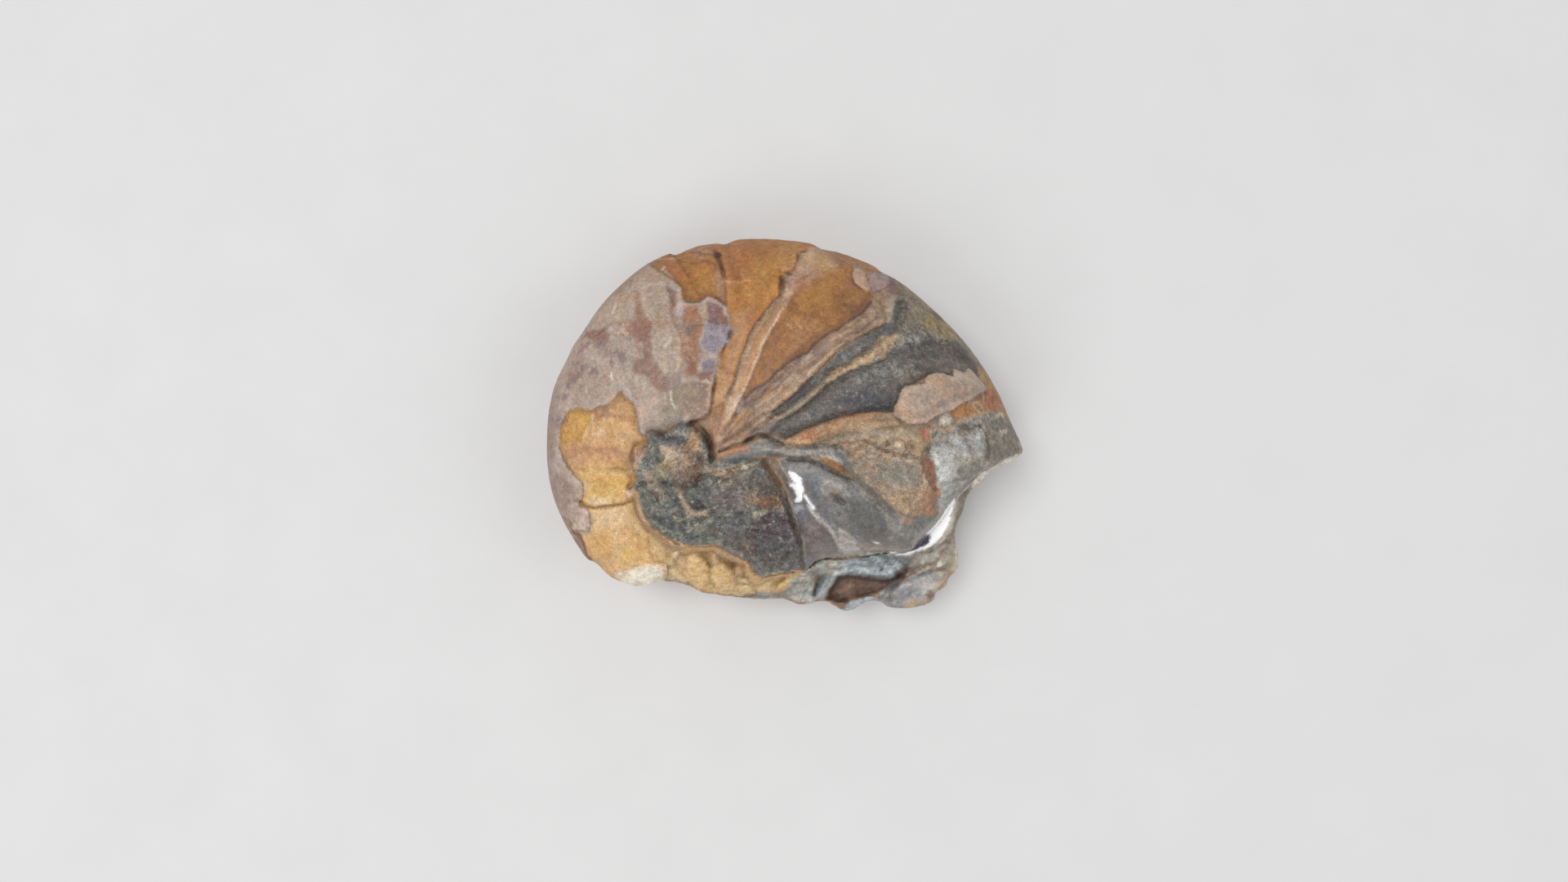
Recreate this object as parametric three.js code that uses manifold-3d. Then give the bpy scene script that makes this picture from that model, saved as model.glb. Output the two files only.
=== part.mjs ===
// Fossil nautiloid: a coiled, chambered shell turned to stone, broken off at its mouth, lying on its flank.
// Millimetres, +Z up. +X points from the back of the coil to the broken mouth, +Y to the crown of the shell.
// The origin is under the middle of the fossil, on the surface that it rests on.
import * as THREE from 'three';
import { mergeVertices } from 'three/addons/utils/BufferGeometryUtils.js';
import Module from 'manifold-3d';

// Driving dimensions
const KEEL_HEIGHT = 16.5;      // the keel, the outer edge of the coil, above the surface
const FLANK_RISE = 14;         // the upper flank's crown above the keel
const GROWTH = 0.008;          // how much the whorl widens for each millimetre towards the mouth
const REST_SAG = 0.9;          // how deep the lower flank is worn flat where it rests
const FLANK_POWER = 2.6;       // fullness of the upper flank's section
const UNDER_POWER = 2.4;       // fullness of the lower flank's section
const BREAK_POWER = 40;        // steepness of the upper flank past the broken edge
const UPPER_SPACING = 1.22;    // distance between points on the upper flank
const LOWER_SPACING = 2.1;     // distance between points on the lower flank
const SHELF_SPACING = 1.3;     // distance between points on the broken shelf
const SHELF_FIELD = [-24, 42, -34, 0];
const EDGE_SETTLE = 1.6;       // how far in from the rim the upper flank's relief reaches its full height
const UNDER_SETTLE = 2;        // the same on the lower flank
const SHELF_SETTLE = 0.8;      // the same on the broken shelf
const TOP = 45;                // a height clear of everything
const GROUND = [120, 120, 20]; // what is worn away under the resting surface
const ORIGIN_SHIFT = new THREE.Vector3(-0.16, 0.35, 0);    // puts the origin under the middle

// Outlines are drawn as the eye sees them from above: (u, v) is where a point shows on the keel's plane.
const EYE_HEIGHT = 158.2;       // the eye over the keel
const EYE = new THREE.Vector3(-0.12, -2.43, KEEL_HEIGHT + EYE_HEIGHT);
const CENTRE = [0, -1];         // the middle that the outline is measured from

function seen(u, v, z) {
  const reach = (EYE.z - z) / EYE_HEIGHT;
  return new THREE.Vector3(EYE.x + (u - EYE.x) * reach, EYE.y + (v - EYE.y) * reach, z);
}

// The fossil's outline, clockwise from the back of the coil
const OUTLINE = [
  [-35.3, -3], [-35, 2], [-34, 6.2], [-32.1, 10.1], [-31.6, 11.3], [-30, 13.7], [-27, 18], [-23, 21.9],
  [-20, 24.1], [-18.2, 25], [-17, 25.4], [-16.4, 25.2], [-13, 26.5], [-10.2, 26.9], [-8.8, 26.8],
  [-7.4, 27.4], [-3, 27.6], [2, 27.2], [4, 26.85], [5.4, 26.1], [7.5, 25.7], [10, 24.9], [13.6, 23.3],
  [14.2, 22.7], [16.6, 21.5], [20, 18.9], [24, 15.2], [27, 11.9], [30, 7.7], [32.2, 3.6], [33.8, -0.2],
  [35.1, -2.9], [35.3, -3.8], [34.9, -4.6], [32, -6.2], [30.2, -7.2], [28.2, -9.3], [27.4, -10.2],
  [26.3, -13], [25.2, -16], [25.5, -18], [25.4, -21.7], [24.4, -22.7], [23.9, -23.9], [22.4, -25],
  [22.1, -26], [21.4, -26.5], [18, -27.2], [15.4, -27], [14, -26.2], [12.2, -26.2], [10.1, -27.4],
  [9, -27.6], [5.6, -26.2], [2.2, -26.7], [0, -25.9], [-5, -25.8], [-10.2, -25.2], [-13, -24.6],
  [-14.2, -23.9], [-18.3, -23.2], [-21.3, -23.9], [-23.3, -23.7], [-26, -22.5], [-28, -20.6],
  [-29.3, -19.9], [-31, -17.5], [-33, -14], [-34.3, -10.8], [-35.1, -7],
];

// Past the break, where the whole shell would have gone on
const LOST_MOUTH = [
  [36.4, -5.6], [37.5, -9], [37.5, -15], [35.5, -21], [31, -27.5], [24, -32], [14, -34], [4, -33],
  [-5, -30.5], [-12, -27.5], [-16.5, -25],
];
const LOST_FROM = 33;          // outline point at the corner of the mouth
const LOST_TO = 60;            // outline point where the break ends

// The broken edge of the upper flank: past it, the far wall and the inside of the shell lie open
const BROKEN_EDGE = [
  [38.5, -2.5], [34.9, -4.2], [33, -5], [31, -6.2], [29.2, -7.2], [28.2, -8.2], [26, -10.4],
  [24.4, -12.5], [23.6, -13.9], [21.5, -16.3], [19.3, -18.5], [17.5, -19.05], [15, -18.75], [12.5, -19.4],
  [9.5, -19.75], [6.5, -19.7], [4.5, -20.3], [2.9, -21.9], [0, -21.9], [-3.4, -22.7], [-4.8, -22],
  [-5.6, -20.3], [-8.3, -19], [-10.3, -18.1], [-15.3, -18.05], [-18.2, -16.5], [-20.2, -15.6],
  [-20.3, -18.5], [-19.9, -19.7], [-18.8, -20.3], [-17.6, -20.5], [-17.4, -22.4], [-18.4, -24.6],
];
const OUTSIDE_OF_EDGE = [[-18, -36], [44, -36], [44, -4]];

// How far the rim drops below the keel past the break, by its bearing from the centre in degrees
const RIM_DROP = [
  [-134, 0], [-129, 0.7], [-120, 1.8], [-112, 2.6], [-90, 4.2], [-69, 5.4], [-49, 6], [-37, 6],
  [-27, 5.5], [-18, 4.4], [-11.5, 2.4], [-6.5, 0.6], [-3.2, 0],
];
// Height of the broken shelf over the rim, from left to right
const SHELF_RISE = [
  [-22, 6.6], [-12, 6.4], [-4, 6], [0, 5.8], [4, 5.4], [10, 4.5], [16, 2.5], [22, 1], [28, 0.5],
];
const SHELF_LIP = 0.8;
const SHELF_REACH = 3.8;
// Rubble against the foot of the break, from left to right
const RUBBLE_RISE = [[-2, 0], [4, 3.2], [11, 3.4], [15, 1.6], [18, 0], [24, 0], [29, 1.5]];
const RUBBLE_REACH = 1.3;

// Relief on the upper flank. Plates are outlines with a height; ribs follow a line.
const UMBILICAL_MATRIX = [
  [-14, 0.1], [-15.2, 0.6], [-17.5, -0.7], [-19.6, -1.2], [-20.3, -3], [-22.3, -4.2], [-22.7, -6.3],
  [-21.7, -8.4], [-23, -9.8], [-22, -11.8], [-20.6, -14.7], [-18, -16.6], [-15.2, -18.4], [-10.3, -18.4],
  [-6.5, -20], [-5.3, -22], [-3.4, -23], [2.9, -22.6], [2.5, -19], [1.2, -14.5], [-0.3, -11], [-2.8, -6.8],
  [-3.6, -5.2], [-9.5, -5.4], [-11.2, -4.6], [-11.8, -1.8],
];
const DARK_CHAMBER = [
  [-3, -1.7], [0, 0.9], [2.5, 2.3], [5, 4.3], [6.4, 5.9], [9, 6.9], [12, 8.6], [15, 9.6], [18, 12],
  [23, 12.8], [27.5, 9.6], [22, 7.8], [17.5, 5.4], [16.3, 2.2], [12, 2], [8, 1.3], [4, -0.3], [0, -1.9],
];
const UPPER_DARK_BAND = [
  [-5, -1.2], [-1.5, 2.3], [2, 4.9], [5.3, 8.5], [9, 11.8], [13, 13.6], [16, 15.6], [17.2, 18.6],
  [18.8, 16.5], [16.8, 13.6], [13, 11], [10, 8.8], [7, 8], [4.4, 5.6], [1, 3], [-2, 0.6],
];
const SECOND_CHAMBER = [
  [-10.5, 28.5], [-9.2, 23], [-8.6, 18], [-8.1, 13], [-9.9, 7], [-10.6, 2], [-8.6, 3.6], [-7, 8.5],
  [-5, 14], [-1.8, 18.2], [-0.6, 19.6], [-0.5, 21.8], [1.3, 23.2], [2, 25.1], [5, 26.2], [5.6, 28.5],
];
const ORANGE_BAND = [
  [-1, -2.5], [2, -1.1], [6, 0.4], [10, 1.6], [16.2, 1.9], [17, -0.6], [12, -1.2], [8, -1.6], [4, -3],
];
const FLAKE = [
  [16.4, 1], [16.4, 2.6], [17.6, 5.4], [20.8, 6], [20.9, 7.2], [23, 7.8], [25, 7.3], [25.1, 8.2],
  [26.6, 7.7], [27.4, 8.4], [28.7, 7.3], [29.7, 5.6], [30.4, 2], [28, 1], [25, 0.6], [20, 0.2],
];
const LAST_SEPTUM = [
  [-2.4, -5.4], [4.8, -5.4], [8.6, -7], [12.5, -9.4], [16.5, -13.4], [20, -18], [17, -21], [3, -22],
  [2.2, -17], [0.4, -11.5], [-1.4, -8],
];
const SHELL_PLATE = [
  [-37, -6], [-37, 12], [-28, 20], [-20, 25], [-17, 22], [-15, 18.2], [-11.4, 18.9], [-8.6, 17.8],
  [-8, 12.6], [-9.7, 10], [-10.3, 5], [-11.4, 1.4], [-14, 0.4], [-17.4, -0.6], [-20.6, -2.4],
  [-21.6, -1.2], [-22.2, 2.6], [-24.4, 4.8], [-26.2, 3], [-29, 1.8], [-31, 2.4], [-33.4, 0.4],
  [-33.7, -2.8], [-31.2, -7.2], [-30.3, -11], [-30.6, -16], [-36, -14],
];
const PLATES = [
  { outline: UMBILICAL_MATRIX, height: 1.9, soft: 0.75 },
  { outline: DARK_CHAMBER, height: -0.9, soft: 0.75 },
  { outline: UPPER_DARK_BAND, height: -0.7, soft: 0.75 },
  { outline: SECOND_CHAMBER, height: 0.5, soft: 0.75 },
  { outline: ORANGE_BAND, height: 0.6, soft: 0.75 },
  { outline: FLAKE, height: 0.4, soft: 0.75 },
  { outline: LAST_SEPTUM, height: 1.3, soft: 2.2 },
  { outline: SHELL_PLATE, height: 0.4, soft: 0.75 },
];
const RIBS = [
  {
    line: [[-8.4, 1], [-7.2, 4.6], [-5.6, 9], [-3.6, 13], [-0.6, 17.2], [1.2, 21], [3, 25.4]],
    height: 0.7,
    width: 1.15,
  },
  {
    line: [[-9.6, 3], [-8, 7.6], [-6.1, 12.1], [-3.8, 15.6], [-1.4, 18.8], [-0.6, 22]],
    height: -0.7,
    width: 1.15,
  },
  { line: [[-6.4, 1.4], [-2, 4.6], [3, 9.6], [8, 13], [12.6, 16]], height: 0.6, width: 1.15 },
  { line: [[0, 1.7], [3, 3.4], [5.6, 5.4], [8, 7.4], [11, 9], [15, 11.5]], height: 0.6, width: 1.15 },
  { line: [[-10.4, -4.2], [-6, -3.4], [-2, -3.6], [4, -3.9], [8.6, -5.4]], height: 0.8, width: 1.15 },
  { line: [[-13.8, 0.1], [-12, -1.6], [-11.2, -3.3], [-11, -5]], height: -2.2, width: 1.15 },
  {
    line: [[-3, -5.6], [-1, -8.8], [0.4, -11.6], [1.6, -15], [2.6, -19], [3, -22]],
    height: -1.5,
    width: 1.15,
  },
  { line: [[1.6, -8.6], [4.2, -12.6], [6.8, -15.4], [8.4, -19]], height: 0.5, width: 1.2 },
  { line: [[9, -6.6], [12.6, -9.6], [16.2, -13], [18.6, -17]], height: -0.5, width: 1.15 },
  { line: [[-31, -11.3], [-28, -12.3], [-25, -11.9], [-22.4, -11.4]], height: -0.6, width: 1.15 },
  { line: [[-33, -6.3], [-28, -6.9], [-22.6, -6.8]], height: -0.3, width: 1.15 },
  { line: [[-10.4, 26.4], [-10.1, 25], [-9.3, 23.4], [-8.9, 21.4]], height: -1.1, width: 1.15 },
  { line: [[21, -5], [22.2, -8], [22.4, -12], [22, -15]], height: -0.4, width: 1.15 },
  { line: [[30.1, -2], [30.2, -4.6], [29.4, -6.6]], height: -0.5, width: 1.15 },
  { line: [[-22.8, -9.2], [-18.6, -8.2], [-15.4, -9.2], [-12, -7.6]], height: -1, width: 1.15 },
  { line: [[-15.8, -9.6], [-14.6, -12], [-13.4, -13.3], [-11.6, -13]], height: 0.8, width: 1.15 },
];
const SOFT_KNOB = 1.5;         // powers of a knob's section: it fades into the surface
const ROUND_KNOB = 0.5;        // or stands on it as a dome
const KNOBS = [
  { at: [-16.4, -5.4], size: [2.6, 2], turn: 10, height: 0.8 },
  { at: [-6, -11], size: [3.4, 2], turn: 0, height: 0.7 },
  { at: [-17.4, -13], size: [3, 2.4], turn: -30, height: 0.9 },
  { at: [-8, -16.4], size: [3.4, 2], turn: -12, height: 0.7 },
  { at: [-1.6, -18.6], size: [2.4, 2.6], turn: 0, height: 0.6 },
  { at: [8, -11.2], size: [2.2, 1.4], turn: -35, height: -0.6 },
];

// The broken edge of the last septum is rounded, between these places from left to right
const ROUNDED_FROM = [0, 4];
const ROUNDED_TO = [25, 31];
const EDGE_ROUNDING = 4.6;
const EDGE_DROP = 5.2;
// How much wider than the fossil the whole shell was where the flank falls off at a break
const BROKEN_SHARE = 1.06;

// Relief on the broken shelf
const CRESCENT_FLOOR = [
  [26.4, -9.6], [25.2, -11.6], [24.6, -13.6], [23.9, -15.5], [23, -17], [21.8, -17.9], [20.5, -18.4],
  [17, -19.4], [15.3, -19], [16, -17], [20, -14], [24, -10],
];
const MOUTH_GROOVE = [
  [6.2, -25.8], [6.4, -24.9], [7.2, -24], [8.1, -23], [9.4, -22.7], [12, -22.5], [16.2, -22.6],
  [16.4, -23.2], [15, -24.6], [13.6, -25.5], [10.6, -25.6], [9, -26.4], [7.4, -26.2],
];
const GREY_LEDGE = [
  [3, -21.6], [5.5, -20], [12, -19.6], [15, -19], [19, -19.4], [17.6, -21.3], [15.6, -22.6], [12, -22.3],
  [8, -22.4], [5.8, -22.2],
];
const FAR_LOBE = [
  [15.6, -27], [16, -24.8], [17.4, -23.4], [19.4, -22.6], [22, -21.8], [24, -21.6], [24.4, -22.6],
  [22.8, -24.6], [22.4, -25.8], [21.2, -27], [18, -28],
];
const SHELF_PLATES = [
  { outline: CRESCENT_FLOOR, height: 4.2, soft: 0.75 },
  { outline: MOUTH_GROOVE, height: -3.8, soft: 0.75 },
  { outline: GREY_LEDGE, height: 1.1, soft: 0.75 },
  { outline: FAR_LOBE, height: 1.1, soft: 0.75 },
];
const SHELF_RIBS = [
  { line: [[17, -22.2], [18.2, -21.3], [19.3, -20.4]], height: -1.6, width: 1.15 },
  { line: [[7.6, -22.5], [6.5, -24], [5.4, -25.6]], height: 1.3, width: 1.15 },
  { line: [[25, -16], [24, -18.6], [23.2, -20.2]], height: 0.7, width: 1.15 },
];
const SHELF_KNOBS = [
  { at: [-19, -18.3], size: [1.6, 2.4], turn: 18, height: 1.7 },
  { at: [-16.5, -19.4], size: [1, 1.6], turn: 15, height: 0.8 },
  { at: [-13.4, -21.6], size: [2.2, 3.2], turn: 4, height: 2.3 },
  { at: [-9.5, -22.2], size: [1.9, 3.1], turn: 14, height: 2.3 },
  { at: [-6.2, -21.2], size: [1.4, 1.6], turn: 0, height: 1.2 },
  { at: [-5.6, -23.8], size: [2.1, 1.5], turn: -8, height: 1.4 },
  { at: [-2.4, -23.9], size: [1.8, 1.5], turn: 0, height: 1.4 },
  { at: [0.5, -23.4], size: [2.1, 0.8], turn: 38, height: 1.2 },
];

// Relief on the lower flank, drawn through the fossil from above
const UNDER_RIBS = [
  { line: [[-13, 2], [-12, 8], [-13, 15], [-16, 21]], height: -0.6, width: 1.15 },
  { line: [[-9, 2.5], [-5, 9], [-4, 16], [-4.5, 24]], height: -0.6, width: 1.15 },
  { line: [[-6, 0.5], [2, 9], [8, 16], [10.5, 22]], height: -0.7, width: 1.15 },
  { line: [[-19, -2], [-25, 1], [-30, 6]], height: -0.6, width: 1.15 },
  { line: [[-19, -7], [-26, -7.5], [-32, -6]], height: -0.6, width: 1.15 },
  { line: [[-17, -11], [-22, -15], [-26, -19]], height: -0.6, width: 1.15 },
];
const UNDER_UMBILICUS = { at: [-15.5, -5], size: [6.4, 6], turn: 0, height: -2.6 };

function smoothstep(low, high, value) {
  const t = THREE.MathUtils.clamp((value - low) / (high - low), 0, 1);
  return t * t * (3 - 2 * t);
}

function lookUp(table, at) {
  if (at <= table[0][0]) return table[0][1];
  for (let i = 1; i < table.length; i++) {
    const [x0, y0] = table[i - 1];
    const [x1, y1] = table[i];
    if (at <= x1) return THREE.MathUtils.lerp(y0, y1, (at - x0) / (x1 - x0));
  }
  return table[table.length - 1][1];
}

// Distance from a point to a line of points
function lineDistance(line, u, v, closed) {
  let nearest = Infinity;
  const last = closed ? line.length : line.length - 1;
  for (let i = 0; i < last; i++) {
    const [au, av] = line[i];
    const [bu, bv] = line[(i + 1) % line.length];
    const lengthSquared = (bu - au) ** 2 + (bv - av) ** 2;
    const along = ((u - au) * (bu - au) + (v - av) * (bv - av)) / lengthSquared;
    const t = THREE.MathUtils.clamp(along, 0, 1);
    nearest = Math.min(nearest, Math.hypot(u - au - t * (bu - au), v - av - t * (bv - av)));
  }
  return nearest;
}

// Distance to an outline's edge, positive inside
function depthInside(outline, u, v) {
  let inside = false;
  for (let i = 0, j = outline.length - 1; i < outline.length; j = i++) {
    const [au, av] = outline[i];
    const [bu, bv] = outline[j];
    if ((av > v) !== (bv > v) && u < ((bu - au) * (v - av)) / (bv - av) + au) inside = !inside;
  }
  const distance = lineDistance(outline, u, v, true);
  return inside ? distance : -distance;
}

// A smooth closed outline, and how far it is from the centre in each direction
class RoundOutline {
  constructor(points) {
    const corners = points.map(([u, v]) => new THREE.Vector3(u, v, 0));
    this.points = new THREE.CatmullRomCurve3(corners, true, 'centripetal').getPoints(corners.length * 10);
    this.points.pop();
    this.lengths = [0];
    this.points.forEach((point, i) => {
      const next = this.points[(i + 1) % this.points.length];
      this.lengths.push(this.lengths[i] + point.distanceTo(next));
    });
    this.perimeter = this.lengths[this.lengths.length - 1];
    this.polar = this.points.map((p) => {
      const du = p.x - CENTRE[0];
      const dv = p.y - CENTRE[1];
      return [Math.atan2(dv, du), Math.hypot(du, dv)];
    });
    this.polar.sort((a, b) => a[0] - b[0]);
    const [firstAngle, firstRadius] = this.polar[0];
    const [lastAngle, lastRadius] = this.polar[this.polar.length - 1];
    this.polar.unshift([lastAngle - 2 * Math.PI, lastRadius]);
    this.polar.push([firstAngle + 2 * Math.PI, firstRadius]);
  }

  radius(angle) {
    let low = 0;
    let high = this.polar.length - 1;
    while (high - low > 1) {
      const middle = (low + high) >> 1;
      if (this.polar[middle][0] <= angle) low = middle;
      else high = middle;
    }
    const [a0, r0] = this.polar[low];
    const [a1, r1] = this.polar[high];
    return a1 > a0 ? THREE.MathUtils.lerp(r0, r1, (angle - a0) / (a1 - a0)) : r0;
  }

  pointAt(share) {
    const wanted = (share - Math.floor(share)) * this.perimeter;
    let i = 1;
    while (this.lengths[i] < wanted) i++;
    const t = (wanted - this.lengths[i - 1]) / (this.lengths[i] - this.lengths[i - 1]);
    const next = this.points[i % this.points.length];
    return this.points[i - 1].clone().lerp(next, t);
  }
}

const outline = new RoundOutline(OUTLINE);
const wholeOutline = new RoundOutline([
  ...OUTLINE.slice(0, LOST_FROM), ...LOST_MOUTH, ...OUTLINE.slice(LOST_TO + 1),
]);

function polar(u, v) {
  const du = u - CENTRE[0];
  const dv = v - CENTRE[1];
  const angle = Math.atan2(dv, du);
  return { angle, share: Math.hypot(du, dv) / outline.radius(angle), radius: outline.radius(angle) };
}

function rimHeight(angle) {
  const degrees = THREE.MathUtils.radToDeg(angle);
  return degrees < RIM_DROP[0][0] ? KEEL_HEIGHT : KEEL_HEIGHT - lookUp(RIM_DROP, degrees);
}

function plateRelief(plates, u, v) {
  return plates.reduce((sum, plate) => {
    const depth = depthInside(plate.outline, u, v);
    return sum + plate.height * smoothstep(-plate.soft, plate.soft, depth);
  }, 0);
}

function ribRelief(ribs, u, v) {
  return ribs.reduce((sum, rib) => {
    const distance = lineDistance(rib.line, u, v, false);
    return sum + rib.height * Math.exp(-((distance / rib.width) ** 2));
  }, 0);
}

function knobRelief(knobs, steepness, u, v) {
  return knobs.reduce((sum, { at, size, turn, height }) => {
    const away = new THREE.Vector2(u - at[0], v - at[1]);
    away.rotateAround(new THREE.Vector2(), THREE.MathUtils.degToRad(-turn));
    const out = Math.hypot(away.x / size[0], away.y / size[1]);
    return sum + (out < 1 ? height * (1 - out * out) ** steepness : 0);
  }, 0);
}

const SHELF_OUTLINE = [...BROKEN_EDGE, ...OUTSIDE_OF_EDGE];
const COLUMN_SPAN = [-5, TOP + 5];

function upperHeight(u, v) {
  const { angle, share, radius } = polar(u, v);
  const wholeRadius = wholeOutline.radius(angle);
  const wholeShare = Math.min(1, (share * radius) / wholeRadius);
  const broken = smoothstep(1, BROKEN_SHARE, wholeRadius / radius);
  const flank = FLANK_RISE * (1 + GROWTH * u) * Math.sqrt(1 - wholeShare ** FLANK_POWER);
  const fall = THREE.MathUtils.lerp(1, Math.sqrt(Math.max(0, 1 - share ** BREAK_POWER)), broken);
  const inFromRim = (1 - share) * radius;
  const relief = plateRelief(PLATES, u, v) + ribRelief(RIBS, u, v) + knobRelief(KNOBS, SOFT_KNOB, u, v);
  const towardsEdge = -depthInside(SHELF_OUTLINE, u, v);
  const onSeptum = smoothstep(...ROUNDED_FROM, u) * (1 - smoothstep(...ROUNDED_TO, u));
  const rounding = Math.max(0, 1 - Math.max(0, towardsEdge) / EDGE_ROUNDING) ** 2 * EDGE_DROP * onSeptum;
  const rim = rimHeight(angle);
  const body = KEEL_HEIGHT - rim + flank + relief * smoothstep(0, EDGE_SETTLE, inFromRim) - rounding;
  return rim + body * fall;
}

function lowerHeight(u, v) {
  const { angle, share, radius } = polar(u, v);
  const rim = rimHeight(angle);
  const inFromRim = (1 - share) * radius;
  const relief = ribRelief(UNDER_RIBS, u, v) + knobRelief([UNDER_UMBILICUS], SOFT_KNOB, u, v);
  const bulge = (rim + REST_SAG) * (1 + GROWTH * u) * Math.sqrt(Math.max(0, 1 - share ** UNDER_POWER));
  return rim - bulge - relief * smoothstep(0, UNDER_SETTLE, inFromRim);
}

function shelfHeight(u, v) {
  const { angle, share, radius } = polar(u, v);
  const inFromRim = Math.max(0, (1 - share) * radius);
  const rise = lookUp(SHELF_RISE, u) * (1 - Math.exp(-inFromRim / SHELF_REACH));
  const fromBreak = lineDistance(BROKEN_EDGE, u, v, false);
  const rubble = lookUp(RUBBLE_RISE, u) * Math.exp(-((fromBreak / RUBBLE_REACH) ** 2));
  const relief = plateRelief(SHELF_PLATES, u, v) + ribRelief(SHELF_RIBS, u, v)
    + knobRelief(SHELF_KNOBS, ROUND_KNOB, u, v) + rubble;
  return rimHeight(angle) + SHELF_LIP + rise + relief * smoothstep(0, SHELF_SETTLE, inFromRim);
}

// Shares of the way out, from the middle to the rim, that lie evenly along the flank's section
function evenShares(spacing, power, rise) {
  const meanRadius = outline.perimeter / (2 * Math.PI);
  const steps = 2000;
  const lengths = [0];
  const shares = [0];
  for (let i = 1; i <= steps; i++) {
    const share = Math.sin((i / steps) * Math.PI / 2);
    const before = shares[i - 1];
    const drop = rise * (Math.sqrt(1 - before ** power) - Math.sqrt(Math.max(0, 1 - share ** power)));
    shares.push(share);
    lengths.push(lengths[i - 1] + Math.hypot((share - before) * meanRadius, drop));
  }
  const count = Math.round(lengths[steps] / spacing);
  const even = [];
  for (let ring = 1, i = 0; ring <= count; ring++) {
    const wanted = (ring / count) * lengths[steps];
    while (i < steps && lengths[i] < wanted) i++;
    even.push(ring === count ? 1 : shares[i]);
  }
  return even;
}

function ringOf(share, spacing, height, turn) {
  const count = Math.max(8, Math.round((outline.perimeter * share) / spacing));
  return Array.from({ length: count }, (_, i) => {
    const edge = outline.pointAt((i + turn) / count);
    const u = CENTRE[0] + (edge.x - CENTRE[0]) * share;
    const v = CENTRE[1] + (edge.y - CENTRE[1]) * share;
    return seen(u, v, height(u, v));
  });
}

// Joins two rings that need not have the same number of points
function stitch(faces, outer, outerStart, inner, innerStart) {
  let i = 0;
  let j = 0;
  while (i < outer.length || j < inner.length) {
    const nextOuter = i < outer.length ? (i + 1) / outer.length : Infinity;
    const nextInner = j < inner.length ? (j + 1) / inner.length : Infinity;
    const a = outerStart + (i % outer.length);
    const b = innerStart + (j % inner.length);
    if (nextOuter <= nextInner) {
      faces.push(outerStart + ((i + 1) % outer.length), a, b);
      i++;
    } else {
      faces.push(innerStart + ((j + 1) % inner.length), a, b);
      j++;
    }
  }
}

function geometryOf(points, faces) {
  const geometry = new THREE.BufferGeometry();
  geometry.setAttribute('position', new THREE.Float32BufferAttribute(points.flatMap((p) => p.toArray()), 3));
  geometry.setIndex(faces);
  return geometry;
}

function bodyGeometry() {
  const upper = evenShares(UPPER_SPACING, FLANK_POWER, FLANK_RISE);
  const lower = evenShares(LOWER_SPACING, UNDER_POWER, KEEL_HEIGHT);
  const rim = (u, v) => rimHeight(polar(u, v).angle);
  const turnOf = (i) => (i % 2) / 2;
  const rings = [
    ...upper.slice(0, -1).map((share, i) => ringOf(share, UPPER_SPACING, upperHeight, turnOf(i))),
    ringOf(1, (UPPER_SPACING + LOWER_SPACING) / 2, rim, 0),
    ...lower.slice(0, -1).reverse().map((share, i) => ringOf(share, LOWER_SPACING, lowerHeight, turnOf(i))),
  ];
  const points = rings.flat();
  const faces = [];
  let start = 0;
  rings.slice(0, -1).forEach((ring, i) => {
    stitch(faces, rings[i + 1], start + ring.length, ring, start);
    start += ring.length;
  });
  const first = rings[0].length;
  const top = points.push(seen(...CENTRE, upperHeight(...CENTRE))) - 1;
  const bottom = points.push(seen(...CENTRE, lowerHeight(...CENTRE))) - 1;
  for (let i = 0; i < first; i++) faces.push((i + 1) % first, i, top);
  const lastCount = rings[rings.length - 1].length;
  for (let i = 0; i < lastCount; i++) faces.push(start + i, start + ((i + 1) % lastCount), bottom);
  return geometryOf(points, faces);
}

// Everything above the broken shelf, as a block with the shelf for its floor
function aboveShelfGeometry() {
  const [uLow, uHigh, vLow, vHigh] = SHELF_FIELD;
  const columns = Math.round((uHigh - uLow) / SHELF_SPACING);
  const rows = Math.round((vHigh - vLow) / SHELF_SPACING);
  const points = [];
  const faces = [];
  for (const high of [false, true]) {
    for (let row = 0; row <= rows; row++) {
      for (let column = 0; column <= columns; column++) {
        const u = uLow + ((uHigh - uLow) * column) / columns;
        const v = vLow + ((vHigh - vLow) * row) / rows;
        points.push(seen(u, v, high ? TOP : shelfHeight(u, v)));
      }
    }
  }
  const wide = columns + 1;
  const level = wide * (rows + 1);
  for (let row = 0; row < rows; row++) {
    for (let column = 0; column < columns; column++) {
      const a = row * wide + column;
      faces.push(a, a + wide, a + 1, a + 1, a + wide, a + wide + 1);
      const b = a + level;
      faces.push(b, b + 1, b + wide, b + 1, b + wide + 1, b + wide);
    }
  }
  const border = [];
  for (let column = 0; column < columns; column++) border.push(column);
  for (let row = 0; row < rows; row++) border.push(row * wide + columns);
  for (let column = columns; column > 0; column--) border.push(rows * wide + column);
  for (let row = rows; row > 0; row--) border.push(row * wide);
  border.forEach((a, i) => {
    const b = border[(i + 1) % border.length];
    faces.push(a, b, b + level, a, b + level, a + level);
  });
  return geometryOf(points, faces);
}

// An upright column on an outline, its sides running to the eye
function columnGeometry(shape, low, high) {
  const flat = shape.map(([u, v]) => new THREE.Vector2(u, v));
  const counterClockwise = THREE.ShapeUtils.isClockWise(flat) ? flat.reverse() : flat;
  const count = flat.length;
  const points = [low, high].flatMap((z) => counterClockwise.map((p) => seen(p.x, p.y, z)));
  const faces = [];
  THREE.ShapeUtils.triangulateShape(counterClockwise, []).forEach(([a, b, c]) => {
    faces.push(c, b, a, a + count, b + count, c + count);
  });
  for (let i = 0; i < count; i++) {
    const next = (i + 1) % count;
    faces.push(i, next, next + count, i, next + count, i + count);
  }
  return geometryOf(points, faces);
}

function groundGeometry() {
  return new THREE.BoxGeometry(...GROUND).translate(0, 0, -GROUND[2] / 2);
}

const wasm = await Module();
wasm.setup();

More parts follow.
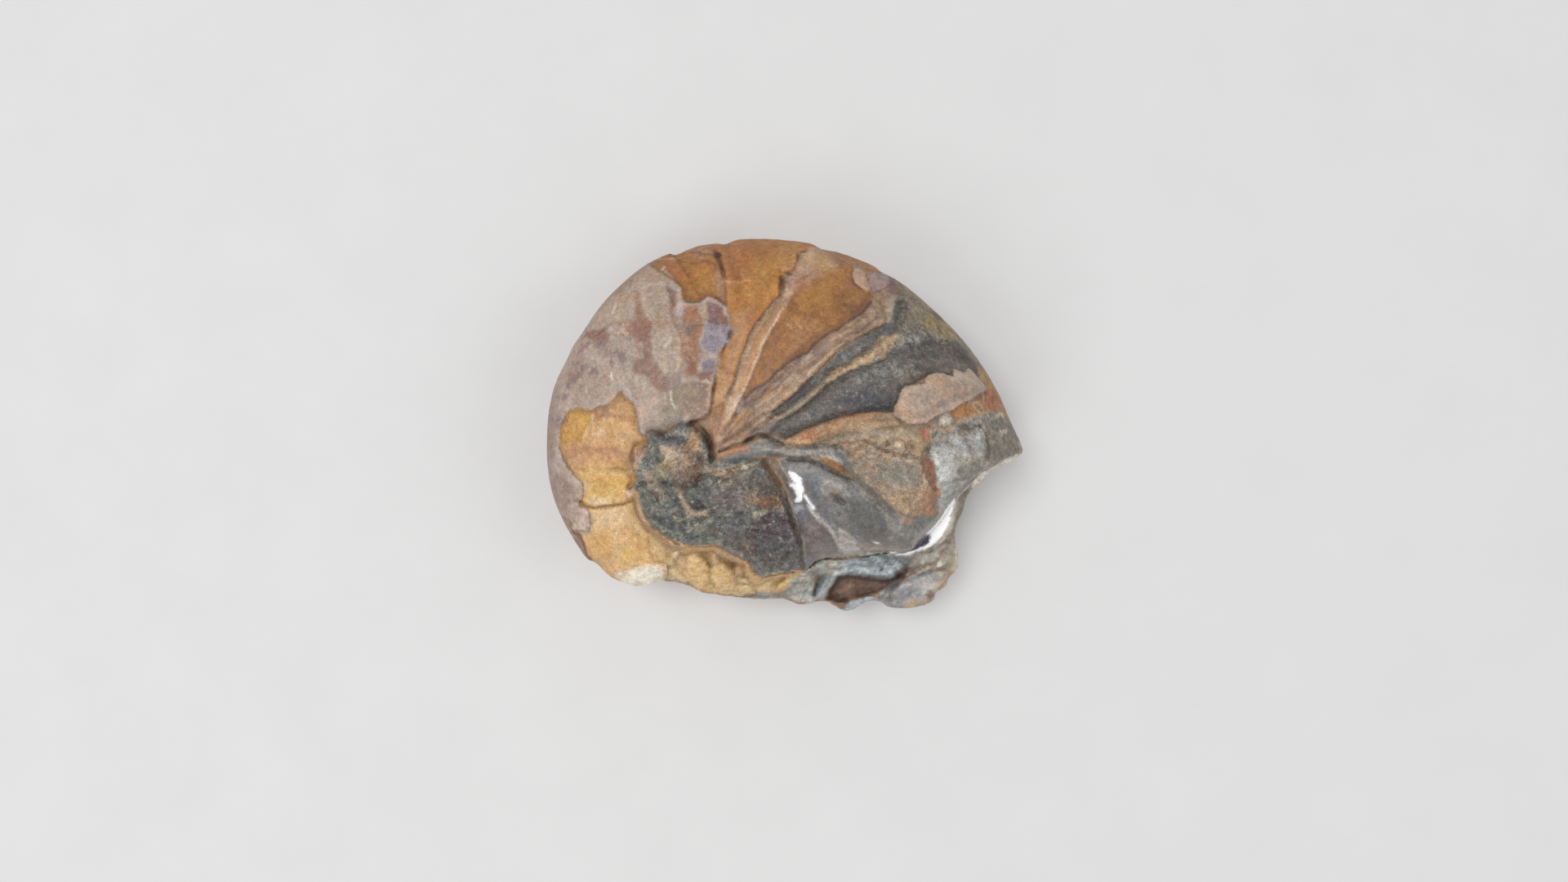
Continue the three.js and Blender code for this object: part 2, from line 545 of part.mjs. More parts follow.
function solidOf(geometry) {
  const bare = geometry.clone();
  bare.deleteAttribute('normal');
  bare.deleteAttribute('uv');
  const merged = mergeVertices(bare);
  const mesh = new wasm.Mesh({
    numProp: 3,
    vertProperties: new Float32Array(merged.attributes.position.array),
    triVerts: new Uint32Array(merged.index.array),
  });
  return new wasm.Manifold(mesh);
}

function geometryOfSolid(solid) {
  const { vertProperties, triVerts } = solid.getMesh();
  const geometry = new THREE.BufferGeometry();
  geometry.setAttribute('position', new THREE.BufferAttribute(new Float32Array(vertProperties), 3));
  geometry.setIndex([...triVerts]);
  geometry.computeVertexNormals();
  return geometry;
}

const breakColumn = solidOf(columnGeometry(SHELF_OUTLINE, ...COLUMN_SPAN));
const brokenAway = solidOf(aboveShelfGeometry()).intersect(breakColumn);
const fossil = solidOf(bodyGeometry())
  .subtract(brokenAway)
  .subtract(solidOf(groundGeometry()));

const stone = new THREE.MeshStandardMaterial({ color: 0x9c8468, roughness: 0.7, metalness: 0 });
const nautiloid = new THREE.Mesh(geometryOfSolid(fossil), stone);
nautiloid.name = 'nautiloid';
nautiloid.position.copy(ORIGIN_SHIFT);

const group = new THREE.Group();
group.add(nautiloid);
export default group;
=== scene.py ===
"""Fossil nautiloid: a coiled, chambered shell turned to stone, broken off at its mouth, lying on its flank.

The form is worked out in millimetres, from the same dimensions as the solid, and scaled to metres at
the end. Places on the fossil are given as (u, v), where they show on the keel's plane to an eye above
the upper flank.
"""
import math

import bpy
import numpy as np
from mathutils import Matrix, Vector


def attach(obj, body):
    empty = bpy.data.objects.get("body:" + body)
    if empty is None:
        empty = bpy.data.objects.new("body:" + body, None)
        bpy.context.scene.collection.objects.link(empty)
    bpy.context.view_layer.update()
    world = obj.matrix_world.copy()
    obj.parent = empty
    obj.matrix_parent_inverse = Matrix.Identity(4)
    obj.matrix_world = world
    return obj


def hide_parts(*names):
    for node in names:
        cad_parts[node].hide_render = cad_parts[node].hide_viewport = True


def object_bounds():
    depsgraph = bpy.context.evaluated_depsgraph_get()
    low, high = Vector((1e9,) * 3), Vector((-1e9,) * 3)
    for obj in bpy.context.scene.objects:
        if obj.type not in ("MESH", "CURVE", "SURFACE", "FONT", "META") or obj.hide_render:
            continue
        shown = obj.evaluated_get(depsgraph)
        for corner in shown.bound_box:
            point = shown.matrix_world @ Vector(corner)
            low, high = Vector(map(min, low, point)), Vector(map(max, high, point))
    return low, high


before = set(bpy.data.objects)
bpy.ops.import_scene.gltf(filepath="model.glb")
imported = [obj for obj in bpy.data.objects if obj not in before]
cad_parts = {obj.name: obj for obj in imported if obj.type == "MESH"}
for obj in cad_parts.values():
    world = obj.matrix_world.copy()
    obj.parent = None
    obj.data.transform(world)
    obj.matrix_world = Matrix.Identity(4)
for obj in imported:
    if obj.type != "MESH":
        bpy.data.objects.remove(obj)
cad_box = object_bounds()

MM = 0.001

# Form
KEEL_HEIGHT = 16.5
FLANK_RISE = 14.0
GROWTH = 0.008
REST_SAG = 0.9
FLANK_POWER = 2.6
UNDER_POWER = 2.4
BREAK_POWER = 40
UPPER_SPACING = 0.245
LOWER_SPACING = 0.55
SHELF_SPACING = 0.3
BREAK_SPACING = 0.36
SHELF_FIELD = (-24, 42, -34, 0)
EDGE_SETTLE = 1.6
UNDER_SETTLE = 2.0
SHELF_SETTLE = 0.8
TOP = 45.0
COLUMN_FOOT = 5
COLUMN_HEAD = TOP + 5
SHARP_ANGLE = 62
CENTRE = np.array([0.0, -1.0])
ORIGIN_SHIFT = np.array([-0.16, 0.35, 0.0])
EYE_HEIGHT = 158.2
EYE = np.array([-0.12, -2.43, KEEL_HEIGHT + EYE_HEIGHT])
LENS = 24.44                   # millimetres, on a 36 mm sensor

OUTLINE = [
    (-35.3, -3), (-35, 2), (-34, 6.2), (-32.1, 10.1), (-31.6, 11.3), (-30, 13.7), (-27, 18), (-23, 21.9),
    (-20, 24.1), (-18.2, 25), (-17, 25.4), (-16.4, 25.2), (-13, 26.5), (-10.2, 26.9), (-8.8, 26.8),
    (-7.4, 27.4), (-3, 27.6), (2, 27.2), (4, 26.85), (5.4, 26.1), (7.5, 25.7), (10, 24.9), (13.6, 23.3),
    (14.2, 22.7), (16.6, 21.5), (20, 18.9), (24, 15.2), (27, 11.9), (30, 7.7), (32.2, 3.6), (33.8, -0.2),
    (35.1, -2.9), (35.3, -3.8), (34.9, -4.6), (32, -6.2), (30.2, -7.2), (28.2, -9.3), (27.4, -10.2),
    (26.3, -13), (25.2, -16), (25.5, -18), (25.4, -21.7), (24.4, -22.7), (23.9, -23.9), (22.4, -25),
    (22.1, -26), (21.4, -26.5), (18, -27.2), (15.4, -27), (14, -26.2), (12.2, -26.2), (10.1, -27.4),
    (9, -27.6), (5.6, -26.2), (2.2, -26.7), (0, -25.9), (-5, -25.8), (-10.2, -25.2), (-13, -24.6),
    (-14.2, -23.9), (-18.3, -23.2), (-21.3, -23.9), (-23.3, -23.7), (-26, -22.5), (-28, -20.6),
    (-29.3, -19.9), (-31, -17.5), (-33, -14), (-34.3, -10.8), (-35.1, -7),
]
LOST_MOUTH = [
    (36.4, -5.6), (37.5, -9), (37.5, -15), (35.5, -21), (31, -27.5), (24, -32), (14, -34), (4, -33),
    (-5, -30.5), (-12, -27.5), (-16.5, -25),
]
LOST_FROM = 33
LOST_TO = 60
BROKEN_EDGE = [
    (38.5, -2.5), (34.9, -4.2), (33, -5), (31, -6.2), (29.2, -7.2), (28.2, -8.2), (26, -10.4),
    (24.4, -12.5), (23.6, -13.9), (21.5, -16.3), (19.3, -18.5), (17.5, -19.05), (15, -18.75), (12.5, -19.4),
    (9.5, -19.75), (6.5, -19.7), (4.5, -20.3), (2.9, -21.9), (0, -21.9), (-3.4, -22.7), (-4.8, -22),
    (-5.6, -20.3), (-8.3, -19), (-10.3, -18.1), (-15.3, -18.05), (-18.2, -16.5), (-20.2, -15.6),
    (-20.3, -18.5), (-19.9, -19.7), (-18.8, -20.3), (-17.6, -20.5), (-17.4, -22.4), (-18.4, -24.6),
]
OUTSIDE_OF_EDGE = [(-18, -36), (44, -36), (44, -4)]
SHELF_OUTLINE = BROKEN_EDGE + OUTSIDE_OF_EDGE
RIM_DROP = [
    (-134, 0), (-129, 0.7), (-120, 1.8), (-112, 2.6), (-90, 4.2), (-69, 5.4), (-49, 6), (-37, 6),
    (-27, 5.5), (-18, 4.4), (-11.5, 2.4), (-6.5, 0.6), (-3.2, 0),
]
SHELF_RISE = [
    (-22, 6.6), (-12, 6.4), (-4, 6), (0, 5.8), (4, 5.4), (10, 4.5), (16, 2.5), (22, 1), (28, 0.5),
]
NO_DOME = -9                   # below any ground
SHELF_LIP = 0.8
SHELF_REACH = 3.8
RUBBLE_RISE = [
    (-20.6, 2.8), (-19, 1.8), (-17, 1.6), (-14, 2.4), (-11, 3.4), (-8, 5.4), (-5, 5.6), (-2.6, 3),
    (0, 1.6), (4, 3.2), (11, 3.4), (15, 1.6), (18, 0), (24, 0), (29, 1.5),
]
RUBBLE_REACH = 1.3

UMBILICAL_MATRIX = [
    (-20.2, -2), (-19.8, -1.2), (-18.3, -1.5), (-16.5, -0.6), (-15, 0.2), (-14, -0.3), (-13.3, 0),
    (-12.2, -1.2), (-11.6, -2.5), (-11.1, -4), (-11, -5), (-9.5, -5.4), (-3.6, -5.2), (-2.8, -6.8),
    (-0.8, -9.5), (0.1, -12), (1.2, -15), (2.1, -18), (2.7, -22), (-0.5, -22.2), (-2.4, -22.7),
    (-3.4, -22.7), (-5, -21.7), (-5.4, -20.5), (-7.3, -19.7), (-9.8, -18.2), (-13, -18.1), (-15, -18.2),
    (-16.7, -17.8), (-19, -16), (-20.3, -14.9), (-21.2, -13.8), (-21.9, -12), (-21.6, -10), (-22.7, -9.4),
    (-21.9, -8), (-22.6, -7), (-22.8, -5.5), (-22.5, -4.5), (-22, -3.5), (-20.4, -2.9),
]
DARK_CHAMBER = [
    (-3, -1.7), (0, 0.9), (2.5, 2.3), (5, 4.3), (6.4, 5.9), (9, 6.9), (12, 8.6), (15, 9.6), (18, 12),
    (23, 12.8), (27.5, 9.6), (22, 7.8), (17.5, 5.4), (16.3, 2.2), (12, 2), (8, 1.3), (4, -0.3), (0, -1.9),
]
UPPER_DARK_BAND = [
    (-5, -1.2), (-1.5, 2.3), (2, 4.9), (5.3, 8.5), (9, 11.8), (13, 13.6), (16, 15.6), (17.2, 18.6),
    (18.8, 16.5), (16.8, 13.6), (13, 11), (10, 8.8), (7, 8), (4.4, 5.6), (1, 3), (-2, 0.6),
]
SECOND_CHAMBER = [
    (-10.5, 28.5), (-9.7, 25), (-9, 23), (-8.7, 20), (-8.5, 17.6), (-8, 13), (-9.6, 10), (-10.2, 7),
    (-10.7, 2.4), (-8.8, 3.6), (-7.8, 6), (-7, 8.5), (-6, 11.3), (-5, 14), (-3.6, 16), (-1.8, 18.2),
    (-0.6, 19.5), (-0.7, 20.5), (-0.6, 22), (0.3, 22.2), (1.2, 22.9), (1.6, 23.5), (1.8, 24.4), (2.1, 25.2),
    (3.1, 25.6), (5, 26.2), (5.6, 28.5),
]
ORANGE_BAND = [
    (-0.6, -2.4), (0, -2), (1, -1.7), (3, -0.6), (5, 0.1), (8, 1.3), (11, 1.7), (13, 2.1), (16.4, 2),
    (17, 0), (14, -0.5), (12, -1), (9.5, -1), (7.5, -1.5), (5.2, -2.2), (4.7, -2.6), (3, -3), (1, -2.9),
]
FLAKE = [
    (16.2, 1.5), (16.3, 2.5), (16.8, 3.5), (17.1, 4.5), (17.5, 5.3), (18, 5.7), (19.5, 5.9), (20.9, 6.1),
    (20.8, 6.8), (21.3, 7.3), (22.4, 7.6), (23.5, 7.6), (24.5, 7.2), (25, 7.2), (25, 8.2), (25.6, 8.1),
    (26.7, 7.6), (27.3, 8.4), (27.9, 7.9), (28.5, 7.2), (29.1, 6.6), (29.6, 5.9), (30, 5.2), (28.5, 4.3),
    (27.5, 3.6), (26, 3), (25, 2.2), (24, 2), (23, 1.5), (22, 1), (21, 0.2), (19, 0.1), (18.3, 0.2),
    (17.5, 0.6), (16.5, 1.2),
]
LAST_SEPTUM = [
    (-1.2, -6.2), (-0.3, -8), (0.2, -10), (0.3, -12), (0.8, -13.5), (1.5, -15), (2.1, -16), (2.3, -18),
    (2.6, -20), (2.9, -21.8), (5.5, -19.9), (8, -19.8), (11, -19.6), (12, -18.8), (14, -18.8), (17, -19.1),
    (18.6, -19.1), (19.6, -18.4), (21.4, -16.5), (23.5, -14), (22.5, -13.5), (20.5, -14.2), (18, -15),
    (16.5, -13), (15, -12), (13, -10.5), (12, -9), (10, -8.2), (8, -7.4), (6.3, -6.5), (5, -5.5),
    (3, -5.1), (0, -5.1),
]
RUGGED = [
    (-5, -1), (1, 5.6), (8, 12), (16, 16), (17, 21), (24, 16), (31, 8), (36, 0), (36, -5), (28, -9),
    (22, -15), (14, -11), (6, -5), (-2, -3),
]
SHELL = [
    (-20.2, -2), (-21.5, -1.2), (-21.7, 0), (-21.9, 1.3), (-22.2, 2.5), (-22.6, 3.3), (-23.5, 3.8),
    (-24, 4.4), (-24.2, 4.9), (-24.8, 4.6), (-25, 4), (-25.6, 3.5), (-26.1, 3), (-27, 2.8), (-28, 2.6),
    (-28.8, 2), (-29.5, 2.1), (-30.3, 2.4), (-31, 2.4), (-32, 2), (-32.7, 1.2), (-33.2, 0.2),
    (-33.4, -1.5), (-33.6, -3.2), (-33, -5), (-32.3, -6.2), (-31.2, -7.5), (-30.2, -8.4), (-30, -9.5),
    (-30, -11), (-30.5, -11.5), (-30.5, -12.2), (-29.5, -12.4), (-29.1, -13), (-29, -15), (-29.3, -15.8),
    (-31, -15.7), (-30.5, -16.5), (-29.8, -18), (-29.3, -19.2), (-28.6, -20), (-29.5, -22), (-38, -20),
    (-38, 20), (-22, 27), (-20, 23.7), (-18.5, 22.5), (-17, 21.6), (-16.2, 21.2), (-15.6, 20.5),
    (-15.3, 19.8), (-15.2, 18.8), (-14.8, 18.1), (-13.5, 18), (-12.5, 18.2), (-11.5, 19), (-10.8, 18.9),
    (-10, 18.5), (-9, 17.9), (-8.5, 17.7), (-8.4, 17), (-8.1, 15), (-7.9, 13), (-8.3, 12.2), (-8.9, 11.9),
    (-9.4, 11), (-9.6, 10), (-9.9, 8), (-10.1, 7), (-10.5, 6), (-10.7, 5.2), (-10.6, 4.5), (-10.9, 2.5),
    (-11.3, 1.5), (-12, 0.9), (-12.8, 0.7), (-14, 0.1), (-15.3, 0.4), (-17.6, -0.8),
]
RIDGE_ONE = [(-8.4, 1), (-7.2, 4.6), (-5.6, 9), (-3.6, 13), (-0.6, 17.2), (1.2, 21), (3, 25.4)]
RIDGE_ONE_GROOVE = [
    (-8.8, 4), (-7.8, 6), (-7, 8.5), (-6, 11.3), (-5, 14), (-3.6, 16), (-1.8, 18.2), (-0.6, 19.4),
    (-0.6, 21.8),
]
RIDGE_TWO = [(-6.4, 1.4), (-2, 4.6), (3, 9.6), (8, 13), (12.6, 16)]
VEIN = [(0, 1.5), (3, 3.7), (5.6, 5.8), (8, 7.5), (11, 9.2), (15, 11.8)]
FOLD = [(-10.4, -4.2), (-6, -3.4), (-2, -3.6), (4, -3.9), (8.6, -5.4)]
CREVICE = [(-13.8, 0.1), (-12, -1.6), (-11.2, -3.3), (-11, -5)]
SEPTUM_CREVICE = [(-3, -5.6), (-1, -8.8), (0.1, -11.6), (1.4, -15), (2.4, -19), (2.9, -22)]

PLATES = [
    (UMBILICAL_MATRIX, 1.9, 0.5), (DARK_CHAMBER, -0.9, 0.7), (UPPER_DARK_BAND, -0.7, 0.6),
    (SECOND_CHAMBER, 0.5, 0.22), (ORANGE_BAND, 0.6, 0.6), (FLAKE, 0.4, 0.25), (LAST_SEPTUM, 1.3, 2.0),
    (SHELL, 0.4, 0.22),
]
RIBS = [
    (RIDGE_ONE, 0.4, 1), (RIDGE_ONE_GROOVE, -0.25, 0.4), (RIDGE_TWO, 0.7, 0.9), (VEIN, 0.4, 0.5),
    (FOLD, 0.9, 0.9), (CREVICE, -1.6, 0.55), (SEPTUM_CREVICE, -0.4, 0.35),
    ([(1.6, -8.6), (4.2, -12.6), (6.8, -15.4), (8.4, -19)], 0.5, 1.2),
    ([(9, -6.6), (12.6, -9.6), (16.2, -13), (18.6, -17)], -0.5, 0.9),
    ([(-30.8, -11.4), (-28.5, -12.3), (-26, -12.2), (-24, -11.6), (-22.4, -10.9)], -0.3, 0.35),
    ([(-33, -6.3), (-28, -6.9), (-22.6, -6.8)], -0.12, 0.5),
    ([(-10.5, 26.4), (-10.2, 25.2), (-9.4, 23.6), (-9, 22)], -0.5, 0.4),
    ([(21, -5), (22.2, -8), (22.4, -12), (22, -15)], -0.4, 0.7),
    ([(30.1, -2), (30.2, -4.6), (29.4, -6.6)], -0.5, 0.7),
    ([(-22.8, -9.2), (-18.6, -8.2), (-15.4, -9.2), (-12, -7.6), (-9, -7.8), (-6.8, -6.6)], -1, 0.6),
    ([(-15.8, -9.6), (-15, -11.6), (-14.2, -12.8), (-13.2, -13.4), (-11.8, -13.3)], 1.2, 0.6),
    ([(-14, -9.4), (-13.2, -11.2), (-12.6, -12.2)], -0.45, 0.6),
    ([(-17, -3.4), (-15, -5), (-13.8, -7.4)], 0.7, 1),
    ([(-12.4, -4.6), (-12.2, -6.6), (-13, -8.8)], -0.9, 0.7),
    ([(-9.6, -3.9), (-8, -3.3), (-6.3, -2.9), (-5, -2), (-3.8, -1.6), (-2.5, -1.8), (-0.5, -2.9)],
     -0.6, 0.35),
    ([(0.4, -3.3), (3, -3.3), (6, -3.1), (8.4, -3.4)], -0.4, 0.3),
    ([(-9, -2.4), (-6, -0.6), (-3, 1.6)], -0.35, 0.3), ([(-9.4, -1.4), (-7.6, 1), (-6, 3.2)], -0.35, 0.3),
    ([(0.8, -5.2), (3.4, -5.2), (6, -6.4), (9.4, -8)], -0.5, 0.35),
    ([(10.8, 12.7), (14.6, 14.6), (16.8, 18)], -0.3, 0.35),
    ([(12.6, 19.4), (14.6, 17.4), (15, 15.6)], -0.3, 0.3),
    ([(-17.4, 20.4), (-16.8, 18.6), (-16.4, 17.4)], -0.2, 0.35),
    ([(-20, 24.1), (-17.4, 24.6), (-14, 24.8)], -0.3, 0.3),
    ([(12, -2.3), (15.6, -4.2), (19.6, -4.9)], -0.35, 0.3),
    ([(-9.6, -5), (-6, -4.8), (-3, -4.8)], 0.5, 0.5), ([(22.4, -4), (23.4, -8), (23.6, -12)], 0.5, 0.9),
    ([(26, -2), (27.4, -5), (26.6, -8.6)], 0.4, 0.9),
]
SOFT_KNOB = 1.5
ROUND_KNOB = 0.85
FOOT = 0.05                    # what faces down and lies lower than this is on the flat
KNOBS = [
    ((-16.4, -5.4), (2.6, 2), 10, 0.8), ((-6, -11), (3.4, 2), 0, 0.7), ((-17.4, -13), (3, 2.4), -30, 0.9),
    ((-8, -16.4), (3.4, 2), -12, 0.7), ((-1.6, -18.6), (2.4, 2.6), 0, 0.6),
    ((8, -11.1), (1.7, 0.8), -33, -0.35), ((0.2, 23.1), (0.9, 0.8), 0, 0.3),
    ((1.6, 24.9), (0.8, 0.7), 0, 0.3), ((-1.4, 21), (0.9, 1.2), 0, 0.3),
    ((-17.2, -2.1), (1, 0.6), 0, -0.5), ((14.9, -2.9), (0.9, 0.7), 0, -0.3),
    ((16.8, -2.9), (1, 0.7), 0, 0.3), ((11.3, 21.6), (1.3, 0.9), -50, 0.25),
    ((14, 21.2), (1.5, 1.2), 0, 0.3), ((23.7, 0.7), (0.9, 0.9), 0, 0.25),
]
ROUNDED_FROM = (0, 4)
ROUNDED_TO = (25, 31)
EDGE_ROUNDING = 4.6
EDGE_DROP = 5.2
BROKEN_SHARE = 1.06
BREAK_ROUGHNESS = 0.2
UNDERCUT = 0.003

CRESCENT_FLOOR = [
    (26.4, -9.6), (25.6, -11.4), (25.2, -12.9), (25, -14), (24.7, -15.1), (24.2, -16.1), (23.5, -17.1),
    (22.4, -18), (21.3, -18.6), (20.3, -18.9), (18.6, -19.5), (17, -19.6), (15.3, -19.2), (16, -17),
    (20, -14), (24, -10),
]
MOUTH_GROOVE = [
    (6.2, -25.7), (6.7, -24.6), (7.3, -23.6), (8, -22.4), (9.6, -22.4), (12, -22.6), (14, -22.9),
    (15.8, -22.9), (17.2, -22.2), (17.6, -22.5), (16.4, -23.3), (15.2, -24.2), (13.6, -25), (11.6, -25.6),
    (9.8, -26), (8, -26.2),
]
GREY_LEDGE = [
    (3, -21.6), (5.5, -20), (12, -19.6), (15, -19), (19, -19.4), (17.6, -21.3), (15.6, -22.6), (12, -22.3),
    (8, -22.4), (5.8, -22.2),
]
FAR_LOBE = [
    (15.6, -27), (16, -24.8), (17.4, -23.4), (19.4, -22.6), (22, -21.8), (24, -21.6), (24.4, -22.6),
    (22.8, -24.6), (22.4, -25.8), (21.2, -27), (18, -28),
]
NODULE_BED = [
    (-20.6, -15.4), (-18, -15.8), (-15, -17.2), (-10, -17.4), (-7.2, -18.6), (-4.6, -20.6), (-3.6, -21.8),
    (1.6, -21.8), (0, -24.2), (-4.4, -24.8), (-8.6, -25), (-12.4, -24.4), (-15, -22.8), (-17.4, -20.6),
    (-20, -19.4),
]
SHELF_PLATES = [
    (NODULE_BED, 1.6, 0.5), (CRESCENT_FLOOR, 11, 0.4), (MOUTH_GROOVE, -2.6, 0.55),
    (GREY_LEDGE, 1.1, 0.35), (FAR_LOBE, 1.1, 0.35),
]
SHELF_RIBS = [
    ([(17, -22.2), (18.2, -21.3), (19.3, -20.4)], -1.6, 0.7),
    ([(7.6, -22.5), (6.5, -24), (5.4, -25.6)], 1.5, 0.8),
    ([(25, -16), (24, -18.6), (23.2, -20.2)], 0.7, 0.8),
    ([(5.4, -22.8), (4.8, -24), (4.4, -25.2)], -1.1, 0.35),
    ([(17.2, -23), (19.4, -22.2), (20.8, -21.3), (22.8, -20.9)], 0.7, 0.35),
    ([(13.8, -25.8), (15.4, -24.5), (16.6, -23.5)], -0.8, 0.35),
    ([(9, -26.4), (9.6, -25.6), (12, -25.6)], 0.8, 0.4),
    ([(4.4, -21), (8, -20.6), (12, -20.3), (16, -20)], 0.35, 0.3),
    ([(6, -21.8), (10, -21.5), (14, -21.3), (17, -20.8)], 0.3, 0.3),
    ([(12.4, -21.6), (14, -20.2), (16.6, -19.4)], 0.35, 0.3),
    ([(20, -19.6), (22, -19), (23.8, -17.6)], 0.35, 0.4),
]
NODULES = [
    ((-18.5, -18.5), (2.3, 2.3), 0, 0.5, 1.7), ((-16.3, -18.9), (1.1, 1.8), -10, 1.3, 1.6),
    ((-15.1, -20.6), (1.3, 2.8), 14, 1, 1.9), ((-12.9, -21.6), (2.5, 3.7), 12, 1.2, 3.1),
    ((-10.6, -19.7), (1.2, 2.4), 30, 2, 2.6), ((-9.2, -22.3), (2.5, 3.1), 22, 1.4, 3.4),
    ((-6.4, -21.3), (2, 2), 0, 1.4, 3.4), ((-5.7, -23), (2.4, 1.3), -8, 1.2, 2.4),
    ((-6.2, -24.1), (2.2, 1.1), -8, 0.8, 2.2), ((-2.8, -23.5), (2, 1.9), 0, 1.2, 2.6),
    ((0.2, -23.4), (2.7, 0.8), 41, 1.4, 2), ((-0.6, -22.9), (1.6, 1.2), 10, 1, 1.6),
    ((-15.9, -22.6), (2.9, 1.3), -38, 0.6, 2), ((-8.5, -24.7), (2.4, 0.9), -12, 0.8, 2),
    ((-11, -24.2), (1.8, 1.1), -20, 0.8, 2),
]
UNDER_RIBS = [
    ([(-13, 2), (-12, 8), (-13, 15), (-16, 21)], -0.6, 0.9),
    ([(-9, 2.5), (-5, 9), (-4, 16), (-4.5, 24)], -0.6, 0.9),
    ([(-6, 0.5), (2, 9), (8, 16), (10.5, 22)], -0.7, 0.9),
    ([(-19, -2), (-25, 1), (-30, 6)], -0.6, 0.9),
    ([(-19, -7), (-26, -7.5), (-32, -6)], -0.6, 0.9),
    ([(-17, -11), (-22, -15), (-26, -19)], -0.6, 0.9),
]
UNDER_UMBILICUS = [((-15.5, -5), (6.4, 6), 0, -2.6)]


# Numbers and noise

def smoothstep(low, high, value):
    t = np.clip((value - low) / (high - low), 0, 1)
    return t * t * (3 - 2 * t)


def hashed(cell, seed):
    """A number from -1 to 1 for each whole-numbered cell."""
    mixed = cell[:, 0] * 73856093 ^ cell[:, 1] * 19349663 ^ cell[:, 2] * 83492791 ^ seed * 374761393
    mixed = (mixed ^ (mixed >> 13)) * 1274126177 & 0x7FFFFFFF
    mixed = (mixed ^ (mixed >> 16)) * 668265263 & 0x7FFFFFFF
    return ((mixed >> 7) & 0xFFFF) / 32767.5 - 1


def noise(place, size, seed):
    """Smooth noise from -1 to 1, with lumps of about this size."""
    scaled = place / size + seed * 3.71
    cell = np.floor(scaled).astype(np.int64)
    part = scaled - cell
    weight = part ** 3 * (part * (part * 6 - 15) + 10)
    total = np.zeros(len(place))
    for corner in range(8):
        step = np.array([corner & 1, corner >> 1 & 1, corner >> 2 & 1])
        share = np.prod(np.where(step == 1, weight, 1 - weight), axis=1)
        total += share * hashed(cell + step, seed)
    return total


def layered(place, size, seed, layers=4):
    """Noise with ever finer detail added, from about -1 to 1."""
    total = np.zeros(len(place))
    for layer in range(layers):
        total += noise(place, size / 2 ** layer, seed + layer * 11) * 0.6 ** layer
    return total * 0.75


def cell_distance(place, size, seed):
    """Distance to the nearest of scattered points about this far apart, in shares of the spacing."""
    scaled = place / size + seed * 1.37
    cell = np.floor(scaled).astype(np.int64)
    nearest = np.full(len(place), 9.0)
    for dx in (-1, 0, 1):
        for dy in (-1, 0, 1):
            for dz in (-1, 0, 1):
                near = cell + np.array([dx, dy, dz])
                jitter = np.stack([hashed(near, seed + k) for k in range(3)], axis=1) * 0.5 + 0.5
                nearest = np.minimum(nearest, np.linalg.norm(near + jitter - scaled, axis=1))
    return nearest


def line_distance(line, at, closed=False):
    """Distance from places (u, v) to a line of points."""
    points = np.array(line, float)
    following = np.roll(points, -1, axis=0) if closed else points[1:]
    nearest = np.full(len(at), 1e9)
    for (au, av), (bu, bv) in zip(points, following):
        du, dv = bu - au, bv - av
        away_u, away_v = at[:, 0] - au, at[:, 1] - av
        t = np.clip((away_u * du + away_v * dv) / (du ** 2 + dv ** 2), 0, 1)
        nearest = np.minimum(nearest, (away_u - t * du) ** 2 + (away_v - t * dv) ** 2)
    return np.sqrt(nearest)


def depth_inside(outline, at):
    """Distance to an outline's edge, positive inside."""
    inside = np.zeros(len(at), bool)
    points = np.array(outline, float)
    for (au, av), (bu, bv) in zip(points, np.roll(points, -1, axis=0)):
        if av == bv:
            continue
        crosses = (av > at[:, 1]) != (bv > at[:, 1])
        inside ^= crosses & (at[:, 0] < (bu - au) * (at[:, 1] - av) / (bv - av) + au)
    distance = line_distance(outline, at, closed=True)
    return np.where(inside, distance, -distance)


# Form of the shell

def smooth_outline(points):
    """A centripetal curve through the points, as a closed run of short steps."""
    p = np.array(points, float)
    steps = 10
    out = []
    for i in range(len(p)):
        p0, p1, p2, p3 = p[i - 1], p[i], p[(i + 1) % len(p)], p[(i + 2) % len(p)]
        pairs = ((p0, p1), (p1, p2), (p2, p3))
        d0, d1, d2 = (max(np.hypot(*(b - a)), 1e-6) ** 0.5 for a, b in pairs)
        out_slope = ((p1 - p0) / d0 - (p2 - p0) / (d0 + d1) + (p2 - p1) / d1) * d1
        in_slope = ((p2 - p1) / d1 - (p3 - p1) / (d1 + d2) + (p3 - p2) / d2) * d1
        for t in np.arange(steps) / steps:
            out.append(
                p1 * (2 * t ** 3 - 3 * t ** 2 + 1) + out_slope * (t ** 3 - 2 * t ** 2 + t)
                + p2 * (3 * t ** 2 - 2 * t ** 3) + in_slope * (t ** 3 - t ** 2)
            )
    return np.array(out)


class RoundOutline:
    """A closed outline, with its reach from the centre in each direction."""

    def __init__(self, points):
        self.points = smooth_outline(points)
        steps = np.linalg.norm(np.roll(self.points, -1, axis=0) - self.points, axis=1)
        self.lengths = np.concatenate([[0], np.cumsum(steps)])
        self.perimeter = self.lengths[-1]
        away = self.points - CENTRE
        angle = np.arctan2(away[:, 1], away[:, 0])
        order = np.argsort(angle)
        self.angles = angle[order]
        self.radii = np.linalg.norm(away, axis=1)[order]

    def radius(self, angle):
        return np.interp(angle, self.angles, self.radii, period=2 * math.pi)

    def points_at(self, shares):
        wanted = (shares % 1) * self.perimeter
        closed = np.vstack([self.points, self.points[:1]])
        return np.stack([np.interp(wanted, self.lengths, closed[:, k]) for k in range(2)], axis=1)


outline = RoundOutline(OUTLINE)
whole_outline = RoundOutline(OUTLINE[:LOST_FROM] + LOST_MOUTH + OUTLINE[LOST_TO + 1:])


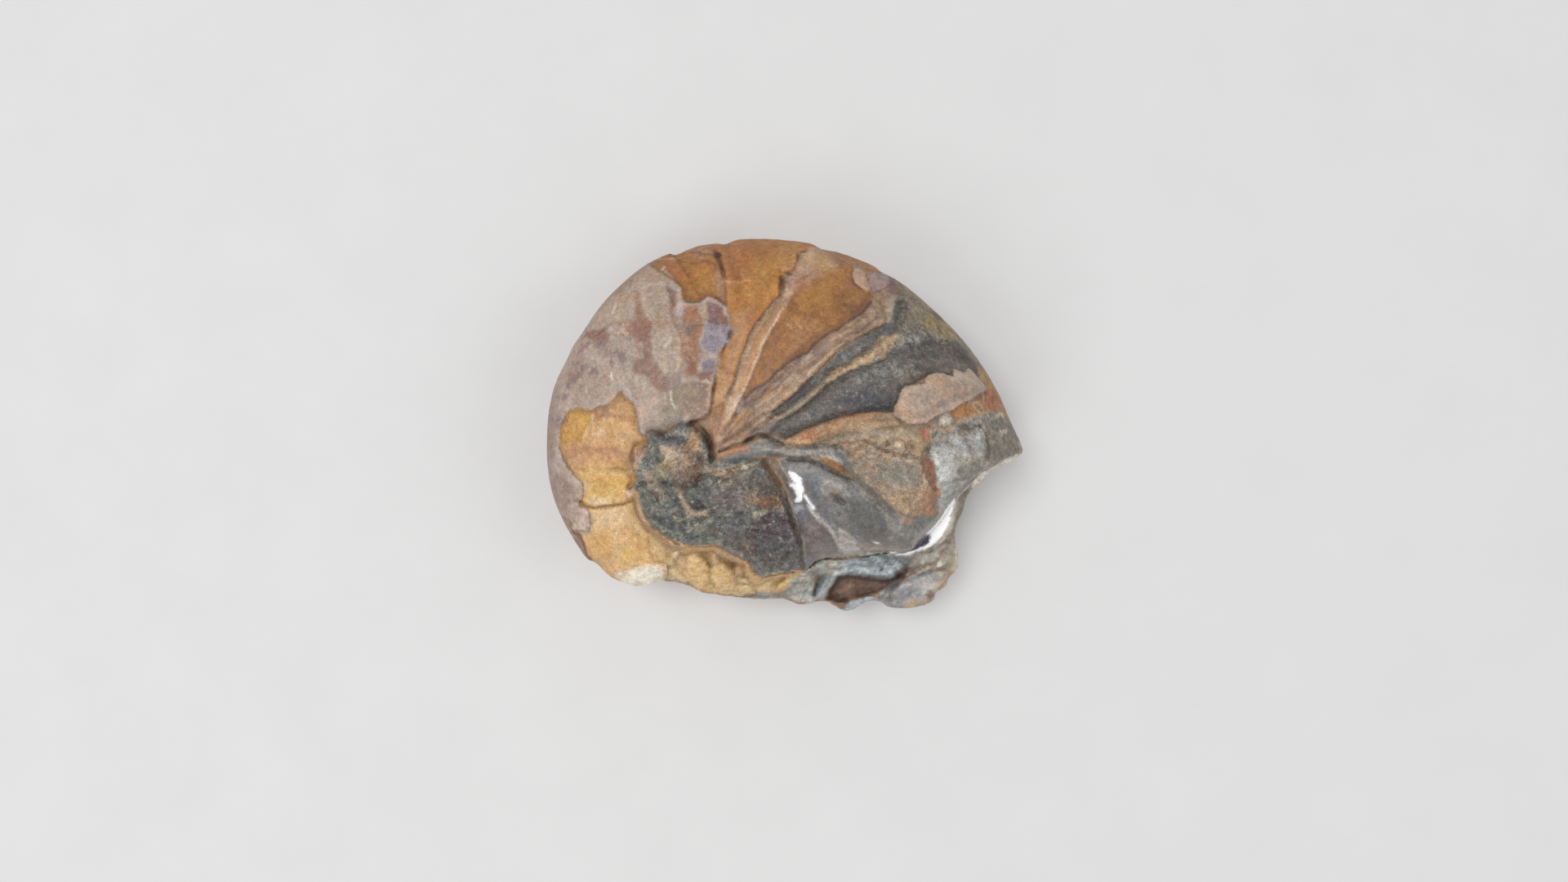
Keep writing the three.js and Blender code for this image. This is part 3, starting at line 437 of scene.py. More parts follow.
def polar(at):
    away = at - CENTRE
    angle = np.arctan2(away[:, 1], away[:, 0])
    radius = outline.radius(angle)
    return angle, np.linalg.norm(away, axis=1) / radius, radius


def look_up(table, value):
    return np.interp(value, *zip(*table))


def rim_height(angle):
    degrees = np.degrees(angle)
    drop = np.where(degrees < RIM_DROP[0][0], 0, look_up(RIM_DROP, degrees))
    return KEEL_HEIGHT - drop


def plate_relief(plates, at):
    total = np.zeros(len(at))
    for shape, height, soft in plates:
        total += height * smoothstep(-soft, soft, depth_inside(shape, at))
    return total


def rib_relief(ribs, at):
    total = np.zeros(len(at))
    for line, height, width in ribs:
        total += height * np.exp(-((line_distance(line, at) / width) ** 2))
    return total


def ellipse_share(away, size, turn):
    """How far out points are, from 0 at an ellipse's centre to 1 on its edge."""
    c, s = math.cos(math.radians(turn)), math.sin(math.radians(turn))
    along = away[:, 0] * c + away[:, 1] * s
    across = away[:, 1] * c - away[:, 0] * s
    return np.hypot(along / size[0], across / size[1])


def knob_relief(knobs, steepness, at):
    total = np.zeros(len(at))
    for centre, size, turn, height in knobs:
        out = ellipse_share(at - centre, size, turn)
        total += height * np.maximum(0, 1 - out ** 2) ** steepness
    return total


def root(value):
    return np.sqrt(np.maximum(0, value))


def upper_height(at):
    angle, share, radius = polar(at)
    u = at[:, 0]
    whole_radius = whole_outline.radius(angle)
    whole_share = np.minimum(1, share * radius / whole_radius)
    broken = smoothstep(1, BROKEN_SHARE, whole_radius / radius)
    flank = FLANK_RISE * (1 + GROWTH * u) * root(1 - whole_share ** FLANK_POWER)
    fall = 1 + (root(1 - np.minimum(share, 1) ** BREAK_POWER) - 1) * broken
    in_from_rim = (1 - share) * radius
    relief = plate_relief(PLATES, at) + rib_relief(RIBS, at) + knob_relief(KNOBS, SOFT_KNOB, at)
    towards_edge = np.maximum(0, -depth_inside(SHELF_OUTLINE, at))
    on_septum = smoothstep(*ROUNDED_FROM, u) * (1 - smoothstep(*ROUNDED_TO, u))
    rounding = np.maximum(0, 1 - towards_edge / EDGE_ROUNDING) ** 2 * EDGE_DROP * on_septum
    rim = rim_height(angle)
    body = KEEL_HEIGHT - rim + flank + relief * smoothstep(0, EDGE_SETTLE, in_from_rim) - rounding
    return rim + body * fall


def lower_height(at):
    angle, share, radius = polar(at)
    rim = rim_height(angle)
    relief = rib_relief(UNDER_RIBS, at) + knob_relief(UNDER_UMBILICUS, SOFT_KNOB, at)
    bulge = (rim + REST_SAG) * (1 + GROWTH * at[:, 0]) * root(1 - np.minimum(share, 1) ** UNDER_POWER)
    height = rim - bulge - relief * smoothstep(0, UNDER_SETTLE, (1 - share) * radius)
    return np.maximum(0, height)


def nodule_levels(at):
    """The shelf's relief at some points: columns for the ground and each nodule's dome, lowest first."""
    from_break = line_distance(BROKEN_EDGE, at)
    rubble = look_up(RUBBLE_RISE, at[:, 0]) * np.exp(-((from_break / RUBBLE_REACH) ** 2))
    levels = [plate_relief(SHELF_PLATES, at) + rib_relief(SHELF_RIBS, at) + rubble]
    for centre, size, turn, foot, rise in NODULES:
        dome = knob_relief([(centre, size, turn, rise)], ROUND_KNOB, at)
        levels.append(np.where(dome > 0, foot + dome, NO_DOME))
    return np.sort(levels, axis=0).T


def shelf_height(at):
    angle, share, radius = polar(at)
    in_from_rim = np.maximum(0, (1 - share) * radius)
    rise = look_up(SHELF_RISE, at[:, 0]) * (1 - np.exp(-in_from_rim / SHELF_REACH))
    relief = nodule_levels(at)[:, -1]
    return rim_height(angle) + SHELF_LIP + rise + relief * smoothstep(0, SHELF_SETTLE, in_from_rim)


def placed(at, height):
    """Points at these heights that show at (u, v)."""
    reach = (EYE[2] - height) / EYE_HEIGHT
    return np.column_stack([EYE[:2] + (at - EYE[:2]) * reach[:, None], height])


def seen_at(place):
    """Where points show, as (u, v)."""
    reach = (EYE[2] - place[:, 2]) / EYE_HEIGHT
    return EYE[:2] + (place[:, :2] - EYE[:2]) / reach[:, None]


# Meshes

def even_shares(spacing, power, rise):
    """Shares of the way from the middle to the rim that lie evenly along the flank's section."""
    share = np.sin(np.linspace(0, math.pi / 2, 2001))
    drop = rise * root(1 - share ** power)
    run = share * outline.perimeter / (2 * math.pi)
    lengths = np.concatenate([[0], np.cumsum(np.hypot(np.diff(run), np.diff(drop)))])
    count = round(lengths[-1] / spacing)
    return np.interp(np.arange(1, count + 1) / count * lengths[-1], lengths, share)


def ring_places(share, spacing, turn):
    count = max(8, round(outline.perimeter * share / spacing))
    return CENTRE + (outline.points_at((np.arange(count) + turn) / count) - CENTRE) * share


def stitched(outer_count, outer_start, inner_count, inner_start):
    """Triangles between two rings that need not have the same number of points."""
    steps = [(i / outer_count, True, i) for i in range(1, outer_count + 1)]
    steps += [(j / inner_count, False, j) for j in range(1, inner_count + 1)]
    i = j = 0
    faces = []
    for _, is_outer, step in sorted(steps, key=lambda s: (s[0], not s[1])):
        a = outer_start + i % outer_count
        b = inner_start + j % inner_count
        if is_outer:
            faces.append((outer_start + step % outer_count, a, b))
            i = step
        else:
            faces.append((inner_start + step % inner_count, a, b))
            j = step
    return faces


def body_mesh():
    upper = even_shares(UPPER_SPACING, FLANK_POWER, FLANK_RISE)
    lower = even_shares(LOWER_SPACING, UNDER_POWER, KEEL_HEIGHT)
    rings = [(ring_places(s, UPPER_SPACING, i % 2 / 2), upper_height) for i, s in enumerate(upper[:-1])]
    rings.append((ring_places(1, (UPPER_SPACING + LOWER_SPACING) / 2, 0), None))
    rings += [(ring_places(s, LOWER_SPACING, i % 2 / 2), lower_height) for i, s in enumerate(lower[-2::-1])]
    top_count = len(upper) - 1
    places = [ring for ring, _ in rings]
    above = np.vstack(places[:top_count] + [CENTRE[None]])
    below = np.vstack(places[top_count + 1:] + [CENTRE[None]])
    rim = places[top_count]
    high = placed(above, upper_height(above))
    low = placed(below, lower_height(below))
    middle = placed(rim, rim_height(polar(rim)[0]))
    points = np.vstack([high[:-1], middle, low[:-1], high[-1:], low[-1:]])
    faces = []
    start = 0
    for ring, following in zip(places, places[1:]):
        faces += stitched(len(following), start + len(ring), len(ring), start)
        start += len(ring)
    first, last = len(places[0]), len(places[-1])
    top, bottom = len(points) - 2, len(points) - 1
    faces += [((i + 1) % first, i, top) for i in range(first)]
    faces += [(start + i, start + (i + 1) % last, bottom) for i in range(last)]
    return points, faces


def above_shelf_mesh():
    """Everything above the broken shelf, as a block with the shelf for its floor."""
    u_low, u_high, v_low, v_high = SHELF_FIELD
    us = np.linspace(u_low, u_high, round((u_high - u_low) / SHELF_SPACING) + 1)
    vs = np.linspace(v_low, v_high, round((v_high - v_low) / SHELF_SPACING) + 1)
    grid = np.stack(np.meshgrid(us, vs), axis=2).reshape(-1, 2)
    wide, tall = len(us), len(vs)
    level = wide * tall
    points = np.vstack([placed(grid, shelf_height(grid)), placed(grid, np.full(level, TOP))])
    a = (np.arange(tall - 1)[:, None] * wide + np.arange(wide - 1)).ravel()
    floor = np.column_stack([a, a + wide, a + wide + 1, a + 1])
    faces = [*floor.tolist(), *(floor[:, ::-1] + level).tolist()]
    border = [*range(wide), *(row * wide + wide - 1 for row in range(1, tall))]
    border += [(tall - 1) * wide + column for column in range(wide - 2, -1, -1)]
    border += [row * wide for row in range(tall - 2, 0, -1)]
    faces += [(a, b, b + level, a + level) for a, b in zip(border, border[1:] + border[:1])]
    return points, faces


def stepped(line, spacing):
    """The same line, with points about this far apart."""
    points = np.array(line, float)
    lengths = np.concatenate([[0], np.cumsum(np.linalg.norm(np.diff(points, axis=0), axis=1))])
    wanted = np.linspace(0, lengths[-1], round(lengths[-1] / spacing) + 1)
    return np.stack([np.interp(wanted, lengths, points[:, k]) for k in range(2)], axis=1)


def column_mesh(low, high):
    """An upright column over the broken shelf, its rough sides running to the eye."""
    flat = np.vstack([stepped(BROKEN_EDGE, BREAK_SPACING), OUTSIDE_OF_EDGE])
    count = len(flat)
    levels = np.linspace(low, high, round((high - low) / BREAK_SPACING) + 1)
    points = np.vstack([placed(flat, np.full(count, z)) for z in levels])
    below_lip = np.maximum(0, np.tile(upper_height(flat), len(levels)) - points[:, 2])
    points[:, :2] -= (points[:, :2] - EYE[:2]) * UNDERCUT * below_lip[:, None]
    points[:, 0] += BREAK_ROUGHNESS * layered(points, 2.4, 71)
    points[:, 1] += BREAK_ROUGHNESS * layered(points, 2.4, 72)
    top = count * (len(levels) - 1)
    faces = [tuple(range(count - 1, -1, -1)), tuple(range(top, top + count))]
    for start in range(0, top, count):
        faces += [
            (start + i, start + (i + 1) % count, start + (i + 1) % count + count, start + i + count)
            for i in range(count)
        ]
    return points, faces


def new_object(name, points, faces):
    mesh = bpy.data.meshes.new(name)
    mesh.from_pydata(np.asarray(points).tolist(), [], faces)
    obj = bpy.data.objects.new(name, mesh)
    bpy.context.scene.collection.objects.link(obj)
    return obj


def applied(obj):
    """Turns an object's modifiers into its mesh."""
    graph = bpy.context.evaluated_depsgraph_get()
    mesh = bpy.data.meshes.new_from_object(obj.evaluated_get(graph))
    obj.modifiers.clear()
    old = obj.data
    obj.data = mesh
    bpy.data.meshes.remove(old)


def cut(obj, tool, operation="DIFFERENCE"):
    modifier = obj.modifiers.new("cut", "BOOLEAN")
    modifier.operation = operation
    modifier.solver = "MANIFOLD"
    modifier.object = tool
    applied(obj)
    bpy.data.objects.remove(tool)


def fossil_object():
    fossil = new_object("fossil", *body_mesh())
    broken_away = new_object("broken_away", *above_shelf_mesh())
    cut(broken_away, new_object("break_column", *column_mesh(COLUMN_FOOT, COLUMN_HEAD)), "INTERSECT")
    cut(fossil, broken_away)
    return fossil


# Colour

UMBILICUS = (-11.65, -4.85)    # the navel's middle, that the growth streaks run out from
GROUND_COLOUR = (165, 138, 112)
GROUND_ROUGHNESS = 0.6
SHAPE_MARGIN = 2.5             # how far round a shape its frayed edge is worked out
LINE_MARGIN = 2
LIGHT_SHARES = np.array([0.21, 0.72, 0.07])


def linear(rgb):
    """Colour as light, from screen values of 0 to 255."""
    c = np.array(rgb, float) / 255
    return np.where(c <= 0.04045, c / 12.92, ((c + 0.055) / 1.055) ** 2.4)


class Paint:
    """Colour, roughness and fine relief for each point of the surface, laid on from the bottom up."""

    def __init__(self, place, at):
        self.place = place
        self.at = at
        away = at - UMBILICUS
        distance = np.linalg.norm(away, axis=1)
        turn = np.arctan2(away[:, 1], away[:, 0])
        self.streaks = np.column_stack([turn * 14, distance * 0.22, place[:, 2] * 0.3])
        self.colour = np.tile(linear(GROUND_COLOUR), (len(place), 1))
        self.rise = np.zeros(len(place))
        self.rough = np.full(len(place), GROUND_ROUGHNESS)
        self.on = np.ones(len(place))
        self.warp = np.column_stack([layered(place, 2.6, 1), layered(place, 2.6, 2)])
        self.fray = np.column_stack([layered(place, 0.9, 3), layered(place, 0.9, 4)])

    def near(self, shape, margin):
        points = np.array(shape, float)
        low, high = points.min(0) - margin, points.max(0) + margin
        return np.nonzero(np.all((self.at > low) & (self.at < high), axis=1) & (self.on > 0.01))[0]

    def frayed(self, some, fray):
        return self.at[some] + self.warp[some] * fray + self.fray[some] * fray * 0.6

    def lay(self, some, cover, colour, rise=0, rough=None, mottle=None, streaky=False, seed=9):
        """Lays a colour over some points. mottle is a second colour, its patches' size and its share."""
        cover = cover * self.on[some]
        hue = np.tile(linear(colour), (len(some), 1))
        if mottle:
            other, size, share = mottle
            field = self.streaks if streaky else self.place
            pattern = layered(field[some], size, seed)
            patch = smoothstep(-0.22, 0.22, pattern - (0.5 - share) * 1.1)[:, None]
            hue = hue * (1 - patch) + linear(other) * patch
        self.colour[some] += cover[:, None] * (hue - self.colour[some])
        self.rise[some] += cover * rise
        if rough is not None:
            self.rough[some] += cover * (rough - self.rough[some])

    def fill(self, shape, colour, soft=0.4, fray=0.5, amount=1, **look):
        some = self.near(shape, SHAPE_MARGIN)
        depth = depth_inside(shape, self.frayed(some, fray))
        self.lay(some, amount * smoothstep(-soft, soft, depth), colour, **look)

    def edge(self, shape, colour, width=0.2, fray=0.25, amount=0.6, **look):
        some = self.near(shape, SHAPE_MARGIN)
        depth = np.abs(depth_inside(shape, self.frayed(some, fray)))
        self.lay(some, amount * smoothstep(width, 0, depth), colour, **look)

    def stroke(self, line, colour, width, soft=0.15, fray=0.2, amount=0.8, **look):
        some = self.near(line, width + LINE_MARGIN)
        distance = line_distance(line, self.frayed(some, fray))
        self.lay(some, amount * smoothstep(width / 2 + soft, width / 2 - soft, distance), colour, **look)

    def blot(self, centre, size, colour, turn=0, soft=0.5, fray=0.5, amount=0.8, **look):
        some = self.near([centre], max(size) + LINE_MARGIN)
        out = ellipse_share(self.frayed(some, fray) - centre, size, turn)
        self.lay(some, amount * smoothstep(1 + soft, 1 - soft, out), colour, **look)

    def speckle(self, shape, colour, spacing, radius, amount=0.5, seed=5, **look):
        """Small grains of colour inside a shape."""
        some = self.near(shape, 1)
        inside = smoothstep(-0.2, 0.4, depth_inside(shape, self.at[some]))
        grain = cell_distance(self.place[some], spacing, seed)
        self.lay(some, amount * inside * smoothstep(radius, radius * 0.5, grain), colour, **look)

    def dapple(self, shape, colours, size, amount=0.5, fray=0.4, streaky=False, seed=7, **look):
        """Scattered soft patches of some colours inside a shape."""
        some = self.near(shape, 1.5)
        inside = smoothstep(-0.2, 0.5, depth_inside(shape, self.frayed(some, fray)))
        field = (self.streaks if streaky else self.place)[some]
        for k, colour in enumerate(colours):
            patch = smoothstep(0.05, 0.45, layered(field, size, seed + 7 * k))
            self.lay(some, amount * inside * patch, colour, **look)

    def weather(self, grit):
        """Uneven tone over everything: lighter and darker, browner and greyer, most where there is grit."""
        broad = 0.06 * layered(self.place, 3, 111)
        fine = (0.07 + 0.14 * grit) * layered(self.place, 0.7, 112)
        self.colour *= (0.88 + broad + fine)[:, None]
        vivid = smoothstep(0.1, 0.8, 1 - self.colour.min(1) / np.maximum(self.colour.max(1), 1e-6))
        for hue, size, seed in (((150, 106, 72), 2.4, 113), ((140, 137, 134), 1.8, 114),
                                ((158, 120, 92), 0.7, 115)):
            light = self.colour @ LIGHT_SHARES
            tinted = light[:, None] * linear(hue) / (linear(hue) @ LIGHT_SHARES)
            share = 0.2 * smoothstep(0.05, 0.5, layered(self.place, size, seed))
            share *= smoothstep(0.75, 0.5, light)
            share *= 1 - 0.65 * np.abs(2 * vivid - 1)
            self.colour += share[:, None] * (tinted - self.colour)


CRESCENT = [
    (25.3, -10.9), (24.4, -11.9), (23.8, -12.8), (23.2, -13.8), (22, -15.3), (21, -16.3), (20, -17.4),
    (19.3, -18.4), (18.6, -18.85), (17.6, -19.1), (16.2, -18.95), (15.5, -19.05), (17.4, -19.45),
    (18.6, -19.3), (19.4, -18.95), (20.4, -18.65), (21.2, -18.35), (21.9, -17.9), (22.5, -17.5),
    (23.2, -16.9), (23.8, -16), (24.3, -15.2), (24.6, -14.4), (24.7, -13.8), (24.5, -13.6), (24.9, -12.9),
    (25.2, -12),
]
NAVY_SPOT = [
    (19, -18.5), (19.7, -17.4), (20.6, -16.6), (21.4, -16.3), (21.65, -16.6), (21.6, -17.1), (21.3, -17.7),
    (20.9, -18), (20.2, -18.25), (19.7, -18.5),
]


def paint_windows(p):
    """The lower left, where the shell is gone and the golden fill of the chambers shows."""
    field = [(-37, 6), (-20, 6), (-19, -16), (-17.5, -26), (-37, -26)]
    p.fill(field, (210, 168, 112), soft=0.12, fray=0.2, mottle=((200, 152, 96), 2.5, 0.45))
    upper = [(-29.4, 2.4), (-26.2, 3), (-24.4, 4.8), (-22.6, 3.2), (-21.9, -1), (-22.6, -3), (-30, -3.4)]
    p.fill(upper, (212, 172, 122), soft=0.3, fray=0.2, mottle=((202, 158, 108), 1.2, 0.4))
    p.fill([(-26.2, 3), (-24.4, 4.8), (-22.5, 3), (-22.2, 1.4), (-25, 1.8)], (198, 152, 102), soft=0.3,
           fray=0.2, amount=0.8)
    mauve = [(-28.8, 2.4), (-27.4, 2.8), (-26, 2.6), (-25.4, 1.4), (-24, 1.2), (-22, 1), (-21.9, 0.2),
             (-24, 0.4), (-26, 0.6), (-28.6, 0.6)]
    p.fill(mauve, (172, 132, 106), soft=0.3, fray=0.6, amount=0.85, mottle=((186, 132, 90), 0.9, 0.45))
    p.speckle([(-29, 2), (-26, 2), (-24, -2), (-29, -2)], (238, 216, 186), 0.8, 0.24, amount=0.7, seed=12)
    p.blot((-27.4, -1.5), (0.8, 0.5), (236, 208, 172), soft=0.7, amount=0.7)
    lens = [(-33.6, -2), (-33.5, 0), (-32.9, 1.2), (-32, 2), (-31, 2.35), (-30, 2.3), (-29.2, 1.9),
            (-28.8, 1), (-29.2, -0.6), (-29.6, -1.6), (-30.2, -2.2), (-31.3, -2.5), (-32.5, -2.9),
            (-33.4, -2.9)]
    p.fill(lens, (208, 160, 88), soft=0.2, fray=0.2, mottle=((196, 148, 84), 1, 0.4))
    p.stroke([(-33.7, -2.6), (-33.6, 0), (-32.9, 1.3), (-32, 2.2), (-31, 2.5), (-30, 2.5), (-29.2, 2)],
             (152, 112, 76), 0.28, amount=0.7)
    p.stroke([(-28.7, 1.4), (-28.8, 0.6), (-29.2, -0.6), (-29.8, -1.8)], (236, 208, 160), 0.3, soft=0.25,
             amount=0.7)
    band = [(-33.5, -3.1), (-30.6, -2.8), (-27, -3), (-24, -3.4), (-22.9, -4), (-23, -5.4), (-26, -5.8),
            (-29.6, -5.6), (-32.6, -5.4)]
    p.fill(band, (206, 162, 120), soft=0.45, mottle=((196, 148, 108), 1.3, 0.45))
    p.stroke([(-32.6, -3.9), (-30, -3.4), (-27.4, -3.6), (-24, -4.2)], (176, 124, 90), 0.5, soft=0.35,
             fray=0.6, amount=0.55)
    p.stroke([(-28.6, -6.5), (-26.6, -6.7), (-24.8, -6.5), (-23.4, -6.7)], (158, 114, 80), 0.2, fray=0.3,
             amount=0.75, rise=-0.08)
    second = [(-31, -6.8), (-29, -6.4), (-23, -6.9), (-22, -8.2), (-22.4, -9.4), (-23.3, -9.6),
              (-23.5, -11.6), (-26, -12), (-28.6, -12.2), (-30, -11.6), (-30.1, -8.6)]
    p.fill(second, (221, 184, 122), soft=0.2, fray=0.2, mottle=((213, 170, 106), 1.2, 0.4))
    p.fill([(-29, -8), (-23, -7.8), (-23.4, -9.6), (-28.6, -10)], (210, 162, 86), soft=0.7, fray=0.2,
           amount=0.75)
    p.fill([(-29.4, -10.7), (-26.8, -11.1), (-26.4, -11.8), (-29, -12)], (228, 200, 164), fray=0.2,
           amount=0.8)
    p.fill([(-23.6, -7.4), (-22.4, -7.6), (-22, -8.8), (-23, -9.3)], (190, 146, 84), soft=0.3, fray=0.2,
           amount=0.7)
    lower = [(-30, -12.4), (-28.4, -12.6), (-24, -12.1), (-22.6, -11.5), (-21.4, -14.4), (-20.4, -16.4),
             (-20, -20.4), (-24, -21.2), (-25.4, -23.6), (-30, -20)]
    p.fill(lower, (220, 183, 132), soft=0.3, fray=0.2, mottle=((211, 168, 112), 1.8, 0.4))
    p.fill([(-29, -16), (-26, -16.4), (-26, -19), (-27.6, -20.6), (-29.4, -19.4)], (212, 166, 104),
           soft=0.9, fray=0.2, amount=0.8)
    p.fill([(-24.6, -17.6), (-21, -17), (-20.6, -19.8), (-24.4, -20.6)], (224, 184, 112), soft=0.8,
           fray=0.2, amount=0.7)
    p.fill([(-28.6, -12.8), (-23.2, -12.4), (-23.4, -15), (-28.4, -15.4)], (228, 196, 154), soft=0.7,
           fray=0.2, amount=0.7)
    p.stroke([(-21.8, -16.4), (-21.4, -18.6), (-21.8, -20)], (196, 152, 104), 0.6, soft=0.4, fray=0.5,
             amount=0.6)
    # Painted shadow: dark bands along the rock lump's left edge and top corner, where it stands above the
    # flank.
    lump_edge = [(-22.2, -2.9), (-22.7, -3.6), (-22.8, -5.4), (-22.4, -7), (-21.8, -8.2), (-22, -9.2)]
    p.stroke(lump_edge, (142, 92, 58), 0.4, soft=0.25, amount=0.85)
    p.stroke([(-22.3, -2.7), (-21.4, -2.6), (-20.4, -2.4)], (160, 112, 74), 0.5, soft=0.3)
    suture = [(-30.8, -11.2), (-30.2, -11.7), (-29.6, -12.1), (-28.5, -12.35), (-27, -12.25),
              (-25.5, -12.05), (-24, -11.8), (-23, -11.5), (-22.5, -11.1)]
    p.stroke(suture, (154, 110, 76), 0.3, amount=0.9, rise=-0.08)
    p.blot((-30.4, -11.4), (0.5, 0.2), (136, 88, 60), turn=-25, fray=0.3)
    p.stroke([(-22.1, -9.2), (-22.8, -9.5), (-23.4, -9.6)], (148, 92, 62), 0.22, fray=0.15, amount=1)
    p.stroke([(-23.3, -9.6), (-23.5, -10.6), (-23.4, -11.5)], (170, 124, 88), 0.2)
    p.blot((-22.5, -10.2), (0.8, 0.6), (220, 194, 168), amount=0.85)
    p.stroke([(-22.5, -11.3), (-22.2, -12.6), (-21.6, -13.9), (-21, -15), (-20.3, -16)], (150, 102, 66),
             0.3, fray=0.25, amount=0.9)
    p.stroke([(-22.2, -11.4), (-21.4, -13.6), (-20.4, -15.2), (-18.8, -16.6), (-17, -17.9)],
             (214, 176, 140), 0.6, soft=0.3, fray=0.3)
    cream = [(-25.6, -23), (-24.6, -21.8), (-22.6, -21.2), (-20.6, -20.5), (-18.6, -20.3), (-17.7, -20.6),
             (-17.4, -21.5), (-18, -22.8), (-18.4, -24.4), (-24, -24.6)]
    p.fill(cream, (236, 226, 204), mottle=((222, 204, 172), 0.9, 0.4))
    p.fill([(-23.6, -22), (-19, -21.2), (-18.6, -22.4), (-21, -23.4), (-23.4, -23.4)], (246, 242, 226),
           soft=0.6, fray=0.2, amount=0.7)
    for start, end in (((-24, -22), (-19, -21.3)), ((-23.4, -22.8), (-18.8, -22)),
                       ((-21.6, -21), (-18, -20.9))):
        p.stroke([start, end], (214, 196, 162), 0.14, fray=0.3, amount=0.6)
    p.stroke([(-29.6, -19.4), (-28, -20.4), (-26, -22.3), (-24.6, -23.2)], (196, 152, 104), 0.6, soft=0.3)
    wall = [(-33.7, -3), (-33, -5), (-32, -6.4), (-31, -7.6), (-30.2, -8.6), (-30.1, -10.6)]
    p.stroke(wall, (140, 104, 82), 0.3, amount=0.85, rise=-0.06)
    p.stroke([(x + 0.35, y + 0.2) for x, y in wall[2:]], (226, 196, 158), 0.24, amount=0.6)


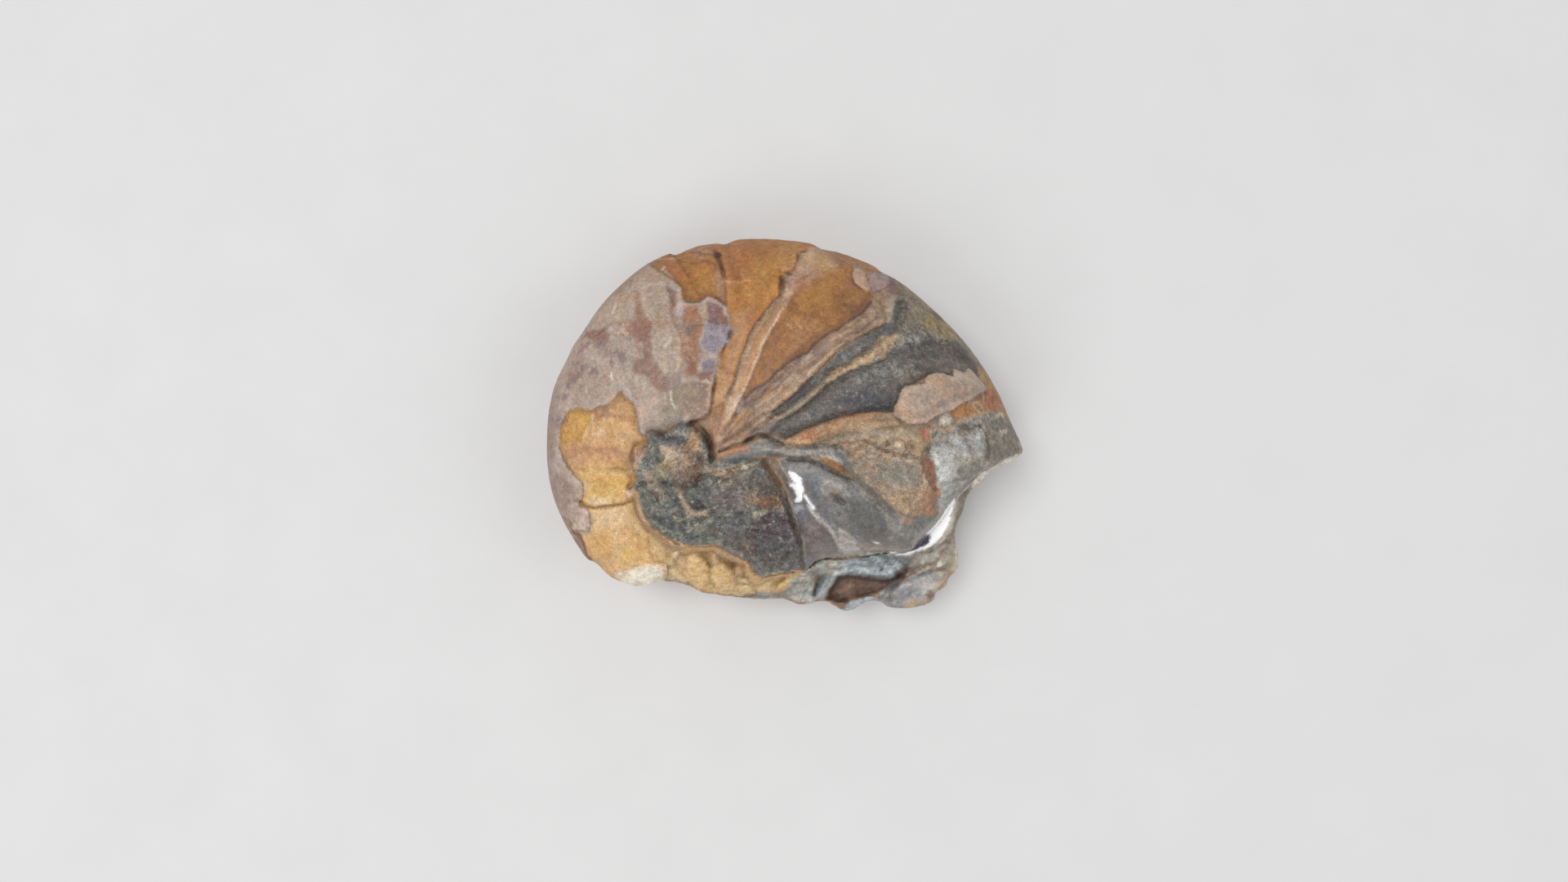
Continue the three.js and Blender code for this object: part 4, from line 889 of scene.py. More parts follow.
def paint_shell(p):
    """The mauve-grey shell that is left on the back of the coil."""
    p.fill(SHELL, (178, 161, 148), soft=0.12, fray=0.16, rise=0.06, mottle=((170, 151, 139), 2.4, 0.45))
    p.dapple(SHELL, [(160, 140, 132), (188, 172, 160), (170, 148, 132)], 1.5, amount=0.22, seed=31)
    p.dapple(SHELL, [(152, 132, 126), (196, 183, 171)], 0.5, amount=0.12, seed=37)
    p.fill([(-26.4, 9), (-22.6, 8.6), (-21.4, 5.4), (-21, 1), (-18.4, 0.6), (-18.4, 4.4), (-22, 7.4)],
           (190, 173, 160), soft=0.9, fray=0.8, amount=0.7)
    p.fill([(-36, 8), (-34, 7), (-33.8, 1), (-34, -4), (-36, -8)], (148, 128, 116), soft=0.5, amount=0.7)
    p.fill([(-35.4, -7), (-32.8, -7.6), (-30.4, -11.4), (-33, -13), (-35, -11)], (148, 122, 112), soft=0.6,
           fray=0.6, amount=0.75, mottle=((164, 142, 130), 0.9, 0.45))
    p.fill([(-34.4, -13), (-31, -14.4), (-29.6, -18), (-28.8, -19.8), (-29.6, -20.6), (-34, -16)],
           (140, 108, 92), amount=0.8, mottle=((164, 136, 118), 0.7, 0.45))
    p.fill([(-30.4, -12.4), (-29.3, -12.7), (-29, -13.4), (-29, -15.8), (-29.8, -16), (-31.3, -15.7),
            (-31, -13.6)], (192, 170, 154), soft=0.2, fray=0.3, mottle=((174, 150, 138), 0.6, 0.4))
    p.stroke([(-31.4, -15.7), (-30.4, -16), (-29.6, -16.2), (-29, -15.7), (-28.9, -13.2)], (214, 192, 170),
             0.2, fray=0.15)
    p.stroke([(-31.4, -15.8), (-30.6, -16.4), (-29.9, -18), (-29.3, -19.3), (-28.6, -20.1)], (118, 80, 56),
             0.34, amount=0.9)
    p.stroke([(-28.9, 19), (-26, 18.4)], (178, 144, 112), 1.2, soft=0.7, fray=0.8, amount=0.4)
    p.blot((-24.4, 18.8), (1.6, 1.6), (180, 144, 112), soft=0.7, fray=0.8, amount=0.6)
    p.stroke([(-26.4, 18.8), (-25, 19.9), (-22.6, 22), (-19.4, 24.2)], (152, 120, 94), 0.9, soft=0.5,
             fray=0.4, amount=0.7)
    p.fill([(-28, 15.6), (-23.4, 15.6), (-23, 19), (-25.6, 18.8)], (182, 162, 142), soft=0.5, fray=0.6,
           amount=0.6)
    lens = [(-21.4, 20.2), (-20.5, 20.4), (-19, 20.8), (-17.9, 20), (-17.5, 18.6), (-17, 17), (-17.4, 15.7),
            (-18.4, 15.1), (-19.8, 14.9), (-20.3, 15.6), (-20.9, 17), (-21.3, 18.6)]
    p.fill(lens, (180, 161, 144), soft=0.35, fray=0.25, mottle=((171, 148, 131), 1.2, 0.4))
    lower_lens = [(-19.8, 14.6), (-18, 14.9), (-16.6, 14.2), (-15.7, 12.6), (-15.5, 11), (-15.7, 9),
                  (-16.4, 7.7), (-17.6, 7.3), (-18.6, 8.6), (-19.4, 10), (-19.9, 12)]
    p.fill(lower_lens, (184, 167, 151), soft=0.35, fray=0.25, mottle=((174, 156, 141), 1, 0.4))
    p.fill([(-19.8, 15.4), (-17.2, 15.6), (-16.8, 14.4), (-19.6, 14.2)], (168, 142, 116), amount=0.7)
    p.stroke([(-17.8, 11.5), (-17.2, 12.2), (-16.9, 13)], (228, 220, 206), 0.3, soft=0.2, amount=0.85)
    for line in ([(-21.4, 20.3), (-20, 20.9), (-19, 21.1), (-17.6, 21.2)],
                 [(-20, 22), (-18, 22.6), (-16.8, 21.6)], [(-17, 21.5), (-16, 20.8), (-15.5, 19.6)],
                 [(-18.4, 23), (-17.8, 23.4)]):
        p.stroke(line, (206, 188, 174), 0.22, fray=0.3, amount=0.75)
    p.fill([(-19.6, 23.4), (-18, 22.4), (-16.6, 21.4), (-16.2, 20.6), (-17.4, 20.9), (-20.4, 21.6),
            (-21.4, 22.6)], (168, 138, 118), amount=0.7)
    narrow = [(-22.5, 20), (-21.9, 20), (-21.4, 18), (-20.7, 15.8), (-20.2, 15), (-22.6, 15), (-22.1, 17.2)]
    p.fill(narrow, (154, 116, 92), soft=0.3, fray=0.3, amount=0.85, mottle=((166, 130, 108), 0.8, 0.4))
    for line in ([(-21.2, 20), (-20.9, 18), (-20.3, 16), (-19.8, 15)], [(-17.5, 18.6), (-17.1, 17),
                 (-17.6, 15.6)], [(-19.7, 13.6), (-19.7, 11.8), (-19, 9.6), (-17.8, 7.6)],
                 [(-15.7, 12.6), (-15.6, 10.4), (-16.2, 8)]):
        p.stroke(line, (198, 182, 164), 0.24, soft=0.2, fray=0.3, amount=0.6)
    wedge = [(-23, 15.2), (-20.2, 15.4), (-19.9, 13), (-19.8, 11), (-19.4, 9.6), (-18.6, 8.2), (-18.2, 7.2),
             (-17.2, 6.4), (-17.6, 5.2), (-18.4, 4.9), (-19.6, 5.6), (-20, 6.6), (-21, 7.3), (-22.6, 7.8),
             (-22.4, 8.8), (-21.7, 10.2), (-21.9, 12), (-22.4, 13.4), (-23.6, 14.2)]
    p.fill(wedge, (146, 113, 101), fray=0.35, amount=0.9, mottle=((156, 123, 110), 0.9, 0.45))
    p.fill([(-22.6, 14.8), (-20.4, 15.2), (-20.2, 12.4), (-22, 12.4)], (148, 107, 88), soft=0.5, fray=0.6,
           amount=0.6)
    p.dapple(wedge, [(172, 146, 134), (126, 94, 88)], 0.5, amount=0.3, seed=33)
    p.stroke([(-21.3, 10), (-21.3, 11.2), (-21.7, 12.6)], (182, 162, 152), 0.5, soft=0.3, fray=0.5,
             amount=0.7)
    p.fill([(-26.4, 15.4), (-24.6, 15.5), (-22.4, 15.3), (-22.6, 14), (-24.4, 13.5), (-25.2, 13.8)],
           (166, 128, 104), soft=0.3, fray=0.6, amount=0.8, mottle=((206, 178, 150), 0.6, 0.4))
    ring = [(-25.2, 13), (-26.2, 12.8), (-26.4, 13.8), (-25.9, 14.6), (-25, 14.7), (-24, 14.2)]
    p.stroke(ring, (200, 184, 178), 0.5, soft=0.3, fray=0.4, amount=0.75)
    blotch = [(-29.3, 13.9), (-28.4, 14.2), (-27, 14), (-26.5, 13.2), (-26.7, 12.3), (-27.6, 11.9),
              (-28.7, 12.1), (-29.2, 12.8)]
    p.fill(blotch, (142, 98, 84), fray=0.9, amount=0.9, mottle=((160, 120, 106), 0.6, 0.45))
    for centre, size in (((-29.6, 11.7), (0.9, 0.3)), ((-27.4, 11.5), (0.7, 0.4)),
                         ((-30.6, 11.1), (0.5, 0.5)), ((-26.4, 9.7), (0.4, 1.2)),
                         ((-25.4, 10.8), (0.8, 0.3)), ((-24.6, 10.2), (0.4, 0.5)), ((-31, 7.8), (1.1, 0.5)),
                         ((-31.6, 6.4), (0.6, 1.1)), ((-30.5, 6.6), (0.5, 0.9)), ((-32.8, 3.9), (0.7, 0.6)),
                         ((-28.7, 7.8), (0.5, 0.8)), ((-34.5, 1), (0.4, 0.6)), ((-23, 13.3), (0.5, 0.4)),
                         ((-33.4, 0.6), (0.3, 0.7)), ((-30.3, 9), (0.9, 0.3))):
        p.blot(centre, size, (136, 112, 114), soft=0.6, fray=0.9, amount=0.75)
    p.stroke([(-24.8, 7), (-23.6, 5.4), (-22.6, 3.8)], (206, 192, 180), 0.2, fray=0.3, amount=0.6)
    p.stroke([(-25.7, 7.6), (-25.6, 6.9)], (238, 232, 222), 0.26, amount=0.9)
    p.stroke([(-25.7, 16.4), (-25.3, 17.2), (-25, 17.9)], (226, 214, 200), 0.22, amount=0.85)
    groove = [(-17.8, 20.4), (-17, 20.2), (-16.2, 19.2), (-15.9, 18.2), (-16.3, 17.8), (-17.1, 18.8)]
    p.fill(groove, (128, 96, 82), soft=0.3, fray=0.4, amount=0.8)
    p.stroke([(-16.4, 17.9), (-16.9, 16.8), (-16.4, 15.6), (-15.4, 14.2), (-14.6, 13.2)], (144, 112, 92),
             0.8, soft=0.4, fray=0.5, amount=0.7)
    p.stroke([(-15.5, 13.6), (-15.2, 12), (-15.3, 10), (-15.5, 8.4)], (170, 130, 100), 0.5, soft=0.25,
             fray=0.3)
    column = [(-15.4, 17.6), (-14.4, 18), (-12.6, 17.8), (-11.4, 17.4), (-12, 14.6), (-12.4, 10.4),
              (-13, 8), (-15, 7), (-15.2, 12), (-14.8, 14.6)]
    p.fill(column, (162, 122, 98), fray=0.6, amount=0.9, mottle=((176, 140, 116), 0.7, 0.42))
    p.dapple(column, [(140, 102, 88), (186, 160, 140), (158, 112, 86)], 0.5, fray=0.6, seed=34)
    p.fill([(-15.8, 17.9), (-15, 18), (-14.8, 16.2), (-15.8, 15.8), (-16.4, 16.8)], (182, 164, 164),
           soft=0.3, fray=0.4, amount=0.85)
    p.fill([(-14.8, 16.9), (-12.7, 17.2), (-12.8, 15.4), (-14.8, 15.6)], (166, 114, 82), soft=0.5, fray=0.6,
           amount=0.8)
    p.fill([(-15, 15.2), (-13.4, 15.2), (-13.4, 12.8), (-14.6, 12.6)], (132, 112, 102), soft=0.3,
           mottle=((150, 132, 118), 0.6, 0.4))
    p.fill([(-13.6, 14.6), (-12.7, 14.6), (-12.5, 10.6), (-13.8, 10.8)], (164, 112, 78), soft=0.5, fray=0.6,
           amount=0.8)
    p.fill([(-14.8, 9.8), (-13, 9.8), (-13, 7.4), (-14.6, 7)], (142, 100, 80), soft=0.35, amount=0.9)
    p.fill([(-12.6, 17.6), (-11.6, 17.6), (-11.4, 13.8), (-12.4, 13.8)], (180, 158, 138), soft=0.3)
    p.fill([(-11.4, 18.4), (-9.4, 18.2), (-8.6, 17.4), (-8.4, 14.8), (-11.4, 14.9)], (146, 118, 120),
           fray=0.4, mottle=((128, 98, 96), 0.8, 0.42))
    p.fill([(-9.8, 17.6), (-8.6, 17.2), (-8.4, 15), (-9.6, 15)], (146, 102, 84), soft=0.3, fray=0.4,
           amount=0.8)
    lavender = [(-11.9, 14.9), (-8.2, 14.7), (-7.9, 13.6), (-8.4, 12.5), (-9.6, 11.2), (-10.1, 10),
                (-11.6, 9.9), (-12.4, 11.4), (-12.1, 13.4)]
    p.fill(lavender, (162, 150, 154), soft=0.35, mottle=((146, 136, 146), 0.8, 0.45))
    p.fill([(-11.9, 12.9), (-10, 12.9), (-10, 11), (-11.8, 11)], (140, 132, 148), amount=0.8)
    p.stroke([(-12, 14.6), (-12.3, 12), (-11.6, 10), (-10.2, 9.8)], (190, 178, 172), 0.3, fray=0.3,
             amount=0.6)
    p.fill([(-12.2, 9.3), (-10.5, 9.4), (-10.6, 8.1), (-12.2, 8)], (140, 126, 138), soft=0.25, fray=0.4)
    p.fill([(-13, 8), (-10.7, 8), (-10.9, 6.4), (-12.8, 6.6)], (136, 100, 84), soft=0.3, amount=0.9)
    p.blot((-11.6, 6.3), (0.5, 0.4), (216, 202, 190))
    p.fill([(-15.4, 6.4), (-11, 6.2), (-11, 1.6), (-13.6, 0.7), (-15.6, 1.4)], (158, 134, 114), amount=0.85,
           mottle=((136, 116, 102), 0.7, 0.42))
    p.speckle([(-15.4, 6.4), (-11, 6.2), (-11, 1.6), (-15.6, 1.4)], (206, 188, 168), 0.7, 0.26, amount=0.6,
              seed=19)
    p.fill([(-18.6, 5), (-15.6, 5.2), (-15.2, 0.8), (-17.8, -0.4), (-18.8, 1.6)], (158, 146, 130), soft=0.6,
           fray=0.6, amount=0.75, mottle=((142, 136, 122), 0.8, 0.4))
    p.fill([(-18.4, 7.2), (-16, 7.4), (-15.6, 5), (-18, 4.8)], (148, 128, 122), amount=0.7)
    p.blot((-16.1, 4.1), (0.5, 0.7), (146, 136, 98), amount=0.7)
    p.stroke([(-17, 5), (-16.8, 3.6), (-16.2, 2.4)], (230, 218, 202), 0.26, fray=0.15, amount=0.9)
    p.stroke([(-18, 4.6), (-17.6, 3)], (210, 196, 180), 0.2, amount=0.6)
    p.stroke([(-15.6, 18.1), (-14.4, 17.7), (-12.8, 17.9), (-11.6, 18.6), (-10.6, 18.3), (-9, 17.6),
              (-8.6, 16.4)], (198, 178, 172), 0.3, soft=0.25, amount=0.7)
    p.blot((-8.3, 13.2), (0.4, 0.8), (98, 68, 66), fray=0.3, amount=1)
    p.edge(SHELL, (136, 106, 88), fray=0.16, rise=-0.05)
    # Painted shadow: the corner where the shell steps down to the orange fill.
    step = [(-10.3, 7), (-10.6, 5.4), (-10.7, 3.2), (-11.2, 1.6), (-12.4, 0.9), (-14, 0.2)]
    p.stroke(step, (112, 78, 54), 0.45, soft=0.25, fray=0.15, amount=0.85, rise=-0.08)
    p.stroke([(-9.7, 11.4), (-10, 9.4), (-10.4, 7)], (152, 108, 76), 0.3)


def paint_crown(p):
    """The orange chambers and the raised bands between them, from the shell's edge to the dark chamber."""
    first = [(-20.6, 24.6), (-20, 23.6), (-18.6, 23), (-17.4, 22.2), (-16.3, 21.2), (-15.6, 20.4),
             (-15.2, 18.8), (-14.6, 18.2), (-13.5, 18), (-12.2, 18.3), (-11.4, 18.9), (-10.4, 18.5),
             (-9, 17.8), (-8.7, 20), (-9, 23), (-10, 25), (-10.4, 28.5), (-18, 28)]
    p.fill(first, (166, 111, 61), soft=0.12, fray=0.15, mottle=((177, 124, 66), 1.6, 0.4), seed=21)
    p.fill([(-19, 24), (-17, 24.6), (-14.8, 23.4), (-15, 19.6), (-16.4, 20.8)], (160, 106, 66), soft=0.8,
           amount=0.7)
    p.fill([(-13.6, 23.6), (-11, 23.6), (-10.6, 20), (-13, 19.4)], (180, 128, 62), soft=0.8, amount=0.7)
    p.fill([(-10.9, 21.6), (-9.9, 23.4), (-9.1, 22.6), (-9, 18.4), (-10.2, 19.4)], (172, 132, 98), soft=0.3,
           fray=0.3, amount=0.85)
    p.stroke([(-15.8, 24.3), (-13.6, 24), (-12, 24.3), (-10.8, 23.9), (-10, 23.2)], (134, 88, 52), 0.24,
             fray=0.25)
    p.fill([(-14, 24.7), (-11.2, 24.6), (-10.3, 25.8), (-10.2, 27.4), (-14, 27)], (158, 116, 86), soft=0.25,
           fray=0.4, amount=0.85, mottle=((178, 138, 104), 0.7, 0.42))
    for line, colour in (([(-19.6, 23.4), (-18.4, 24.4), (-17, 24.8)], (146, 86, 50)),
                         ([(-18.2, 25), (-17.2, 25.3), (-16.4, 24.9)], (92, 58, 38)),
                         ([(-15.4, 25), (-14.6, 25.6), (-13.8, 25.4)], (168, 98, 62)),
                         ([(-19, 24.7), (-16, 24.6)], (190, 146, 110)), ([(-13.8, 25.6), (-11, 25.2)],
                         (120, 84, 60))):
        p.stroke(line, colour, 0.26, fray=0.25)
    second = [(-10.5, 28.5), (-10, 24.8), (-9, 23), (-8.7, 20), (-8.6, 17.8), (-8, 14), (-8.3, 12.2),
              (-9.4, 11), (-10.1, 7), (-10.6, 4.5), (-11, 2), (-9.4, 0), (-8.8, 4), (-7.8, 6), (-7, 8.5),
              (-6, 11.3), (-5, 14), (-3.6, 16), (-1.8, 18.2), (-0.6, 19.5), (-0.7, 20.5), (-0.6, 22),
              (0.3, 22.4), (1.2, 23.1), (1.6, 23.8), (1.9, 25.2), (3.1, 25.8), (5, 26.2), (5.6, 28.5)]
    p.fill(second, (178, 121, 65), soft=0.12, fray=0.12, mottle=((168, 109, 58), 2, 0.42), seed=22)
    p.fill([(-9.6, 27), (-4.6, 27.4), (-4, 23.4), (-6.6, 21.8), (-8.8, 22)], (168, 108, 66), soft=0.8,
           fray=0.6, amount=0.75)
    p.fill([(-5, 24.6), (-0.8, 25.4), (-1, 22.2), (-1.2, 19.6), (-3.6, 17.6), (-6.4, 18.6)], (186, 134, 70),
           soft=0.9, fray=0.6, amount=0.7)
    p.fill([(-8, 17), (-5, 17), (-5.6, 13.6), (-7.4, 8.4), (-9.2, 8)], (184, 142, 102), soft=0.8,
           amount=0.8)
    p.fill([(-9.8, 7.6), (-7.8, 7.4), (-8.6, 3.4), (-9.6, 1), (-10.8, 2)], (178, 140, 104), soft=0.5,
           amount=0.8, mottle=((192, 156, 122), 0.7, 0.42))
    p.fill([(-9.2, 22), (-7.8, 21.6), (-8, 19), (-8.8, 18.4)], (160, 114, 72), soft=0.35, fray=0.4,
           amount=0.7)
    p.stroke([(-9.2, 21.3), (-7, 21.1), (-5, 21.3)], (208, 166, 126), 0.2, fray=0.25, amount=0.75)
    p.fill([(-0.8, 25.2), (1.6, 25.2), (2.4, 25.8), (2, 27.2), (-1, 27)], (184, 136, 78), fray=0.3,
           amount=0.7)
    p.fill([(-1.2, 25), (-0.4, 22.6), (0.6, 22.8), (1.6, 24), (1.6, 25.2)], (196, 148, 92), soft=0.25,
           fray=0.25, amount=0.75)
    p.dapple(second, [(196, 148, 92), (150, 98, 56)], 0.9, amount=0.2, seed=26)
    third = [(6.5, 28), (3.5, 22), (1.4, 19.5), (-0.5, 17), (-1.9, 14.8), (-3.4, 11.5), (-4.6, 8), (-6, 5),
             (-7.4, 2.6), (-5, 4.8), (-3, 6), (-1, 8), (1, 9.5), (3.2, 10.6), (4.5, 12.1), (6.5, 13.6),
             (8, 14.4), (10.5, 16), (12, 17), (13, 18.5), (12.7, 20), (11, 20.5), (10.2, 22.8), (10, 26.5),
             (14.4, 24), (14, 22.8), (12, 22.6)]
    p.fill(third, (168, 117, 70), soft=0.12, fray=0.12, mottle=((152, 104, 64), 2.2, 0.42), seed=23)
    p.fill([(2.4, 21.4), (8, 21.8), (8, 18), (3, 16.6), (1.4, 18.4)], (178, 126, 66), soft=0.9, fray=0.7,
           amount=0.75)
    p.fill([(5.6, 26.4), (9, 25.2), (13.4, 23.4), (13.8, 22.6), (9.6, 23.6), (6, 23.4)], (162, 120, 86),
           fray=0.4, amount=0.8, mottle=((148, 108, 78), 0.8, 0.4))
    p.blot((6.8, 23.8), (0.9, 0.5), (176, 156, 136), amount=0.7)
    p.fill([(8, 20.4), (12.4, 19.6), (12.4, 17.4), (8, 15.6), (6.4, 17)], (148, 104, 62), soft=0.8,
           fray=0.6, amount=0.75)
    p.fill([(9.6, 17.6), (12.6, 18.6), (13, 17), (10.4, 15.6), (9.4, 16)], (122, 86, 68), amount=0.75)
    p.fill([(-5.6, 7), (-2, 13), (2, 13.4), (3.2, 11.4), (-2, 7.6), (-5.4, 4.8)], (166, 116, 76), soft=0.6,
           amount=0.7)
    p.fill([(0.6, 15.4), (4, 16), (5.4, 13.4), (2.6, 11.8), (0.6, 12)], (172, 128, 84), soft=0.7, fray=0.6,
           amount=0.6)
    for line in ([(0.6, 16.2), (2, 15.6), (2.6, 14.4)], [(2.4, 14.2), (3, 14.9)],
                 [(0.4, 14.9), (2.4, 13.7)]):
        p.stroke(line, (206, 168, 124), 0.16, fray=0.4, amount=0.6)
    p.dapple(third, [(188, 140, 88), (140, 94, 58)], 0.9, amount=0.2, seed=27)
    border = [(-6.9, 3), (-5, 4.8), (-3, 6), (-1, 8), (1, 9.5), (3.2, 10.6), (4.5, 12.1), (6.5, 13.6),
              (8, 14.4), (10.5, 16), (12, 17), (12.8, 18.2)]
    inner_border = [(x - 0.35, y + 0.45) for x, y in border[4:]]
    p.stroke(inner_border, (136, 90, 62), 0.7, soft=0.35, fray=0.3, amount=0.6)
    for centre, size, turn in (((0.4, 8.5), (1.6, 0.6), 30), ((-4, 4.6), (1.5, 0.7), 25),
                               ((-1.6, 6.9), (1.3, 0.6), 40), ((-6.2, 3.6), (1, 0.9), 35)):
        p.blot(centre, size, (116, 96, 96), turn=turn, fray=0.6, amount=0.7)
    p.stroke([(-6.8, 2.2), (-5, 3.8), (-3, 5.7), (-1, 7.3), (1.4, 8.9)], (128, 108, 102), 0.9, soft=0.5,
             fray=0.5, amount=0.5)
    ridge = [(-8.9, 0.6), (-8.8, 3), (-8, 5.6), (-7, 8.5), (-6, 11.3), (-5, 14), (-3.6, 16), (-1.8, 18.2),
             (-0.5, 19.6), (-0.7, 20.6), (-0.5, 22), (0.4, 22.4), (1.2, 23.2), (1.8, 24.6), (2.2, 25.6),
             (3.4, 26), (5, 26.6), (5.2, 25.6), (4.9, 24), (4, 22.8), (2.8, 21.6), (1.6, 20), (0.4, 18.6),
             (-0.5, 17), (-1.9, 14.8), (-2.6, 13), (-3.4, 11.5), (-4.2, 9), (-5.2, 7), (-6, 5), (-7.3, 2.8),
             (-7.9, 0.6)]
    p.fill(ridge, (188, 152, 120), soft=0.12, fray=0.15, mottle=((176, 140, 110), 0.9, 0.45), streaky=True)
    p.dapple(ridge, [(206, 178, 150), (164, 126, 96), (160, 140, 128)], 0.6, amount=0.45, streaky=True,
             seed=28)
    p.fill([(-0.3, 19.8), (0, 22), (1.6, 23), (2.2, 25.4), (4.8, 26.2), (4.6, 23.8), (3.2, 22), (1.4, 20)],
           (178, 148, 128), fray=0.4, amount=0.9, mottle=((166, 128, 104), 0.9, 0.4))
    p.fill([(1.6, 22.6), (2.4, 25.4), (5.4, 26), (6.6, 24.8), (5, 22.4), (3, 20.6)], (176, 144, 116),
           soft=0.8, fray=0.6, amount=0.7, mottle=((188, 164, 140), 0.8, 0.4))
    p.fill([(0.8, 21.4), (3.2, 21.9), (3.4, 19.6), (1.6, 18.8), (0.6, 19.6)], (172, 118, 88), soft=0.5,
           fray=0.6, amount=0.65)
    p.fill([(-8.9, 4.4), (-6.6, 4.4), (-7.4, 2.4), (-8, 0.5), (-8.8, 0.6)], (204, 178, 152), soft=0.3,
           fray=0.2, amount=0.8)
    p.fill([(-3.4, 15.6), (-1.2, 18), (0, 17.8), (-1.6, 15), (-2.6, 13.4), (-3.8, 13.6)], (190, 158, 128),
           soft=0.3, fray=0.3, amount=0.8)
    # Painted shade: the groove along ridge one's left side.
    p.stroke([(-8.8, 4), (-7.8, 6.2), (-7, 8.5), (-6, 11.3), (-5, 13.9), (-3.6, 15.9), (-2.2, 17.6),
              (-0.8, 19.2)], (138, 112, 98), 0.4, soft=0.3, fray=0.3, amount=0.7, rise=-0.05)
    p.stroke([(-7.4, 4.6), (-5.4, 9), (-4.2, 12), (-2.6, 14.8), (-1, 17.4)], (178, 130, 86), 1.2, soft=0.35,
             fray=0.3, amount=0.7)
    p.stroke([(-7.8, 5), (-6.3, 9.4), (-5.1, 12.6), (-3.7, 15.2), (-1.7, 17.8), (0.2, 20)], (206, 182, 154),
             0.2, fray=0.3)
    p.stroke([(-7.6, 7.4), (-6.3, 11.2), (-5.3, 13.9), (-4, 16)], (178, 130, 84), 0.2, amount=0.5)
    p.stroke([(-7.5, 2.4), (-6.2, 5), (-5.2, 7), (-4.4, 9.4), (-3.6, 11.6), (-2.4, 13.8), (-1.2, 15.6),
              (-0.4, 17.2)], (228, 202, 174), 0.2, fray=0.12, amount=0.9)
    p.stroke([(-7, 2.4), (-5.7, 4.9), (-4.7, 7), (-3.9, 9.4), (-3.1, 11.6), (-2, 13.6), (-0.8, 15.4)],
             (136, 94, 62), 0.26, soft=0.2, amount=0.55)
    p.stroke([(-6.6, 7.4), (-5, 11.2), (-3.2, 14.6), (-1.4, 17.4)], (150, 122, 102), 0.2, fray=0.25,
             amount=0.6)
    p.stroke([(4.9, 26), (4.8, 24), (3.8, 22.6), (2.6, 21.6)], (150, 108, 76), 0.24, fray=0.3, amount=0.7)
    # Painted shadow: a dark line along the second chamber's broken step, and dark shadow pockets beside its
    # scallops.
    step = [(-0.8, 19.3), (-0.8, 20.5), (-0.6, 22), (0.3, 22.4), (1.2, 23.1), (1.6, 23.8), (1.9, 25),
            (2.4, 25.7), (3.4, 26)]
    p.stroke(step, (130, 90, 58), 0.3, soft=0.2, fray=0.15, rise=-0.1)
    for place, size in (((-0.35, 20.9), (0.4, 0.8)), ((0.4, 22.5), (0.6, 0.3)), ((1.9, 25.1), (0.3, 0.4)),
                        ((2.9, 25.8), (0.5, 0.25))):
        p.blot(place, size, (92, 62, 42), soft=0.6, fray=0.3)
    # Painted shade: the crevice at the first chamber's corner is darkened, most at its top.
    crevice = [(-10.9, 25.9), (-10.1, 26.1), (-9.4, 24.9), (-8.9, 23.6), (-8.7, 22.2), (-9.1, 21.9),
               (-9.9, 23.8), (-10.5, 24.7)]
    p.fill(crevice, (140, 98, 70), soft=0.35, fray=0.3, amount=0.7, rise=-0.08)
    p.blot((-10.2, 25.2), (0.5, 0.6), (78, 54, 48), soft=0.6, fray=0.3, amount=0.9, rise=-0.1)
    p.stroke([(-9.6, 22.6), (-9.1, 21), (-9.2, 18.6)], (196, 152, 114), 0.5, soft=0.3, fray=0.25,
             amount=0.6)
    p.stroke([(-8.8, 22.4), (-8.7, 20), (-8.8, 18.2)], (150, 104, 64), 0.22, fray=0.25, amount=0.5)
    p.stroke([(-10.2, 18.8), (-9.2, 18.1), (-8.5, 17.4)], (104, 70, 54), 0.3, amount=0.9)
    second_ridge = border + [(13.4, 19.6), (15.6, 19.4), (16.8, 18.4), (15.5, 15.5), (14, 14.4), (12, 13.6),
                             (9.5, 12.3), (8, 11), (6.2, 9.6), (5, 8), (3, 6), (1, 4), (-1, 2.5), (-3, 1.2),
                             (-8, 0.6)]
    p.fill(second_ridge, (160, 132, 110), soft=0.12, fray=0.2, mottle=((142, 117, 102), 0.8, 0.42),
           streaky=True)
    p.dapple(second_ridge, [(188, 154, 124), (140, 112, 104), (176, 140, 100)], 0.8, streaky=True, seed=43)
    p.fill([(1.8, 8.4), (5.6, 10.4), (7.2, 12), (6.6, 12.8), (3.4, 10.4), (1.6, 9.4)], (144, 124, 116),
           soft=0.3, fray=0.3, amount=0.75)
    p.fill([(1.4, 7.6), (4.4, 9.4), (6.4, 10.8), (6.8, 10.2), (4.6, 8.2), (1.8, 5.8)], (164, 136, 106),
           soft=0.3, fray=0.3, amount=0.75)
    p.fill([(7.6, 13.6), (12.8, 16.4), (14, 15.4), (9.6, 12.8), (7.4, 12)], (160, 130, 110), soft=0.3,
           fray=0.4, amount=0.75, mottle=((128, 106, 92), 0.6, 0.45))
    for centre, size in (((-5.6, 3), (1.1, 0.8)), ((-3, 5), (1.2, 0.6)), ((-0.6, 7.4), (1.2, 0.6)),
                         ((1.8, 9.2), (1, 0.5)), ((4.2, 10.8), (1.1, 0.4))):
        p.blot(centre, size, (122, 106, 106), turn=42, soft=0.6, fray=0.7, amount=0.7)
    p.dapple(second_ridge, [(200, 174, 146), (122, 98, 88)], 0.45, amount=0.4, streaky=True, seed=46)
    for line in ([(3.4, 7.6), (6.4, 10.4), (9.6, 12.9)], [(-2.4, 3.4), (0.4, 5.2), (3, 7.6)],
                 [(6.8, 12.6), (9.4, 14), (12, 15.4)], [(-4.4, 2.6), (-2, 4), (-0.4, 5.6)]):
        p.stroke(line, (206, 178, 150), 0.2, fray=0.3, amount=0.7)
